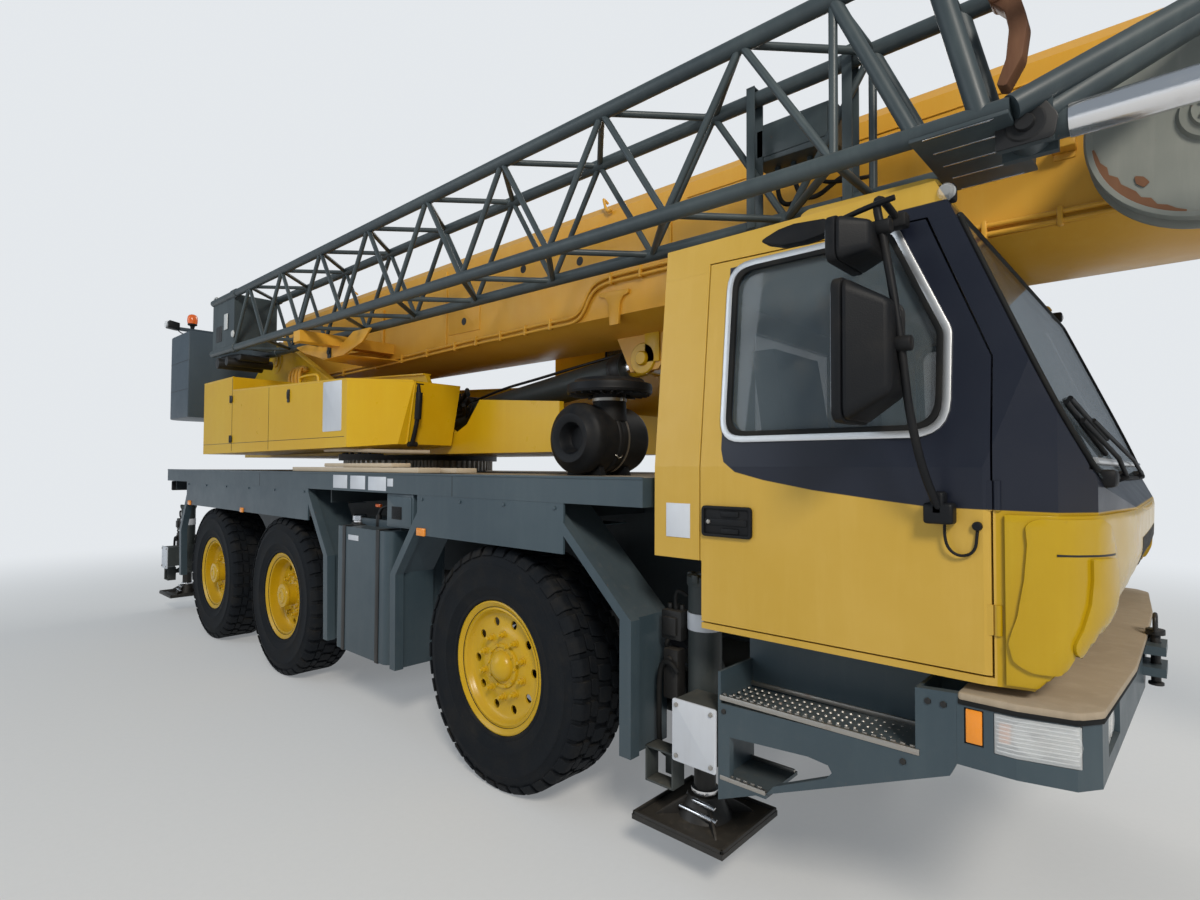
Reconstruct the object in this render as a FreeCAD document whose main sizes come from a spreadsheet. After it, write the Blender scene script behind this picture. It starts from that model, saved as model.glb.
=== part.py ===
"""Mobile crane on three axles, 55 t class, as a parametric document in millimetres.

The frame: +X forward, +Y left, +Z up, the origin on the ground under the middle of the
overall length. Every driving dimension is a cell of the sheet "Sizes".
"""
import FreeCAD, Part
import math
import os
import Sketcher

Vector = FreeCAD.Vector

SIZES = {
    # running gear
    "tyre_radius": 655.0,
    "tyre_width": 384.0,
    "tyre_tread_width": 300.0,
    "rim_seat_radius": 320.0,
    "rim_flange_radius": 357.0,
    "rim_width": 330.0,
    "rim_wall": 12.0,
    "wheel_track": 2190.0,
    "front_axle_x": 875.0,
    "middle_axle_x": -1985.0,
    "rear_axle_x": -3687.0,
    "kingpin_offset": 850.0,
    "kingpin_radius": 30.0,
    "axle_radius": 85.0,
    "hub_bore_radius": 65.0,
    "hand_hole_circle": 238.0,
    "hand_hole_radius": 24.0,
    # carrier
    "deck_rear_x": -5150.0,
    "deck_front_x": 1930.0,
    "deck_half_width": 1313.0,
    "deck_top_z": 1700.0,
    "deck_plate": 20.0,
    "deck_rail_height": 129.0,
    "deck_rail_depth": 70.0,
    "deck_hole_radius": 760.0,
    "frame_half_width": 400.0,
    "frame_bottom_z": 900.0,
    "frame_top_z": 1560.0,
    "rail_thickness": 110.0,
    "engine_bay_x": 700.0,
    "fender_plate": 12.0,
    "fender_strut": 66.0,
    "arch_clear_z": 1325.0,
    "tank_rear_x": -928.0,
    "tank_length": 742.0,
    "tank_bottom_z": 450.0,
    "tank_height": 868.0,
    "tank_depth": 460.0,
    "engine_length": 980.0,
    "engine_width": 520.0,
    "engine_height": 640.0,
    "cleaner_radius": 192.0,
    "cleaner_length": 420.0,
    "cleaner_x": 1223.0,
    "cleaner_z": 1902.0,
    "cleaner_inset": 283.0,
    # outriggers
    "beam_width": 170.0,
    "beam_height": 200.0,
    "beam_wall": 12.0,
    "beam_z": 700.0,
    "box_wall": 16.0,
    "box_inset": 110.0,
    "beam_pitch": 215.0,
    "front_outrigger_x": 2070.0,
    "rear_outrigger_x": -5340.0,
    "jack_inset": 273.0,
    "shield_depth": 173.0,
    "jack_radius": 75.0,
    "jack_rod_radius": 48.0,
    "jack_bottom_z": 458.0,
    "jack_top_z": 1267.0,
    "pad_size": 460.0,
    "pad_bottom_z": 200.0,
    "pad_plate": 22.0,
    "running_gap": 0.5,
    "fit_gap": 0.3,
    # carrier cab
    "cab_rear_x": 1977.0,
    "cab_half_width": 1288.0,
    "cab_top_half_width": 1195.0,
    "cab_bottom_z": 1100.0,
    "cab_notch_x": 2215.0,
    "cab_notch_z": 1370.0,
    "cab_belt_z": 1750.0,
    "cab_top_z": 2700.0,
    "cab_nose_x": 3556.0,
    "cab_nose_z": 1597.0,
    "screen_foot_x": 3490.0,
    "screen_foot_z": 1690.0,
    "screen_head_x": 3118.0,
    "screen_head_z": 2606.0,
    "cab_wall": 46.0,
    "roof_trough_half_width": 560.0,
    "roof_edge_width": 65.0,
    "roof_trough_z": 2588.0,
    "roof_plate": 24.0,
    "door_rear_x": 2204.0,
    "door_front_x": 3244.0,
    "door_gap": 6.0,
    "hinge_x": 3254.0,
    "hinge_inset": 12.0,
    "hinge_radius": 11.0,
    "glass_thickness": 6.0,
    "bumper_rear_x": 3146.0,
    "bumper_front_x": 3490.0,
    "bumper_overhang": 18.0,
    "bumper_top_z": 1062.0,
    "bumper_bottom_z": 850.0,
    "skirt_rear_x": 2304.0,
    "skirt_bottom_z": 455.0,
    "coupling_pin_radius": 19.0,
    # slewing gear and upper frame
    "slew_x": -1906.0,
    "ring_radius": 700.0,
    "ring_bore_radius": 520.0,
    "ring_bottom_z": 1708.0,
    "ring_height": 96.0,
    "upper_floor_plate": 48.0,
    "side_plate_y": 618.0,
    "side_plate": 40.0,
    "upper_front_x": 690.0,
    "upper_rear_x": -4750.0,
    "pivot_x": -3850.0,
    "pivot_z": 2930.0,
    "pivot_pin_radius": 70.0,
    "weight_rear_x": -5604.0,
    "weight_half_width": 1236.0,
    "weight_bottom_z": 2300.0,
    "weight_top_z": 3286.0,
    "weight_corner": 260.0,
    "winch_x": -4480.0,
    "winch_z": 2300.0,
    "winch_radius": 190.0,
    "housing_rear_x": -3987.0,
    "housing_front_x": -825.0,
    "housing_nose_x": -351.0,
    "housing_side_y": 1288.0,
    "housing_inner_y": 640.0,
    "housing_bottom_z": 1885.0,
    "operator_rear_x": -700.0,
    "operator_front_x": 700.0,
    "operator_inner_y": 670.0,
    "operator_outer_y": 1290.0,
    "operator_bottom_z": 1875.0,
    "operator_top_z": 3200.0,
    "operator_wall": 40.0,
    # boom
    "boom_half_width": 430.0,
    "boom_top_z": 3461.0,
    "boom_seam_z": 2705.0,
    "boom_belly_z": 2620.0,
    "boom_tail_x": -4160.0,
    "boom_front_x": 4250.0,
    "boom_wall": 12.0,
    "section_gap": 26.0,
    "section_step": 120.0,
    "section_length": 8150.0,
    "head_length": 700.0,
    "sheave_radius": 172.0,
    "head_sheave_z": 2600.0,
    "lift_foot_x": -2000.0,
    "lift_foot_z": 2085.0,
    "lift_eye_x": 999.0,
    "lift_eye_z": 2470.0,
    "lift_barrel_radius": 111.0,
    "lift_barrel_length": 2780.0,
    "lift_rod_radius": 75.0,
    "lift_pin_radius": 45.0,
    # jib and hook
    "jib_tip_x": -3915.0,
    "jib_joint_x": 2746.0,
    "jib_base_x": 3296.0,
    "jib_near_y": -1236.0,
    "jib_far_y": -840.0,
    "jib_top_z": 3450.0,
    "jib_low_base_z": 2843.0,
    "jib_low_tip_z": 2915.0,
    "jib_chord_radius": 34.0,
    "jib_lace_radius": 16.0,
    "jib_leg_radius": 40.0,
    "reel_x": 3760.0,
    "reel_z": 2850.0,
    "reel_radius": 330.0,
    "reel_outer_y": 800.0,
    "hook_block_drop": 900.0,
    "hook_shank_radius": 28.0,
}

doc = FreeCAD.newDocument("MobileCrane")
sheet = doc.addObject("Spreadsheet::Sheet", "Sizes")
for row, (alias, number) in enumerate(SIZES.items(), start=1):
    sheet.set("A%d" % row, alias)
    sheet.set("B%d" % row, str(number))
    sheet.setAlias("B%d" % row, alias)
doc.recompute()


def text_of(value):
    """The expression of a size, or a plain number written out."""
    return value.text if isinstance(value, Size) else "%.6f" % float(value)


class Size(float):
    """A length that also knows the sheet expression it was worked out from."""

    def __new__(cls, value, text):
        made = float.__new__(cls, value)
        made.text = text
        return made

    def __add__(self, other):
        return Size(float(self) + float(other), "(%s + %s)" % (self.text, text_of(other)))

    def __radd__(self, other):
        return Size(float(other) + float(self), "(%s + %s)" % (text_of(other), self.text))

    def __sub__(self, other):
        return Size(float(self) - float(other), "(%s - %s)" % (self.text, text_of(other)))

    def __rsub__(self, other):
        return Size(float(other) - float(self), "(%s - %s)" % (text_of(other), self.text))

    def __mul__(self, other):
        return Size(float(self) * float(other), "(%s * %s)" % (self.text, text_of(other)))

    def __rmul__(self, other):
        return Size(float(other) * float(self), "(%s * %s)" % (text_of(other), self.text))

    def __truediv__(self, other):
        return Size(float(self) / float(other), "(%s / %s)" % (self.text, text_of(other)))

    def __neg__(self):
        return Size(-float(self), "(0 - %s)" % self.text)


class Sheet:
    """Reads a driving dimension by its alias."""

    def __getattr__(self, alias):
        return Size(SIZES[alias], "Sizes." + alias)


S = Sheet()
nodes = []
jack_y = S.deck_half_width - S.jack_inset
box_half_length = jack_y - S.box_inset
upper_floor_z = S.ring_bottom_z + S.ring_height + S.fit_gap
frame_front_x = S.bumper_rear_x - S.fit_gap
front_rail_top_z = S.cab_bottom_z - S.fit_gap

AXIS_TURN = {
    "x": FreeCAD.Rotation(Vector(0, 1, 0), 90),
    "y": FreeCAD.Rotation(Vector(1, 0, 0), -90),
    "z": FreeCAD.Rotation(),
}
PLANE_TURN = {
    "xy": FreeCAD.Rotation(),
    "xz": FreeCAD.Rotation(Vector(1, 0, 0), 90),
    "yz": FreeCAD.Rotation(Vector(1, 1, 1), 120),
}
PLANE_NORMAL = {"xy": "z", "xz": "y", "yz": "x"}


def move_to(thing, x=0.0, y=0.0, z=0.0):
    """Bind an object's base point to the sheet."""
    for letter, value in (("x", x), ("y", y), ("z", z)):
        thing.setExpression("Placement.Base." + letter, text_of(value))


def block(x_span, y_span, z_span):
    """A box between two values along each axis."""
    box = doc.addObject("Part::Box", "Block")
    spans = (("Length", x_span), ("Width", y_span), ("Height", z_span))
    for name, (low, high) in spans:
        box.setExpression(name, "%s - %s" % (text_of(high), text_of(low)))
    move_to(box, x_span[0], y_span[0], z_span[0])
    return box


def bar(axis, base, radius, length):
    """A round bar from its base point along one axis."""
    made = doc.addObject("Part::Cylinder", "Bar")
    made.Placement = FreeCAD.Placement(Vector(), AXIS_TURN[axis])
    made.setExpression("Radius", text_of(radius))
    made.setExpression("Height", text_of(length))
    move_to(made, *base)
    return made


def outline(plane, points, level=0.0):
    """A sketch of a closed outline whose corners are bound to the sheet."""
    sketch = doc.addObject("Sketcher::SketchObject", "Outline")
    sketch.Placement = FreeCAD.Placement(Vector(), PLANE_TURN[plane])
    sketch.setExpression("Placement.Base." + PLANE_NORMAL[plane], text_of(level))
    corners = [Vector(float(u), float(v), 0) for u, v in points]
    lines = [Part.LineSegment(a, b) for a, b in zip(corners, corners[1:] + corners[:1])]
    sketch.addGeometry(lines, False)
    count = len(points)
    for index in range(count):
        sketch.addConstraint(Sketcher.Constraint("Coincident", index, 2, (index + 1) % count, 1))
    for index, (u, v) in enumerate(points):
        for kind, value in (("DistanceX", u), ("DistanceY", v)):
            rule = Sketcher.Constraint(kind, -1, 1, index, 1, float(value))
            place = sketch.addConstraint(rule)
            if isinstance(value, Size):
                sketch.setExpression("Constraints[%d]" % place, value.text)
    return sketch


def prism(plane, points, low, high):
    """An outline pushed along its plane's normal from low to high."""
    reach = doc.addObject("Part::Extrusion", "Prism")
    backwards = plane == "xz"
    reach.Base = outline(plane, points, high if backwards else low)
    reach.DirMode = "Normal"
    reach.setExpression("LengthFwd", "%s - %s" % (text_of(high), text_of(low)))
    reach.Solid = True
    return reach


def turned(points, axis, centre):
    """A profile of (radius, distance along the axis) turned about an axis through centre."""
    shape = doc.addObject("Part::Revolution", "Turned")
    shape.Source = outline("xz", points)
    shape.Axis = Vector(0, 0, 1)
    shape.Base = Vector(0, 0, 0)
    shape.Angle = 360.0
    shape.Solid = True
    shape.Placement = FreeCAD.Placement(Vector(), AXIS_TURN[axis])
    move_to(shape, *centre)
    return shape


def joined(*things):
    """Several objects as one solid."""
    made = doc.addObject("Part::MultiFuse", "Joined")
    made.Shapes = list(things)
    made.Refine = True
    return made


def cut(base, *tools):
    """An object with the tools taken away."""
    made = doc.addObject("Part::Cut", "Cut")
    made.Base = base
    made.Tool = tools[0] if len(tools) == 1 else joined(*tools)
    return made


def common(first, second):
    """What two objects share."""
    made = doc.addObject("Part::Common", "Shared")
    made.Base = first
    made.Tool = second
    return made


def feature(shape):
    """A form worked out with the kernel's own functions, for arcs, lofts and lattices."""
    made = doc.addObject("Part::Feature", "Form")
    made.Shape = shape
    return made


def group(*things):
    """Like pieces of one body that don't touch, kept in one node."""
    made = doc.addObject("Part::Compound", "Group")
    made.Links = list(things)
    return made


def node(label, thing):
    """Name a finished sub-part and keep it for export."""
    thing.Label = label
    nodes.append(thing)
    return thing


def span(side, near, far):
    """A Y span on the left (side 1) or the right (side -1)."""
    return (near, far) if side > 0 else (-far, -near)


SIDES = (("right", -1), ("left", 1))
AXLES = (("front", S.front_axle_x), ("middle", S.middle_axle_x), ("rear", S.rear_axle_x))

# Wheels: a tyre ring and a dished rim with hand holes, turning on a spindle.

tyre_z = S.tyre_radius
track_y = S.wheel_track / 2


def tyre(x, side):
    """A tyre ring with bulged walls; its bead lies just outside the rim seat."""
    half = S.tyre_width / 2
    tread = S.tyre_tread_width / 2
    bead = S.rim_width / 2 - S.rim_wall - 1.0
    seat = S.rim_seat_radius + S.fit_gap
    flange = S.rim_flange_radius + 4.0
    points = [
        (seat, -bead), (flange, -bead), (flange + 50.0, -half + 10.0),
        (S.tyre_radius - 155.0, -half), (S.tyre_radius - 60.0, -half + 14.0),
        (S.tyre_radius - 12.0, -tread), (S.tyre_radius, -tread + 26.0),
        (S.tyre_radius, tread - 26.0), (S.tyre_radius - 12.0, tread),
        (S.tyre_radius - 60.0, half - 14.0), (S.tyre_radius - 155.0, half),
        (flange + 50.0, half - 10.0), (flange, bead), (seat, bead),
    ]
    return turned(points, "y", (x, side * track_y, tyre_z))


def rim(x, side, dish):
    """A rim ring with a disc set in by dish from its outer edge, and a hub."""
    half = S.rim_width / 2
    wall = S.rim_wall
    seat = S.rim_seat_radius
    flange = S.rim_flange_radius
    face = side * (half - dish)
    back = face - side * wall
    hub_out = face + side * (dish * 0.55 + 30.0)
    hub_in = face - side * 90.0
    ring = [
        (seat - wall, -half), (flange, -half), (flange, -half + wall), (seat, -half + wall),
        (seat, half - wall), (flange, half - wall), (flange, half), (seat - wall, half),
    ]
    disc = [
        (S.hub_bore_radius, hub_in), (150.0, hub_in), (155.0, back), (seat - wall + 2.0, back),
        (seat - wall + 2.0, face), (205.0, face), (150.0, face + side * 12.0),
        (130.0, hub_out - side * 12.0), (118.0, hub_out), (S.hub_bore_radius, hub_out),
    ]
    cap = [(0.0, hub_out - side * 14.0), (S.hub_bore_radius + 4.0, hub_out - side * 14.0),
           (S.hub_bore_radius + 4.0, hub_out), (0.0, hub_out + side * 16.0)]
    centre = (x, side * track_y, tyre_z)
    body = joined(turned(ring, "y", centre), turned(disc, "y", centre), turned(cap, "y", centre))
    holes = []
    circle = S.hand_hole_circle
    low = side * track_y + (back if side > 0 else face) - 30.0
    for count in range(10):
        angle = math.radians(36 * count + 18)
        holes.append(bar("y", (x + circle * math.cos(angle), low, tyre_z + circle * math.sin(angle)),
                         S.hand_hole_radius, 72.0))
    return cut(body, *holes)


def knuckle(x, side):
    """Two ears on the kingpin, a brake drum and the spindle that carries the wheel."""
    pin_y = side * S.kingpin_offset
    ear = 75.0
    gap = 70.0
    thick = 30.0
    ears = [
        bar("z", (x, pin_y, tyre_z + gap), ear, thick),
        bar("z", (x, pin_y, tyre_z - gap - thick), ear, thick),
        block((x - 70.0, x + 70.0), span(side, S.kingpin_offset, S.kingpin_offset + 110.0),
              (tyre_z + gap, tyre_z + gap + thick)),
        block((x - 70.0, x + 70.0), span(side, S.kingpin_offset, S.kingpin_offset + 110.0),
              (tyre_z - gap - thick, tyre_z - gap)),
        bar("z", (x, pin_y, tyre_z - gap - 6.0), S.kingpin_radius - S.fit_gap, gap * 2 + 12.0),
    ]
    drum_low = side * (S.kingpin_offset + 95.0)
    drum = bar("y", (x, drum_low if side > 0 else drum_low - 60.0, tyre_z), 215.0, 60.0)
    far = S.kingpin_offset + 150.0
    stub_low = far if side > 0 else -(far + 155.0)
    spindle = bar("y", (x, stub_low, tyre_z), S.hub_bore_radius - S.fit_gap, 155.0)
    return joined(*ears, drum, spindle)


for axle_name, axle_x in AXLES:
    dish = 62.0 if axle_name == "front" else 120.0
    for side_name, side in SIDES:
        tail = "%s_%s" % (axle_name, side_name)
        node("tyre_" + tail, tyre(axle_x, side))
        node("rim_" + tail, rim(axle_x, side, dish))
        node("knuckle_" + tail, knuckle(axle_x, side))


def axle(x):
    """An axle tube with a round differential case and bored ends for the kingpins."""
    half = S.kingpin_offset
    tube = joined(bar("y", (x, -half + 85.0, tyre_z), S.axle_radius, half * 2 - 170.0),
                  bar("y", (x, -half + 30.0, tyre_z), S.axle_radius - 27.0, half * 2 - 60.0))
    case = turned([(0.0, -150.0), (150.0, -150.0), (225.0, -60.0), (225.0, 60.0), (150.0, 150.0),
                   (0.0, 150.0)], "x", (x, 0.0, tyre_z))
    ends = []
    bores = []
    for side in (-1, 1):
        ends.append(bar("z", (x, side * half, tyre_z - 62.0), S.axle_radius - 15.0, 124.0))
        bores.append(bar("z", (x, side * half, tyre_z - 80.0), S.kingpin_radius, 160.0))
    hangers = []
    for side in (-1, 1):
        hangers.append(block((x - 60.0, x + 60.0), span(side, 300.0, 380.0),
                             (tyre_z, S.frame_bottom_z - S.fit_gap)))
    return cut(joined(tube, case, *ends, *hangers), *bores)


node("axles", group(*[axle(x) for _, x in AXLES]))

# Chassis: a closed box behind, two rails beside the engine in front, the slewing
# pedestal and the two cross boxes in which the outrigger beams slide.


def outrigger_box(x):
    """A cross box with two tunnels side by side; x is the rear beam's middle."""
    half_tunnel = S.beam_width / 2 + S.running_gap
    low = x - half_tunnel - S.box_wall
    high = x + S.beam_pitch + half_tunnel + S.box_wall
    z_low = S.beam_z - S.beam_height / 2 - S.running_gap
    z_high = S.beam_z + S.beam_height / 2 + S.running_gap
    outer = block((low, high), (-box_half_length, box_half_length),
                  (z_low - S.box_wall, z_high + S.box_wall))
    reach = box_half_length + 10.0
    tunnels = [block((mid - half_tunnel, mid + half_tunnel), (-reach, reach), (z_low, z_high))
               for mid in (x, x + S.beam_pitch)]
    return outer, tunnels, (low, high, z_high + S.box_wall)


def chassis():
    """The welded carrier frame."""
    half = S.frame_half_width
    tail_x = S.rear_outrigger_x - S.beam_width / 2 - S.running_gap - S.box_wall
    spine = block((tail_x, S.engine_bay_x), (-half, half), (S.frame_bottom_z, S.frame_top_z))
    parts = [spine]
    for side in (-1, 1):
        parts.append(block((S.engine_bay_x - 10.0, frame_front_x),
                           span(side, half - S.rail_thickness, half),
                           (S.frame_bottom_z, front_rail_top_z)))
        parts.append(block((S.engine_bay_x - 10.0, S.cab_rear_x - 60.0),
                           span(side, half - S.rail_thickness, half),
                           (S.frame_bottom_z, S.frame_top_z)))
    parts.append(block((frame_front_x - 60.0, frame_front_x), (-half, half),
                       (S.frame_bottom_z, front_rail_top_z)))
    parts.append(bar("z", (S.slew_x, 0.0, S.frame_top_z - 40.0), S.ring_radius - 60.0,
                     S.ring_bottom_z - S.frame_top_z + 40.0 - S.fit_gap))
    tunnels = []
    for x in (S.front_outrigger_x - S.beam_pitch, S.rear_outrigger_x):
        outer, holes, (low, high, top) = outrigger_box(x)
        parts.append(outer)
        parts.append(block((low, high), (-half, half), (top - 10.0, S.frame_bottom_z + 60.0)))
        tunnels += holes
    for x in (S.deck_rear_x + 60.0, -4300.0, -2800.0, -1150.0, 0.0, 1200.0):
        reach = S.deck_half_width - S.deck_rail_depth - S.fit_gap
        parts.append(block((x, x + 16.0), (-reach, reach),
                           (S.frame_top_z - 90.0, S.deck_top_z - S.deck_plate - S.fit_gap)))
    bay = block((S.engine_bay_x + 10.0, S.cab_rear_x - 60.0),
                (-half + S.rail_thickness, half - S.rail_thickness),
                (S.frame_bottom_z - 5.0, S.deck_top_z))
    return cut(joined(*parts), *tunnels, bay)


node("chassis", chassis())

# Deck, fenders and what hangs on the carrier's flanks.


def deck():
    """The deck plate with its side rails and the round opening for the pedestal."""
    plate = block((S.deck_rear_x, S.deck_front_x), (-S.deck_half_width, S.deck_half_width),
                  (S.deck_top_z - S.deck_plate, S.deck_top_z))
    rails = [block((S.deck_rear_x, S.deck_front_x),
                   span(side, S.deck_half_width - S.deck_rail_depth, S.deck_half_width),
                   (S.deck_top_z - S.deck_rail_height, S.deck_top_z)) for side in (-1, 1)]
    ends = [block((x, x + 20.0), (-S.deck_half_width, S.deck_half_width),
                  (S.deck_top_z - S.deck_rail_height, S.deck_top_z))
            for x in (S.deck_rear_x, S.deck_front_x - 20.0)]
    hole = bar("z", (S.slew_x, 0.0, S.deck_top_z - 200.0), S.deck_hole_radius, 400.0)
    return cut(joined(plate, *rails, *ends), hole)


node("deck", deck())

# Fender struts: name, top x, knee x, foot x, knee z, foot z, and how far the left
# one's knee and foot stand behind the right one's.
STRUTS = (
    ("front", 1308.0, 1833.0, 1833.0, 1071.0, 474.0, 133.0),
    ("behind_front", 267.0, -124.0, -114.0, 1051.0, 443.0, 0.0),
    ("before_middle", -1443.0, -1082.0, -1061.0, 1081.0, 463.0, 0.0),
    ("rear", -4316.0, -4638.0, -4605.0, 1033.0, 536.0, 0.0),
)
# Struts that carry a mud-guard sheet, and how far in from the flank it reaches.
SHEETED = ("front", "behind_front", "before_middle")
SHEET_DEPTH = 300.0
# Panels over the arches: rear x, front x.
PANELS = ((-4430.0, -1390.0), (154.0, 1440.0))


def fenders(side):
    """Plate panels and cranked struts under one deck rail."""
    rail_low = S.deck_top_z - S.deck_rail_height - S.fit_gap
    outer = S.deck_half_width - 2.0
    parts = []
    for low, high in PANELS:
        parts.append(block((low, high), span(side, outer - S.fender_plate, outer),
                           (S.arch_clear_z, rail_low)))
        parts.append(block((low, high), span(side, outer - 480.0, outer),
                           (S.arch_clear_z + 120.0, S.arch_clear_z + 126.0)))
    half = S.fender_strut / 2
    sheet = S.fender_plate / 2
    for name, top_x, knee_x, foot_x, knee_z, foot_z, left_shift in STRUTS:
        if side > 0:
            knee_x -= left_shift
            foot_x -= left_shift
        points = [(top_x - half, rail_low), (knee_x - half, knee_z), (foot_x - half, foot_z),
                  (foot_x + half, foot_z), (knee_x + half, knee_z), (top_x + half, rail_low)]
        parts.append(prism("xz", points, *span(side, outer - 60.0, outer)))
        if name in SHEETED:
            points = [(top_x - sheet, rail_low), (knee_x - sheet, knee_z), (foot_x - sheet, foot_z),
                      (foot_x + sheet, foot_z), (knee_x + sheet, knee_z), (top_x + sheet, rail_low)]
            parts.append(prism("xz", points, *span(side, outer - SHEET_DEPTH, outer - 50.0)))
    return joined(*parts)


node("fenders", group(*[fenders(side) for _, side in SIDES]))


def tank(side):
    """A side tank with rounded upright edges."""
    outer = S.deck_half_width - 5.0
    box = block((S.tank_rear_x, S.tank_rear_x + S.tank_length), span(side, outer - S.tank_depth, outer),
                (S.tank_bottom_z, S.tank_bottom_z + S.tank_height))
    rounded = doc.addObject("Part::Fillet", "Rounded")
    rounded.Base = box
    rounded.Edges = [(index, 60.0, 60.0) for index in (1, 3, 5, 7)]
    strap_low = S.tank_bottom_z + S.tank_height - 10.0
    hanger = block((S.tank_rear_x + 100.0, S.tank_rear_x + S.tank_length - 100.0),
                   span(side, S.frame_half_width + S.fit_gap, outer - 150.0),
                   (strap_low, strap_low + 60.0))
    return joined(rounded, hanger)


node("side_tanks", group(*[tank(side) for _, side in SIDES]))


def carrier_engine():
    """The engine as one block on four feet between the frame's rails."""
    rear = S.engine_bay_x + 100.0
    low = S.frame_bottom_z + 10.0
    half = S.engine_width / 2
    reach = S.frame_half_width - S.rail_thickness - S.fit_gap
    parts = [block((rear, rear + S.engine_length), (-half, half), (low, low + S.engine_height))]
    for foot_x in (rear + 80.0, rear + S.engine_length - 180.0):
        parts.append(block((foot_x, foot_x + 100.0), (-reach, reach), (low + 120.0, low + 180.0)))
    return joined(*parts)


node("carrier_engine", carrier_engine())


def air_cleaner():
    """A drum lying across the deck, its stand and a round rain cap on a neck."""
    y_low = S.cleaner_inset - S.deck_half_width
    drum = bar("y", (S.cleaner_x, y_low, S.cleaner_z), S.cleaner_radius, S.cleaner_length)
    face = bar("y", (S.cleaner_x, y_low - 40.0, S.cleaner_z), S.cleaner_radius * 0.7, 60.0)
    stand = block((S.cleaner_x - 120.0, S.cleaner_x + 120.0), (y_low + 80.0, y_low + 340.0),
                  (S.deck_top_z + S.fit_gap, S.cleaner_z - 60.0))
    neck = bar("z", (S.cleaner_x + 80.0, y_low + 206.0, S.cleaner_z), 90.0, 270.0)
    cap = bar("z", (S.cleaner_x + 80.0, y_low + 206.0, S.cleaner_z + 255.0), 262.0 * 0.9, 78.0)
    return joined(drum, face, stand, neck, cap)


node("air_cleaner", air_cleaner())

# Outrigger beams with their jacks.


def outrigger_beam(x, side):
    """A square tube that slides out sideways, with the upright jack tube at its end."""
    half = S.beam_width / 2
    length_in = 1000.0
    outer = block((x - half, x + half), span(side, -length_in, jack_y),
                  (S.beam_z - S.beam_height / 2, S.beam_z + S.beam_height / 2))
    inner = block((x - half + S.beam_wall, x + half - S.beam_wall),
                  span(side, -length_in - 5.0, jack_y - 110.0),
                  (S.beam_z - S.beam_height / 2 + S.beam_wall,
                   S.beam_z + S.beam_height / 2 - S.beam_wall))
    jack = bar("z", (x, side * jack_y, S.jack_bottom_z), S.jack_radius,
               S.jack_top_z - S.jack_bottom_z)
    bore = bar("z", (x, side * jack_y, S.jack_bottom_z - 5.0), S.jack_rod_radius + S.fit_gap,
               S.jack_top_z - S.jack_bottom_z - 20.0)
    shield_y = jack_y + 95.0
    shield = block((x + 21.0, x + 225.0), span(side, shield_y, shield_y + S.shield_depth),
                   (S.beam_z - 127.0, S.beam_z + 90.0))
    arm = block((x - 40.0, x + 60.0), span(side, jack_y + 40.0, shield_y + 15.0),
                (S.beam_z - 80.0, S.beam_z + 40.0))
    return cut(joined(outer, jack, shield, arm), inner, bore)


def jack_foot(x, side):
    """The jack's rod on a square pad with a gusseted socket."""
    y = side * jack_y
    half = S.pad_size / 2
    pad = block((x - half, x + half), (y - half, y + half), (S.pad_bottom_z, S.pad_bottom_z + S.pad_plate))
    socket = doc.addObject("Part::Cone", "Socket")
    socket.setExpression("Radius1", "120")
    socket.setExpression("Radius2", "75")
    socket.setExpression("Height", "90")
    move_to(socket, x, y, S.pad_bottom_z + S.pad_plate - 2.0)
    rod = bar("z", (x, y, S.pad_bottom_z + 60.0), S.jack_rod_radius, 860.0)
    return joined(pad, socket, rod)


OUTRIGGERS = (
    ("front_right", S.front_outrigger_x, -1), ("front_left", S.front_outrigger_x - S.beam_pitch, 1),
    ("rear_right", S.rear_outrigger_x, -1), ("rear_left", S.rear_outrigger_x + S.beam_pitch, 1),
)
for place_name, beam_x, side in OUTRIGGERS:
    node("beam_" + place_name, outrigger_beam(beam_x, side))
    node("foot_" + place_name, jack_foot(beam_x, side))

# Carrier cab: a hollow shell of full width, split at its doors, with cut windows.


def cab_solid(inset):
    """The cab's outer form drawn in by inset on every side."""
    low = S.cab_bottom_z + inset
    rear = S.cab_rear_x + inset
    notch_x = S.cab_notch_x + inset
    notch_z = S.cab_notch_z + inset
    nose = S.cab_nose_x - inset
    side_view = [
        (rear, notch_z), (notch_x, notch_z), (notch_x, low), (nose - 216.0, low),
        (nose - 160.0, low + 60.0), (nose - 100.0, low + 160.0), (nose - 45.0, low + 250.0),
        (nose - 8.0, low + 350.0), (nose, S.cab_nose_z), (S.screen_foot_x - inset, S.screen_foot_z),
        (S.screen_head_x - inset, S.screen_head_z),
        (S.screen_head_x - 48.0 - inset, S.cab_top_z - inset), (rear, S.cab_top_z - inset),
    ]
    half = S.cab_half_width - inset
    top_half = S.cab_top_half_width - inset
    front_view = [
        (-half, low - 5.0), (half, low - 5.0), (half, S.cab_belt_z), (top_half, S.cab_top_z + 5.0),
        (-top_half, S.cab_top_z + 5.0), (-half, S.cab_belt_z),
    ]
    plan = [
        (rear - 5.0, -half - 5.0), (nose - 356.0, -half - 5.0), (nose - 156.0, -half + 48.0),
        (nose - 76.0, -half + 190.0), (nose - 11.0, -half + 688.0), (nose + 4.0, 0.0),
        (nose - 11.0, half - 688.0), (nose - 76.0, half - 190.0), (nose - 156.0, half - 48.0),
        (nose - 356.0, half + 5.0), (rear - 5.0, half + 5.0),
    ]
    reach = S.cab_half_width + S.cab_top_half_width
    side_prism = prism("xz", side_view, -reach, reach)
    front_prism = prism("yz", front_view, S.cab_rear_x - 50.0, S.cab_rear_x + 1700.0)
    plan_prism = prism("xy", plan, S.cab_bottom_z - 50.0, S.cab_top_z + 50.0)
    return common(common(side_prism, front_prism), plan_prism)


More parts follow.
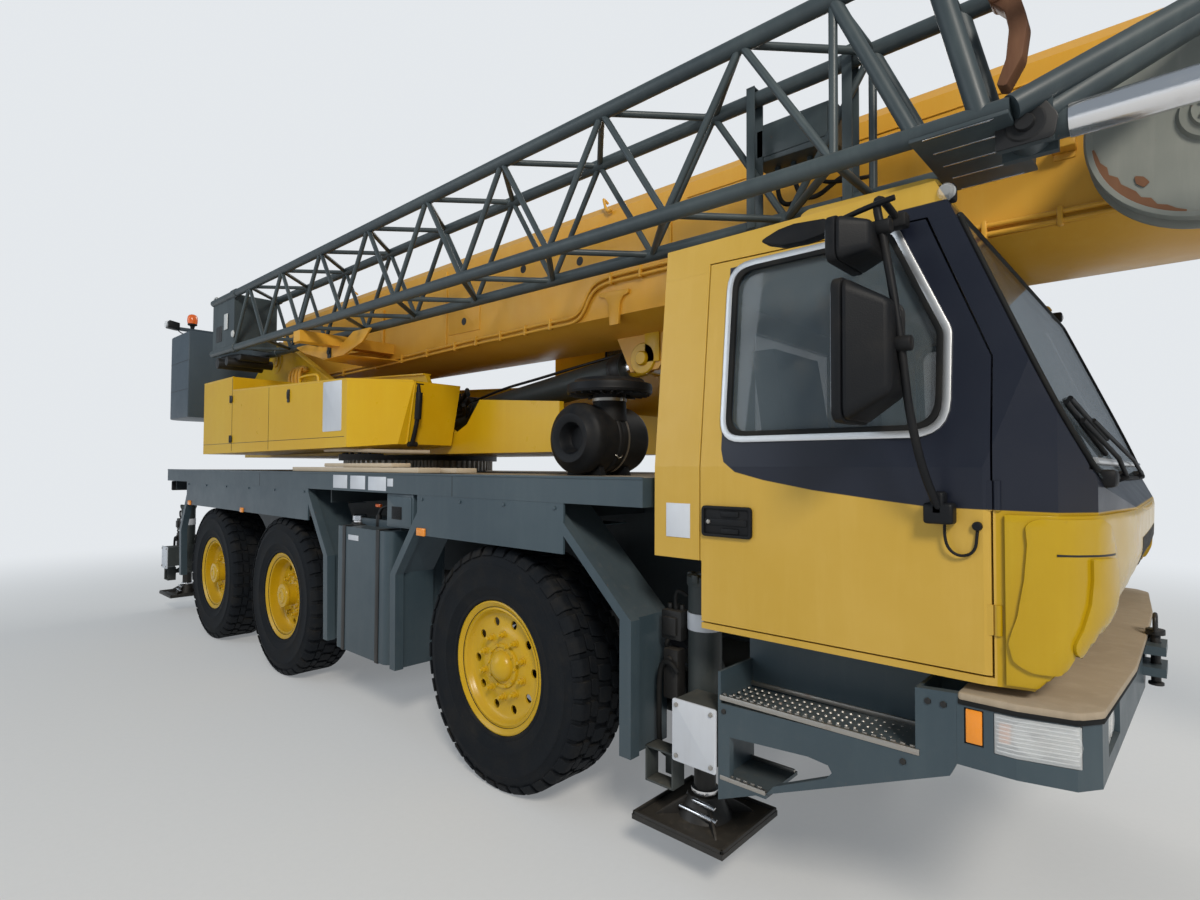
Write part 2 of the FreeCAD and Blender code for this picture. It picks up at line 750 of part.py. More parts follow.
def door_view(grow):
    """The door's outline from the side, grown outwards by grow."""
    rear = S.door_rear_x - grow
    front = S.door_front_x + grow
    low = S.cab_bottom_z + 23.0 - grow
    return [(rear, low), (front, low), (front, 2090.0), (3050.0 + grow, 2580.0 + grow),
            (rear, 2600.0 + grow)]


# The door window's outline from the side.
door_window_view = [
    (2390.0, 1864.0), (3040.0, 1864.0), (3112.0, 1935.0), (3112.0, 2184.0), (2960.0, 2530.0),
    (2925.0, 2556.0), (2390.0, 2556.0), (2322.0, 2490.0), (2322.0, 1935.0),
]


def side_band(side, near, far):
    """An upright sheet that follows the cab's flank, between two depths."""
    points = []
    for depth in (near, far):
        line = [(S.cab_half_width - depth, S.cab_bottom_z - 50.0),
                (S.cab_half_width - depth, S.cab_belt_z), (S.cab_top_half_width - depth, S.cab_top_z)]
        points += line if depth is near else line[::-1]
    return prism("yz", [(side * y, z) for y, z in points], S.cab_rear_x, S.cab_rear_x + 1500.0)


windscreen_view = [(-1130.0, 1745.0), (1130.0, 1745.0), (1040.0, 2540.0), (-1040.0, 2540.0)]
screen_low = (float(S.screen_foot_x), float(S.screen_foot_z))
screen_high = (float(S.screen_head_x), float(S.screen_head_z))


def screen_band(near, far, view):
    """A sloped sheet behind the windscreen's plane, cut to a front view."""
    slope = math.hypot(screen_high[0] - screen_low[0], screen_high[1] - screen_low[1])
    nx = (screen_high[1] - screen_low[1]) / slope
    nz = (screen_low[0] - screen_high[0]) / slope
    points = [(screen_low[0] - nx * near, screen_low[1] - nz * near),
              (screen_high[0] - nx * near, screen_high[1] - nz * near),
              (screen_high[0] - nx * far, screen_high[1] - nz * far),
              (screen_low[0] - nx * far, screen_low[1] - nz * far)]
    return common(prism("xz", points, -S.cab_half_width, S.cab_half_width),
                  prism("yz", view, S.cab_rear_x + 900.0, S.cab_rear_x + 1650.0))


HINGE_HEIGHTS = (1250.0, 1620.0)
HINGE_LENGTH = 90.0
DOOR_REACH = 300.0
hinge_y = S.cab_half_width - S.hinge_inset

dish_half_width = S.cab_top_half_width - S.roof_edge_width
dish_view = [
    (-S.roof_trough_half_width, S.roof_trough_z), (S.roof_trough_half_width, S.roof_trough_z),
    (dish_half_width, S.cab_top_z), (dish_half_width, S.cab_top_z + 60.0),
    (-dish_half_width, S.cab_top_z + 60.0), (-dish_half_width, S.cab_top_z),
]
trough = prism("yz", dish_view, S.cab_rear_x - 20.0, S.cab_rear_x + 1400.0)
roof_low = S.roof_trough_z - S.roof_plate
cab_room = ((S.cab_rear_x - 20.0, S.cab_rear_x + 1700.0),
            (-S.cab_half_width - S.cab_top_half_width, S.cab_half_width + S.cab_top_half_width))
cab_outer = cut(cab_solid(0.0), trough)
cab_below = common(cab_outer, block(*cab_room, (S.cab_bottom_z - 20.0, roof_low - S.fit_gap)))
cab_inner = cab_solid(S.cab_wall)
rear_window_view = [(-500.0, 1850.0), (500.0, 1850.0), (500.0, 2450.0), (-500.0, 2450.0)]
door_cuts = []
for side_name, side in SIDES:
    door_reach = span(side, S.cab_half_width - DOOR_REACH, S.cab_half_width + DOOR_REACH)
    door_cuts.append(common(prism("xz", door_view(0.0), *door_reach), side_band(side, -20.0, S.cab_wall)))
screen_cut = screen_band(-20.0, 140.0, windscreen_view)
rear_cut = prism("yz", rear_window_view, S.cab_rear_x - 10.0, S.cab_rear_x + 80.0)
hinges = [bar("z", (S.hinge_x, side * hinge_y, z), S.hinge_radius, HINGE_LENGTH)
          for _, side in SIDES for z in HINGE_HEIGHTS]
cab_walls = cut(cab_below, cab_inner, *door_cuts, screen_cut, rear_cut)
node("cab_shell", joined(cab_walls, *hinges))
cab_top = common(cab_outer, block(*cab_room, (roof_low, S.cab_top_z + 20.0)))
node("cab_roof", cut(cab_top, *door_cuts))


def shrunk(view, amount):
    """A closed outline drawn in by amount towards its middle."""
    middle_y = sum(float(y) for y, _ in view) / len(view)
    middle_z = sum(float(z) for _, z in view) / len(view)
    return [(y - math.copysign(amount, y - middle_y), z - math.copysign(amount, z - middle_z))
            for y, z in view]


rear_glass = prism("yz", shrunk(rear_window_view, float(S.fit_gap)), S.cab_rear_x + 18.0,
                   S.cab_rear_x + 18.0 + S.glass_thickness)
node("cab_glass", group(screen_band(12.0, 18.0, shrunk(windscreen_view, float(S.fit_gap))), rear_glass))

for side_name, side in SIDES:
    reach = span(side, S.cab_half_width - DOOR_REACH, S.cab_half_width + DOOR_REACH)
    window = prism("xz", door_window_view, *reach)
    flank = common(cab_outer, side_band(side, -20.0, S.cab_wall))
    panel = common(flank, prism("xz", door_view(-S.door_gap), *reach))
    tabs = [block((S.door_front_x - 44.0, S.hinge_x - S.hinge_radius - S.fit_gap),
                  span(side, S.cab_half_width - 24.0, S.cab_half_width - 2.0), (z, z + HINGE_LENGTH))
            for z in HINGE_HEIGHTS]
    node("cab_door_" + side_name, joined(cut(panel, window), *tabs))
    sheet_of_glass = side_band(side, 16.0, 22.0)
    pane = prism("xz", shrunk(door_window_view, float(S.fit_gap)), *reach)
    node("door_glass_" + side_name, common(sheet_of_glass, pane))


def mirror_set(side):
    """A tall mirror, a wide mirror above it and the bowed arm that holds both."""
    flank = S.cab_half_width
    post_x = 3000.0
    post = (flank + 182.0, flank + 206.0)
    parts = [block((2853.0, 3040.0), span(side, flank + 162.0, flank + 252.0), (1885.0, 2340.0)),
             block((2850.0, 3010.0), span(side, flank + 162.0, flank + 252.0), (2362.0, 2545.0)),
             block((post_x, post_x + 24.0), span(side, *post), (1700.0, 2600.0)),
             block((post_x, post_x + 60.0), span(side, flank + S.fit_gap, post[1]), (1690.0, 1714.0)),
             block((post_x, post_x + 24.0), span(side, flank - 55.0, post[1]), (2577.0, 2600.0))]
    return joined(*parts)


for side_name, side in SIDES:
    node("mirrors_" + side_name, mirror_set(side))


def cab_interior():
    """Two seats, the dash, the steering column and wheel, and the floor they stand on."""
    floor_z = S.cab_bottom_z + S.cab_wall + S.fit_gap
    parts = [block((2270.0, 3260.0), (-1180.0, 1180.0), (floor_z, floor_z + 60.0))]
    for y in (-620.0, 620.0):
        parts.append(block((2290.0, 2760.0), (y - 240.0, y + 240.0), (floor_z + 50.0, 1620.0)))
        parts.append(prism("xz", [(2290.0, 1600.0), (2420.0, 1600.0), (2310.0, 2280.0), (2200.0, 2280.0)],
                           y - 230.0, y + 230.0))
    dash = [(3100.0, floor_z + 50.0), (3240.0, floor_z + 50.0), (3320.0, 1300.0), (3400.0, 1500.0),
            (3400.0, 1640.0), (3230.0, 1700.0), (3080.0, 1600.0)]
    parts.append(prism("xz", dash, -1080.0, 1080.0))
    column = bar("z", (3060.0, 620.0, floor_z + 40.0), 36.0, 620.0)
    wheel = doc.addObject("Part::Torus", "SteeringWheel")
    wheel.Radius1 = 215.0
    wheel.Radius2 = 17.0
    move_to(wheel, 3060.0, 620.0, floor_z + 650.0)
    spoke = block((2850.0, 3270.0), (600.0, 640.0), (floor_z + 640.0, floor_z + 660.0))
    return joined(*parts, column, wheel, spoke)


node("cab_interior", cab_interior())


STEP_DEPTH = 260.0
SKIRT_PLATE = 30.0
# The opening below the upper step: its lower edge rises from the lower step to a rounded tip.
SKIRT_HOLE = [(2355.0, 708.0), (2355.0, 551.0), (2506.0, 540.0), (2539.0, 581.0), (2736.0, 674.0),
              (2757.0, 699.0), (2743.0, 721.0), (2670.0, 729.0)]


COUPLING_HALF_WIDTH = 90.0


def coupling_block(grow):
    """The space of the tow coupling, grown by a gap on every side."""
    half = COUPLING_HALF_WIDTH + grow
    return block((S.bumper_front_x - grow, S.bumper_front_x + 110.0 + grow), (-half, half),
                 (S.bumper_bottom_z + 70.0 - grow, S.bumper_bottom_z + 190.0 + grow))


def bumper():
    """The bumper beam with its lamp pockets, and a seat for the tow coupling."""
    front = S.bumper_front_x
    half = S.cab_half_width + S.bumper_overhang
    top = S.bumper_top_z
    low = S.bumper_bottom_z
    rear = S.bumper_rear_x
    plan = [(rear, -half), (front - 190.0, -half), (front - 50.0, -half + 36.0), (front, -half + 106.0),
            (front + 40.0, 0.0), (front, half - 106.0), (front - 50.0, half - 36.0),
            (front - 190.0, half), (rear, half)]
    pockets = [coupling_block(S.fit_gap)]
    for side in (-1, 1):
        pockets.append(block((rear + 98.0, front - 40.0), span(side, half - 75.0, half + 5.0),
                             (low + 60.0, top - 33.0)))
        pockets.append(block((rear + 20.0, rear + 72.0), span(side, half - 14.0, half + 5.0),
                             (low + 68.0, top - 36.0)))
        pockets.append(block((front - 60.0, front + 40.0), span(side, 820.0, 1080.0),
                             (low + 50.0, top - 50.0)))
    return cut(prism("xy", plan, low, top), *pockets)


def tow_coupling():
    """A forked jaw with an upright hole for the coupling pin."""
    front = S.bumper_front_x
    low = S.bumper_bottom_z
    mouth = block((front + 30.0, front + 120.0), (-100.0, 100.0), (low + 105.0, low + 155.0))
    pin_hole = bar("z", (front + 75.0, 0.0, low + 50.0), S.coupling_pin_radius, 160.0)
    return cut(coupling_block(0.0), mouth, pin_hole)


def cab_steps(side):
    """Two steps under one door, between an outer skirt plate and a back panel."""
    half = S.cab_half_width + S.bumper_overhang
    top = S.bumper_top_z
    low = S.bumper_bottom_z
    rear = S.bumper_rear_x - S.fit_gap
    tail = S.skirt_rear_x
    foot = S.skirt_bottom_z
    tread = low - 2.0
    inner = half - STEP_DEPTH
    skirt = [(tail, foot), (rear - 20.0, 808.0), (rear, low), (rear, top), (rear - 116.0, top - 8.0),
             (rear - 118.0, tread), (tail, tread - 20.0)]
    end = [(tail, foot + 20.0), (tail + 12.0, foot + 20.0), (tail + 12.0, 950.0), (tail, 950.0)]
    upper = [(tail, tread - 32.0), (rear - 100.0, tread - 12.0), (rear - 100.0, tread), (tail, tread - 20.0)]
    parts = [
        prism("xz", skirt, *span(side, half - SKIRT_PLATE, half)),
        prism("xz", end, *span(side, inner, half)),
        prism("xz", upper, *span(side, inner, half)),
        block((tail, tail + 204.0), span(side, inner, half), (foot + 70.0, foot + 84.0)),
        block((tail, rear), span(side, inner, inner + 12.0), (tread - 30.0, 1085.0)),
        block((rear - 118.0, rear - 106.0), span(side, inner, half), (tread - 10.0, top - 8.0)),
        block((tail, rear), span(side, S.frame_half_width + 20.0, inner + 5.0), (1040.0, 1085.0)),
    ]
    hole = prism("xz", SKIRT_HOLE, *span(side, half - SKIRT_PLATE - 5.0, half + 5.0))
    return cut(joined(*parts), hole)


node("front_skirt", group(bumper(), tow_coupling(), *[cab_steps(side) for _, side in SIDES]))

# Slewing ring with teeth outside, fixed to the carrier.


def slew_ring():
    """A toothed ring, its teeth made as one outline."""
    teeth = 72
    pitch = 2 * math.pi / teeth
    tip = float(S.ring_radius)
    root = tip - 22.0
    corners = []
    for count in range(teeth):
        for share, radius in ((0.0, root), (0.18, tip), (0.5, tip), (0.68, root)):
            angle = (count + share) * pitch
            corners.append(Vector(radius * math.cos(angle), radius * math.sin(angle), 0))
    wire = Part.makePolygon(corners + corners[:1])
    ring = Part.Face(wire).extrude(Vector(0, 0, float(S.ring_height)))
    bore = Part.makeCylinder(float(S.ring_bore_radius), float(S.ring_height) + 2, Vector(0, 0, -1))
    ring = ring.cut(bore)
    made = feature(ring)
    move_to(made, S.slew_x, 0.0, S.ring_bottom_z)
    return made


node("slew_ring", slew_ring())

# Upper frame: two side plates on a floor, with the pivot towers at the rear.


def turntable():
    """The slewing frame with the boom's pivot bores, the lift cylinder's foot and the winch."""
    low = upper_floor_z
    top = low + S.upper_floor_plate
    y_out = S.side_plate_y
    y_in = S.side_plate_y - S.side_plate
    front = S.upper_front_x
    rear = S.upper_rear_x
    side_view = [
        (front, low + 40.0), (front, 2170.0), (-145.0, 2235.0), (-300.0, 2060.0), (-443.0, 1998.0),
        (-600.0, 2080.0), (-866.0, 2482.0), (-2500.0, 2570.0), (S.pivot_x + 420.0, S.pivot_z + 60.0),
        (S.pivot_x + 120.0, S.pivot_z + 170.0), (S.pivot_x - 120.0, S.pivot_z + 170.0),
        (rear, 2600.0), (rear, low + 40.0),
    ]
    parts = [prism("xz", side_view, *span(side, y_in, y_out)) for side in (-1, 1)]
    parts.append(block((rear, front), (-y_out, y_out), (low + 40.0, top + 40.0)))
    parts.append(bar("z", (S.slew_x, 0.0, low), S.ring_radius + 40.0, S.upper_floor_plate))
    parts.append(block((front - 40.0, front), (-y_out, y_out), (low + 40.0, 2130.0)))
    foot_x = S.lift_foot_x
    foot_z = S.lift_foot_z
    for side in (-1, 1):
        parts.append(prism("xz", [(foot_x - 190.0, top), (foot_x + 190.0, top),
                                  (foot_x + 110.0, foot_z + 100.0), (foot_x - 110.0, foot_z + 100.0)],
                           *span(side, 125.0, 165.0)))
    parts.append(bar("y", (foot_x, -165.0, foot_z), S.lift_pin_radius, 330.0))
    drum_half = y_in
    parts.append(bar("y", (S.winch_x, -drum_half, S.winch_z), S.winch_radius, drum_half * 2))
    parts.append(block((S.winch_x - 240.0, S.winch_x + 240.0), span(-1, 300.0, drum_half), (top, 2540.0)))
    holes = [bar("y", (S.pivot_x, -y_out - 5.0, S.pivot_z), S.pivot_pin_radius + S.fit_gap,
                 y_out * 2 + 10.0)]
    return cut(joined(*parts), *holes)


node("turntable", turntable())


def counterweight():
    """A slab with rounded rear corners hung behind the upper frame, with its lamp bar."""
    rear = S.weight_rear_x
    half = S.weight_half_width
    front = S.upper_rear_x - S.fit_gap
    corner = S.weight_corner
    plan = [(front, -half), (rear + corner, -half), (rear + corner * 0.3, -half + corner * 0.3),
            (rear, -half + corner), (rear, half - corner), (rear + corner * 0.3, half - corner * 0.3),
            (rear + corner, half), (front, half)]
    slab = prism("xy", plan, S.weight_bottom_z, S.weight_top_z)
    top = S.weight_top_z
    post = block((rear + 200.0, rear + 240.0), (-1000.0, -960.0), (top - 10.0, top + 120.0))
    rail = block((rear + 200.0, rear + 240.0), (-1200.0, -560.0), (top + 100.0, top + 140.0))
    beacon = bar("z", (rear + 220.0, -1030.0, top + 130.0), 55.0, 190.0)
    return joined(slab, post, rail, beacon)


node("counterweight", counterweight())


def side_housing():
    """The long right housing with its raised rear box and faceted nose."""
    low = S.housing_bottom_z
    box_x = S.housing_rear_x + 835.0
    box_z = low + 721.0
    side_view = [(S.housing_rear_x, low - 20.0), (S.housing_rear_x, box_z), (box_x, box_z),
                 (box_x + 12.0, box_z - 126.0), (S.housing_front_x + 72.0, box_z - 226.0),
                 (S.housing_nose_x, box_z - 258.0),
                 (S.housing_nose_x - 110.0, low + 20.0), (S.housing_front_x, low)]
    plan = [(S.housing_rear_x - 5.0, -S.housing_side_y), (S.housing_front_x, -S.housing_side_y),
            (S.housing_nose_x, -S.housing_side_y + 258.0), (S.housing_nose_x, -S.housing_inner_y),
            (S.housing_rear_x - 5.0, -S.housing_inner_y)]
    body = common(prism("xz", side_view, -S.housing_side_y - 5.0, -S.housing_inner_y + 5.0),
                  prism("xy", plan, low - 60.0, box_z + 60.0))
    seat = block((S.housing_rear_x + 200.0, S.housing_front_x + 125.0),
                 (-S.housing_inner_y - 5.0, -S.side_plate_y - S.fit_gap), (low + 60.0, low + 315.0))
    return joined(body, seat)


node("side_housing", side_housing())


def operator_cab():
    """The crane operator's cab on the left: hollow, with its windows cut."""
    low = S.operator_bottom_z
    top = S.operator_top_z
    wall = S.operator_wall
    rear = S.operator_rear_x
    front = S.operator_front_x
    y_in = S.operator_inner_y
    y_out = S.operator_outer_y
    height = top - low
    knee = low + height * 700.0 / 1325.0
    outer_view = [(rear, low), (front - 120.0, low), (front, low + 260.0), (front, knee),
                  (front - 260.0, top), (rear, top)]
    inner_view = [(rear + wall, low + wall), (front - 120.0 - wall, low + wall),
                  (front - wall, low + 280.0), (front - wall, knee),
                  (front - 260.0 - wall, top - wall), (rear + wall, top - wall)]
    outer = prism("xz", outer_view, y_in, y_out)
    inner = prism("xz", inner_view, y_in + wall, y_out - wall)
    side_window = prism("xz", [(rear + 640.0, knee - 60.0), (front - 90.0, knee - 60.0),
                               (front - 300.0, top - 90.0), (rear + 640.0, top - 90.0)],
                        y_in - 10.0, y_out + 10.0)
    front_window = block((front - 330.0, front + 20.0), (y_in + 70.0, y_out - 70.0),
                         (low + height * 330.0 / 1325.0, top - 110.0))
    rear_window = block((rear - 20.0, rear + 80.0), (y_in + 90.0, y_out - 90.0),
                        (knee + 40.0, top - 120.0))
    seat = block((rear + 180.0, rear + 640.0), (y_in + 90.0, y_out - 90.0),
                 (low + 20.0, low + height * 520.0 / 1325.0))
    back = block((rear + 150.0, rear + 260.0), (y_in + 90.0, y_out - 90.0),
                 (low + height * 400.0 / 1325.0, low + height * 1080.0 / 1325.0))
    mount_low = block((rear + 100.0, front - 300.0), (S.side_plate_y + S.fit_gap, y_in + 5.0),
                      (low + 10.0, low + 200.0))
    shell = cut(cut(outer, inner), side_window, front_window, rear_window)
    return joined(shell, seat, back, mount_low)


node("operator_cab", operator_cab())


def operator_glass():
    """The panes of the operator's cab."""
    top = S.operator_top_z
    low = S.operator_bottom_z
    height = top - low
    knee = low + height * 700.0 / 1325.0
    rear = S.operator_rear_x
    front = S.operator_front_x
    panes = []
    view = [(rear + 640.3, knee - 59.7), (front - 90.5, knee - 59.7), (front - 300.3, top - 90.3),
            (rear + 640.3, top - 90.3)]
    panes.append(prism("xz", view, S.operator_outer_y - 24.0, S.operator_outer_y - 18.0))
    panes.append(prism("xz", view, S.operator_inner_y + 18.0, S.operator_inner_y + 24.0))
    panes.append(block((rear + 15.0, rear + 21.0), (S.operator_inner_y + 90.3, S.operator_outer_y - 90.3),
                       (knee + 40.3, top - 120.3)))
    y_span = (S.operator_inner_y + 70.3, S.operator_outer_y - 70.3)
    sill = low + height * 330.0 / 1325.0 + 0.3
    slope = [(front - 18.0, sill), (front - 12.0, sill), (front - 12.0, knee),
             (front - 237.0, top - 111.0), (front - 243.0, top - 111.0), (front - 18.0, knee)]
    panes.append(prism("xz", slope, *y_span))
    return group(*panes)


node("operator_glass", operator_glass())

# Boom: five nested tubes of one family of sections.

# The jib's rests on the boom's flank: rear x, and how far out each reaches.
JIB_RESTS = ((-1797.0, 1276.0), (2600.0, 900.0))
REST_WIDTH = 120.0
JIB_APEX_Y = 600.0
JIB_APEX_Z = 3400.0
SHEAVE_ROWS = (-150.0, 0.0, 150.0)


def boom_face(inset):
    """The boom's section: flat top with cut corners, straight flanks, rounded belly."""
    sagitta = float(S.boom_seam_z - S.boom_belly_z)
    full = float(S.boom_half_width)
    radius = (full * full + sagitta * sagitta) / (2 * sagitta)
    centre = float(S.boom_belly_z) + radius
    half = full - inset
    top = float(S.boom_top_z) - inset
    seam = centre - math.sqrt((radius - inset) ** 2 - half * half)
    belly = centre - radius + inset
    corner = 70.0
    flank_top = Vector(0, half, top - corner)
    points = [Vector(0, -half, seam), Vector(0, -half, top - corner), Vector(0, -half + corner, top),
              Vector(0, half - corner, top), flank_top, Vector(0, half, seam)]
    edges = [Part.LineSegment(a, b).toShape() for a, b in zip(points, points[1:])]
    edges.append(Part.Arc(points[-1], Vector(0, 0, belly), points[0]).toShape())
    return Part.Face(Part.Wire(edges))


def boom_tube(inset, low, high):
    """A hollow length of boom between two values of x."""
    outer = boom_face(inset).extrude(Vector(high - low, 0, 0))
    inner = boom_face(inset + float(S.boom_wall)).extrude(Vector(high - low + 20, 0, 0))
    inner.translate(Vector(-10, 0, 0))
    tube = outer.cut(inner)
    tube.translate(Vector(low, 0, 0))
    return tube


def boom_collar(inset, low, high, grow):
    """A stiffening frame round the front end of a tube."""
    outer = boom_face(inset - grow).extrude(Vector(high - low, 0, 0))
    inner = boom_face(inset + float(S.boom_wall)).extrude(Vector(high - low + 20, 0, 0))
    inner.translate(Vector(-10, 0, 0))
    frame = outer.cut(inner)
    frame.translate(Vector(low, 0, 0))
    return frame


def jib_low_at(x):
    """The height of the stowed jib's lower chords at x."""
    share = (x - S.jib_tip_x) / (S.jib_base_x - S.jib_tip_x)
    return S.jib_low_tip_z + share * (S.jib_low_base_z - S.jib_low_tip_z)


def boom_base():
    """The base section with its pivot bosses, lift bracket and the jib's rests."""
    tail = float(S.boom_tail_x)
    front = float(S.boom_front_x)
    pads = []
    tube = feature(boom_tube(0.0, tail, front).fuse(boom_collar(0.0, front - 90.0, front, 22.0)))
    parts = [tube]
    boss = S.boom_half_width - 6.0
    reach = S.side_plate_y - S.side_plate - 8.0
    for side in (-1, 1):
        low = boss if side > 0 else -reach
        parts.append(bar("y", (S.pivot_x, low, S.pivot_z), S.pivot_pin_radius + 85.0, reach - boss))
        low = boss if side > 0 else -(S.side_plate_y - 2.0)
        parts.append(bar("y", (S.pivot_x, low, S.pivot_z), S.pivot_pin_radius, S.side_plate_y - 2.0 - boss))
    eye_x = S.lift_eye_x
    eye_z = S.lift_eye_z
    bracket = [(eye_x - 260.0, S.boom_seam_z - 10.0), (eye_x + 420.0, S.boom_seam_z - 10.0),
               (eye_x + 120.0, eye_z - 80.0), (eye_x - 110.0, eye_z - 80.0)]
    for side in (-1, 1):
        parts.append(prism("xz", bracket, *span(side, 105.0, 145.0)))
    parts.append(bar("y", (eye_x, -145.0, eye_z), S.lift_pin_radius, 290.0))
    for x, reach_y in JIB_RESTS:
        rest_top = jib_low_at(x + REST_WIDTH) - S.jib_chord_radius - S.fit_gap
        parts.append(block((x, x + REST_WIDTH), (-reach_y, -S.boom_half_width + 10.0),
                           (rest_top - 90.0, rest_top)))
    parts.append(block((front - 85.0, front - 5.0), (-JIB_APEX_Y + S.fit_gap, -S.boom_half_width + 10.0),
                       (JIB_APEX_Z - 60.0, JIB_APEX_Z + 60.0)))
    for side in (-1, 1):
        pad_in = S.boom_half_width - S.boom_wall - S.section_gap + S.fit_gap
        pads.append(block((front - 80.0, front - 10.0), span(side, pad_in, S.boom_half_width - 2.0),
                          (2900.0, 3050.0)))
    hollow = boom_face(float(S.boom_wall)).extrude(Vector(front - tail + 400.0, 0, 0))
    hollow.translate(Vector(tail - 200.0, 0, 0))
    return joined(cut(joined(*parts), feature(hollow)), *pads)


node("boom_base", boom_base())

SECTIONS = ("two", "three", "four", "five")


def slide_pads(order, inset, front):
    """Wear pads: outside at the tail, where a tube rests in the one before, and inside at the front."""
    half = float(S.boom_half_width) - inset
    gap = float(S.section_gap - S.fit_gap)
    tail = front - float(S.section_length)
    wall = float(S.boom_wall)
    pads = []
    for side in (-1, 1):
        low = half - 2.0 if side > 0 else -half - gap
        pads.append(Part.makeBox(160.0, gap + 2.0, 150.0, Vector(tail + 10.0, low, 2900.0)))
        if order < len(SECTIONS):
            low = half - wall - gap if side > 0 else -half + wall - 2.0
            pads.append(Part.makeBox(60.0, gap + 2.0, 150.0, Vector(front - 70.0, low, 2900.0)))
    return pads


for order, name in enumerate(SECTIONS, start=1):
    inset = order * (float(S.boom_wall) + float(S.section_gap))
    front = float(S.boom_front_x) + order * float(S.section_step)
    tube = boom_tube(inset, front - float(S.section_length), front)
    collar = boom_collar(inset, front - 70.0, front, 20.0)
    shape = tube.multiFuse([collar] + slide_pads(order, inset, front))
    if name != "five":
        node("boom_section_" + name, feature(shape))
        continue
    half = float(S.boom_half_width) - inset - 30.0
    head_low = front - 60.0
    head_top = float(S.boom_top_z) - inset
    head_bottom = float(S.boom_belly_z) + inset
    sheave_x = front + S.head_length
    head = [feature(shape)]
    view = [(head_low, head_bottom + 60.0), (sheave_x - 160.0, S.head_sheave_z - 60.0),
            (sheave_x + 60.0, S.head_sheave_z - 80.0), (sheave_x + 120.0, S.head_sheave_z + 60.0),
            (sheave_x - 60.0, head_top + 10.0), (head_low, head_top - 40.0)]
    for side in (-1, 1):
        head.append(prism("xz", view, *span(side, half - 24.0, half)))
    for shift, z in ((0.0, S.head_sheave_z), (-170.0, head_top - 130.0)):
        head.append(bar("y", (sheave_x + shift, -half, z), 45.0, 2 * half))
        for y in SHEAVE_ROWS:
            head.append(bar("y", (sheave_x + shift, y - 26.0, z), S.sheave_radius, 52.0))
    node("boom_section_five", joined(*head))

# Lift cylinder: barrel on the upper frame's foot, rod eye on the boom's bracket.

lift_run = float(S.lift_eye_x - S.lift_foot_x)
lift_rise = float(S.lift_eye_z - S.lift_foot_z)
lift_angle = math.degrees(math.atan2(lift_rise, lift_run))
lift_closed = math.hypot(lift_rise, lift_run)


def along_lift(shape):
    """Turn a form drawn along +X from the foot's pin onto the cylinder's line."""
    shape.rotate(Vector(0, 0, 0), Vector(0, 1, 0), -lift_angle)
    shape.translate(Vector(float(S.lift_foot_x), 0, float(S.lift_foot_z)))
    return feature(shape)


x_way = Vector(1, 0, 0)
y_way = Vector(0, 1, 0)


def lift_barrel():
    """The barrel with its foot eye and open bore."""
    radius = float(S.lift_barrel_radius)
    length = float(S.lift_barrel_length)
    eye = Part.makeCylinder(112.0, 180.0, Vector(0, -90, 0), y_way)
    body = Part.makeCylinder(radius, length - 90.0, Vector(90, 0, 0), x_way)
    gland = Part.makeCylinder(radius + 12.0, 90.0, Vector(length - 90.0, 0, 0), x_way)
    bore = Part.makeCylinder(float(S.lift_rod_radius + S.fit_gap), length, Vector(200, 0, 0), x_way)
    pin = Part.makeCylinder(float(S.lift_pin_radius + S.fit_gap), 200.0, Vector(0, -100, 0), y_way)
    return along_lift(eye.fuse(body).fuse(gland).cut(bore).cut(pin))


def lift_rod():
    """The rod and its eye, open at the pin."""
    eye = Part.makeCylinder(95.0, 180.0, Vector(lift_closed, -90, 0), y_way)
    tail = 215.0
    rod = Part.makeCylinder(float(S.lift_rod_radius), lift_closed - tail - 60.0, Vector(tail, 0, 0), x_way)
    pin_hole = float(S.lift_pin_radius + S.fit_gap)
    pin = Part.makeCylinder(pin_hole, 200.0, Vector(lift_closed, -100, 0), y_way)
    return along_lift(eye.fuse(rod).cut(pin))


node("lift_barrel", lift_barrel())
node("lift_rod", lift_rod())

# Stowed lattice jib on the boom's right side.


def strut_between(start, end, radius):
    """A round tube from one point to another."""
    way = end - start
    return Part.makeCylinder(radius, way.Length, start, way)


JIB_BAYS = 16
JIB_TIP_PLATES = 620.0
JIB_ROD = (3356.0, -1133.0, 2797.0, 800.0, 45.0)


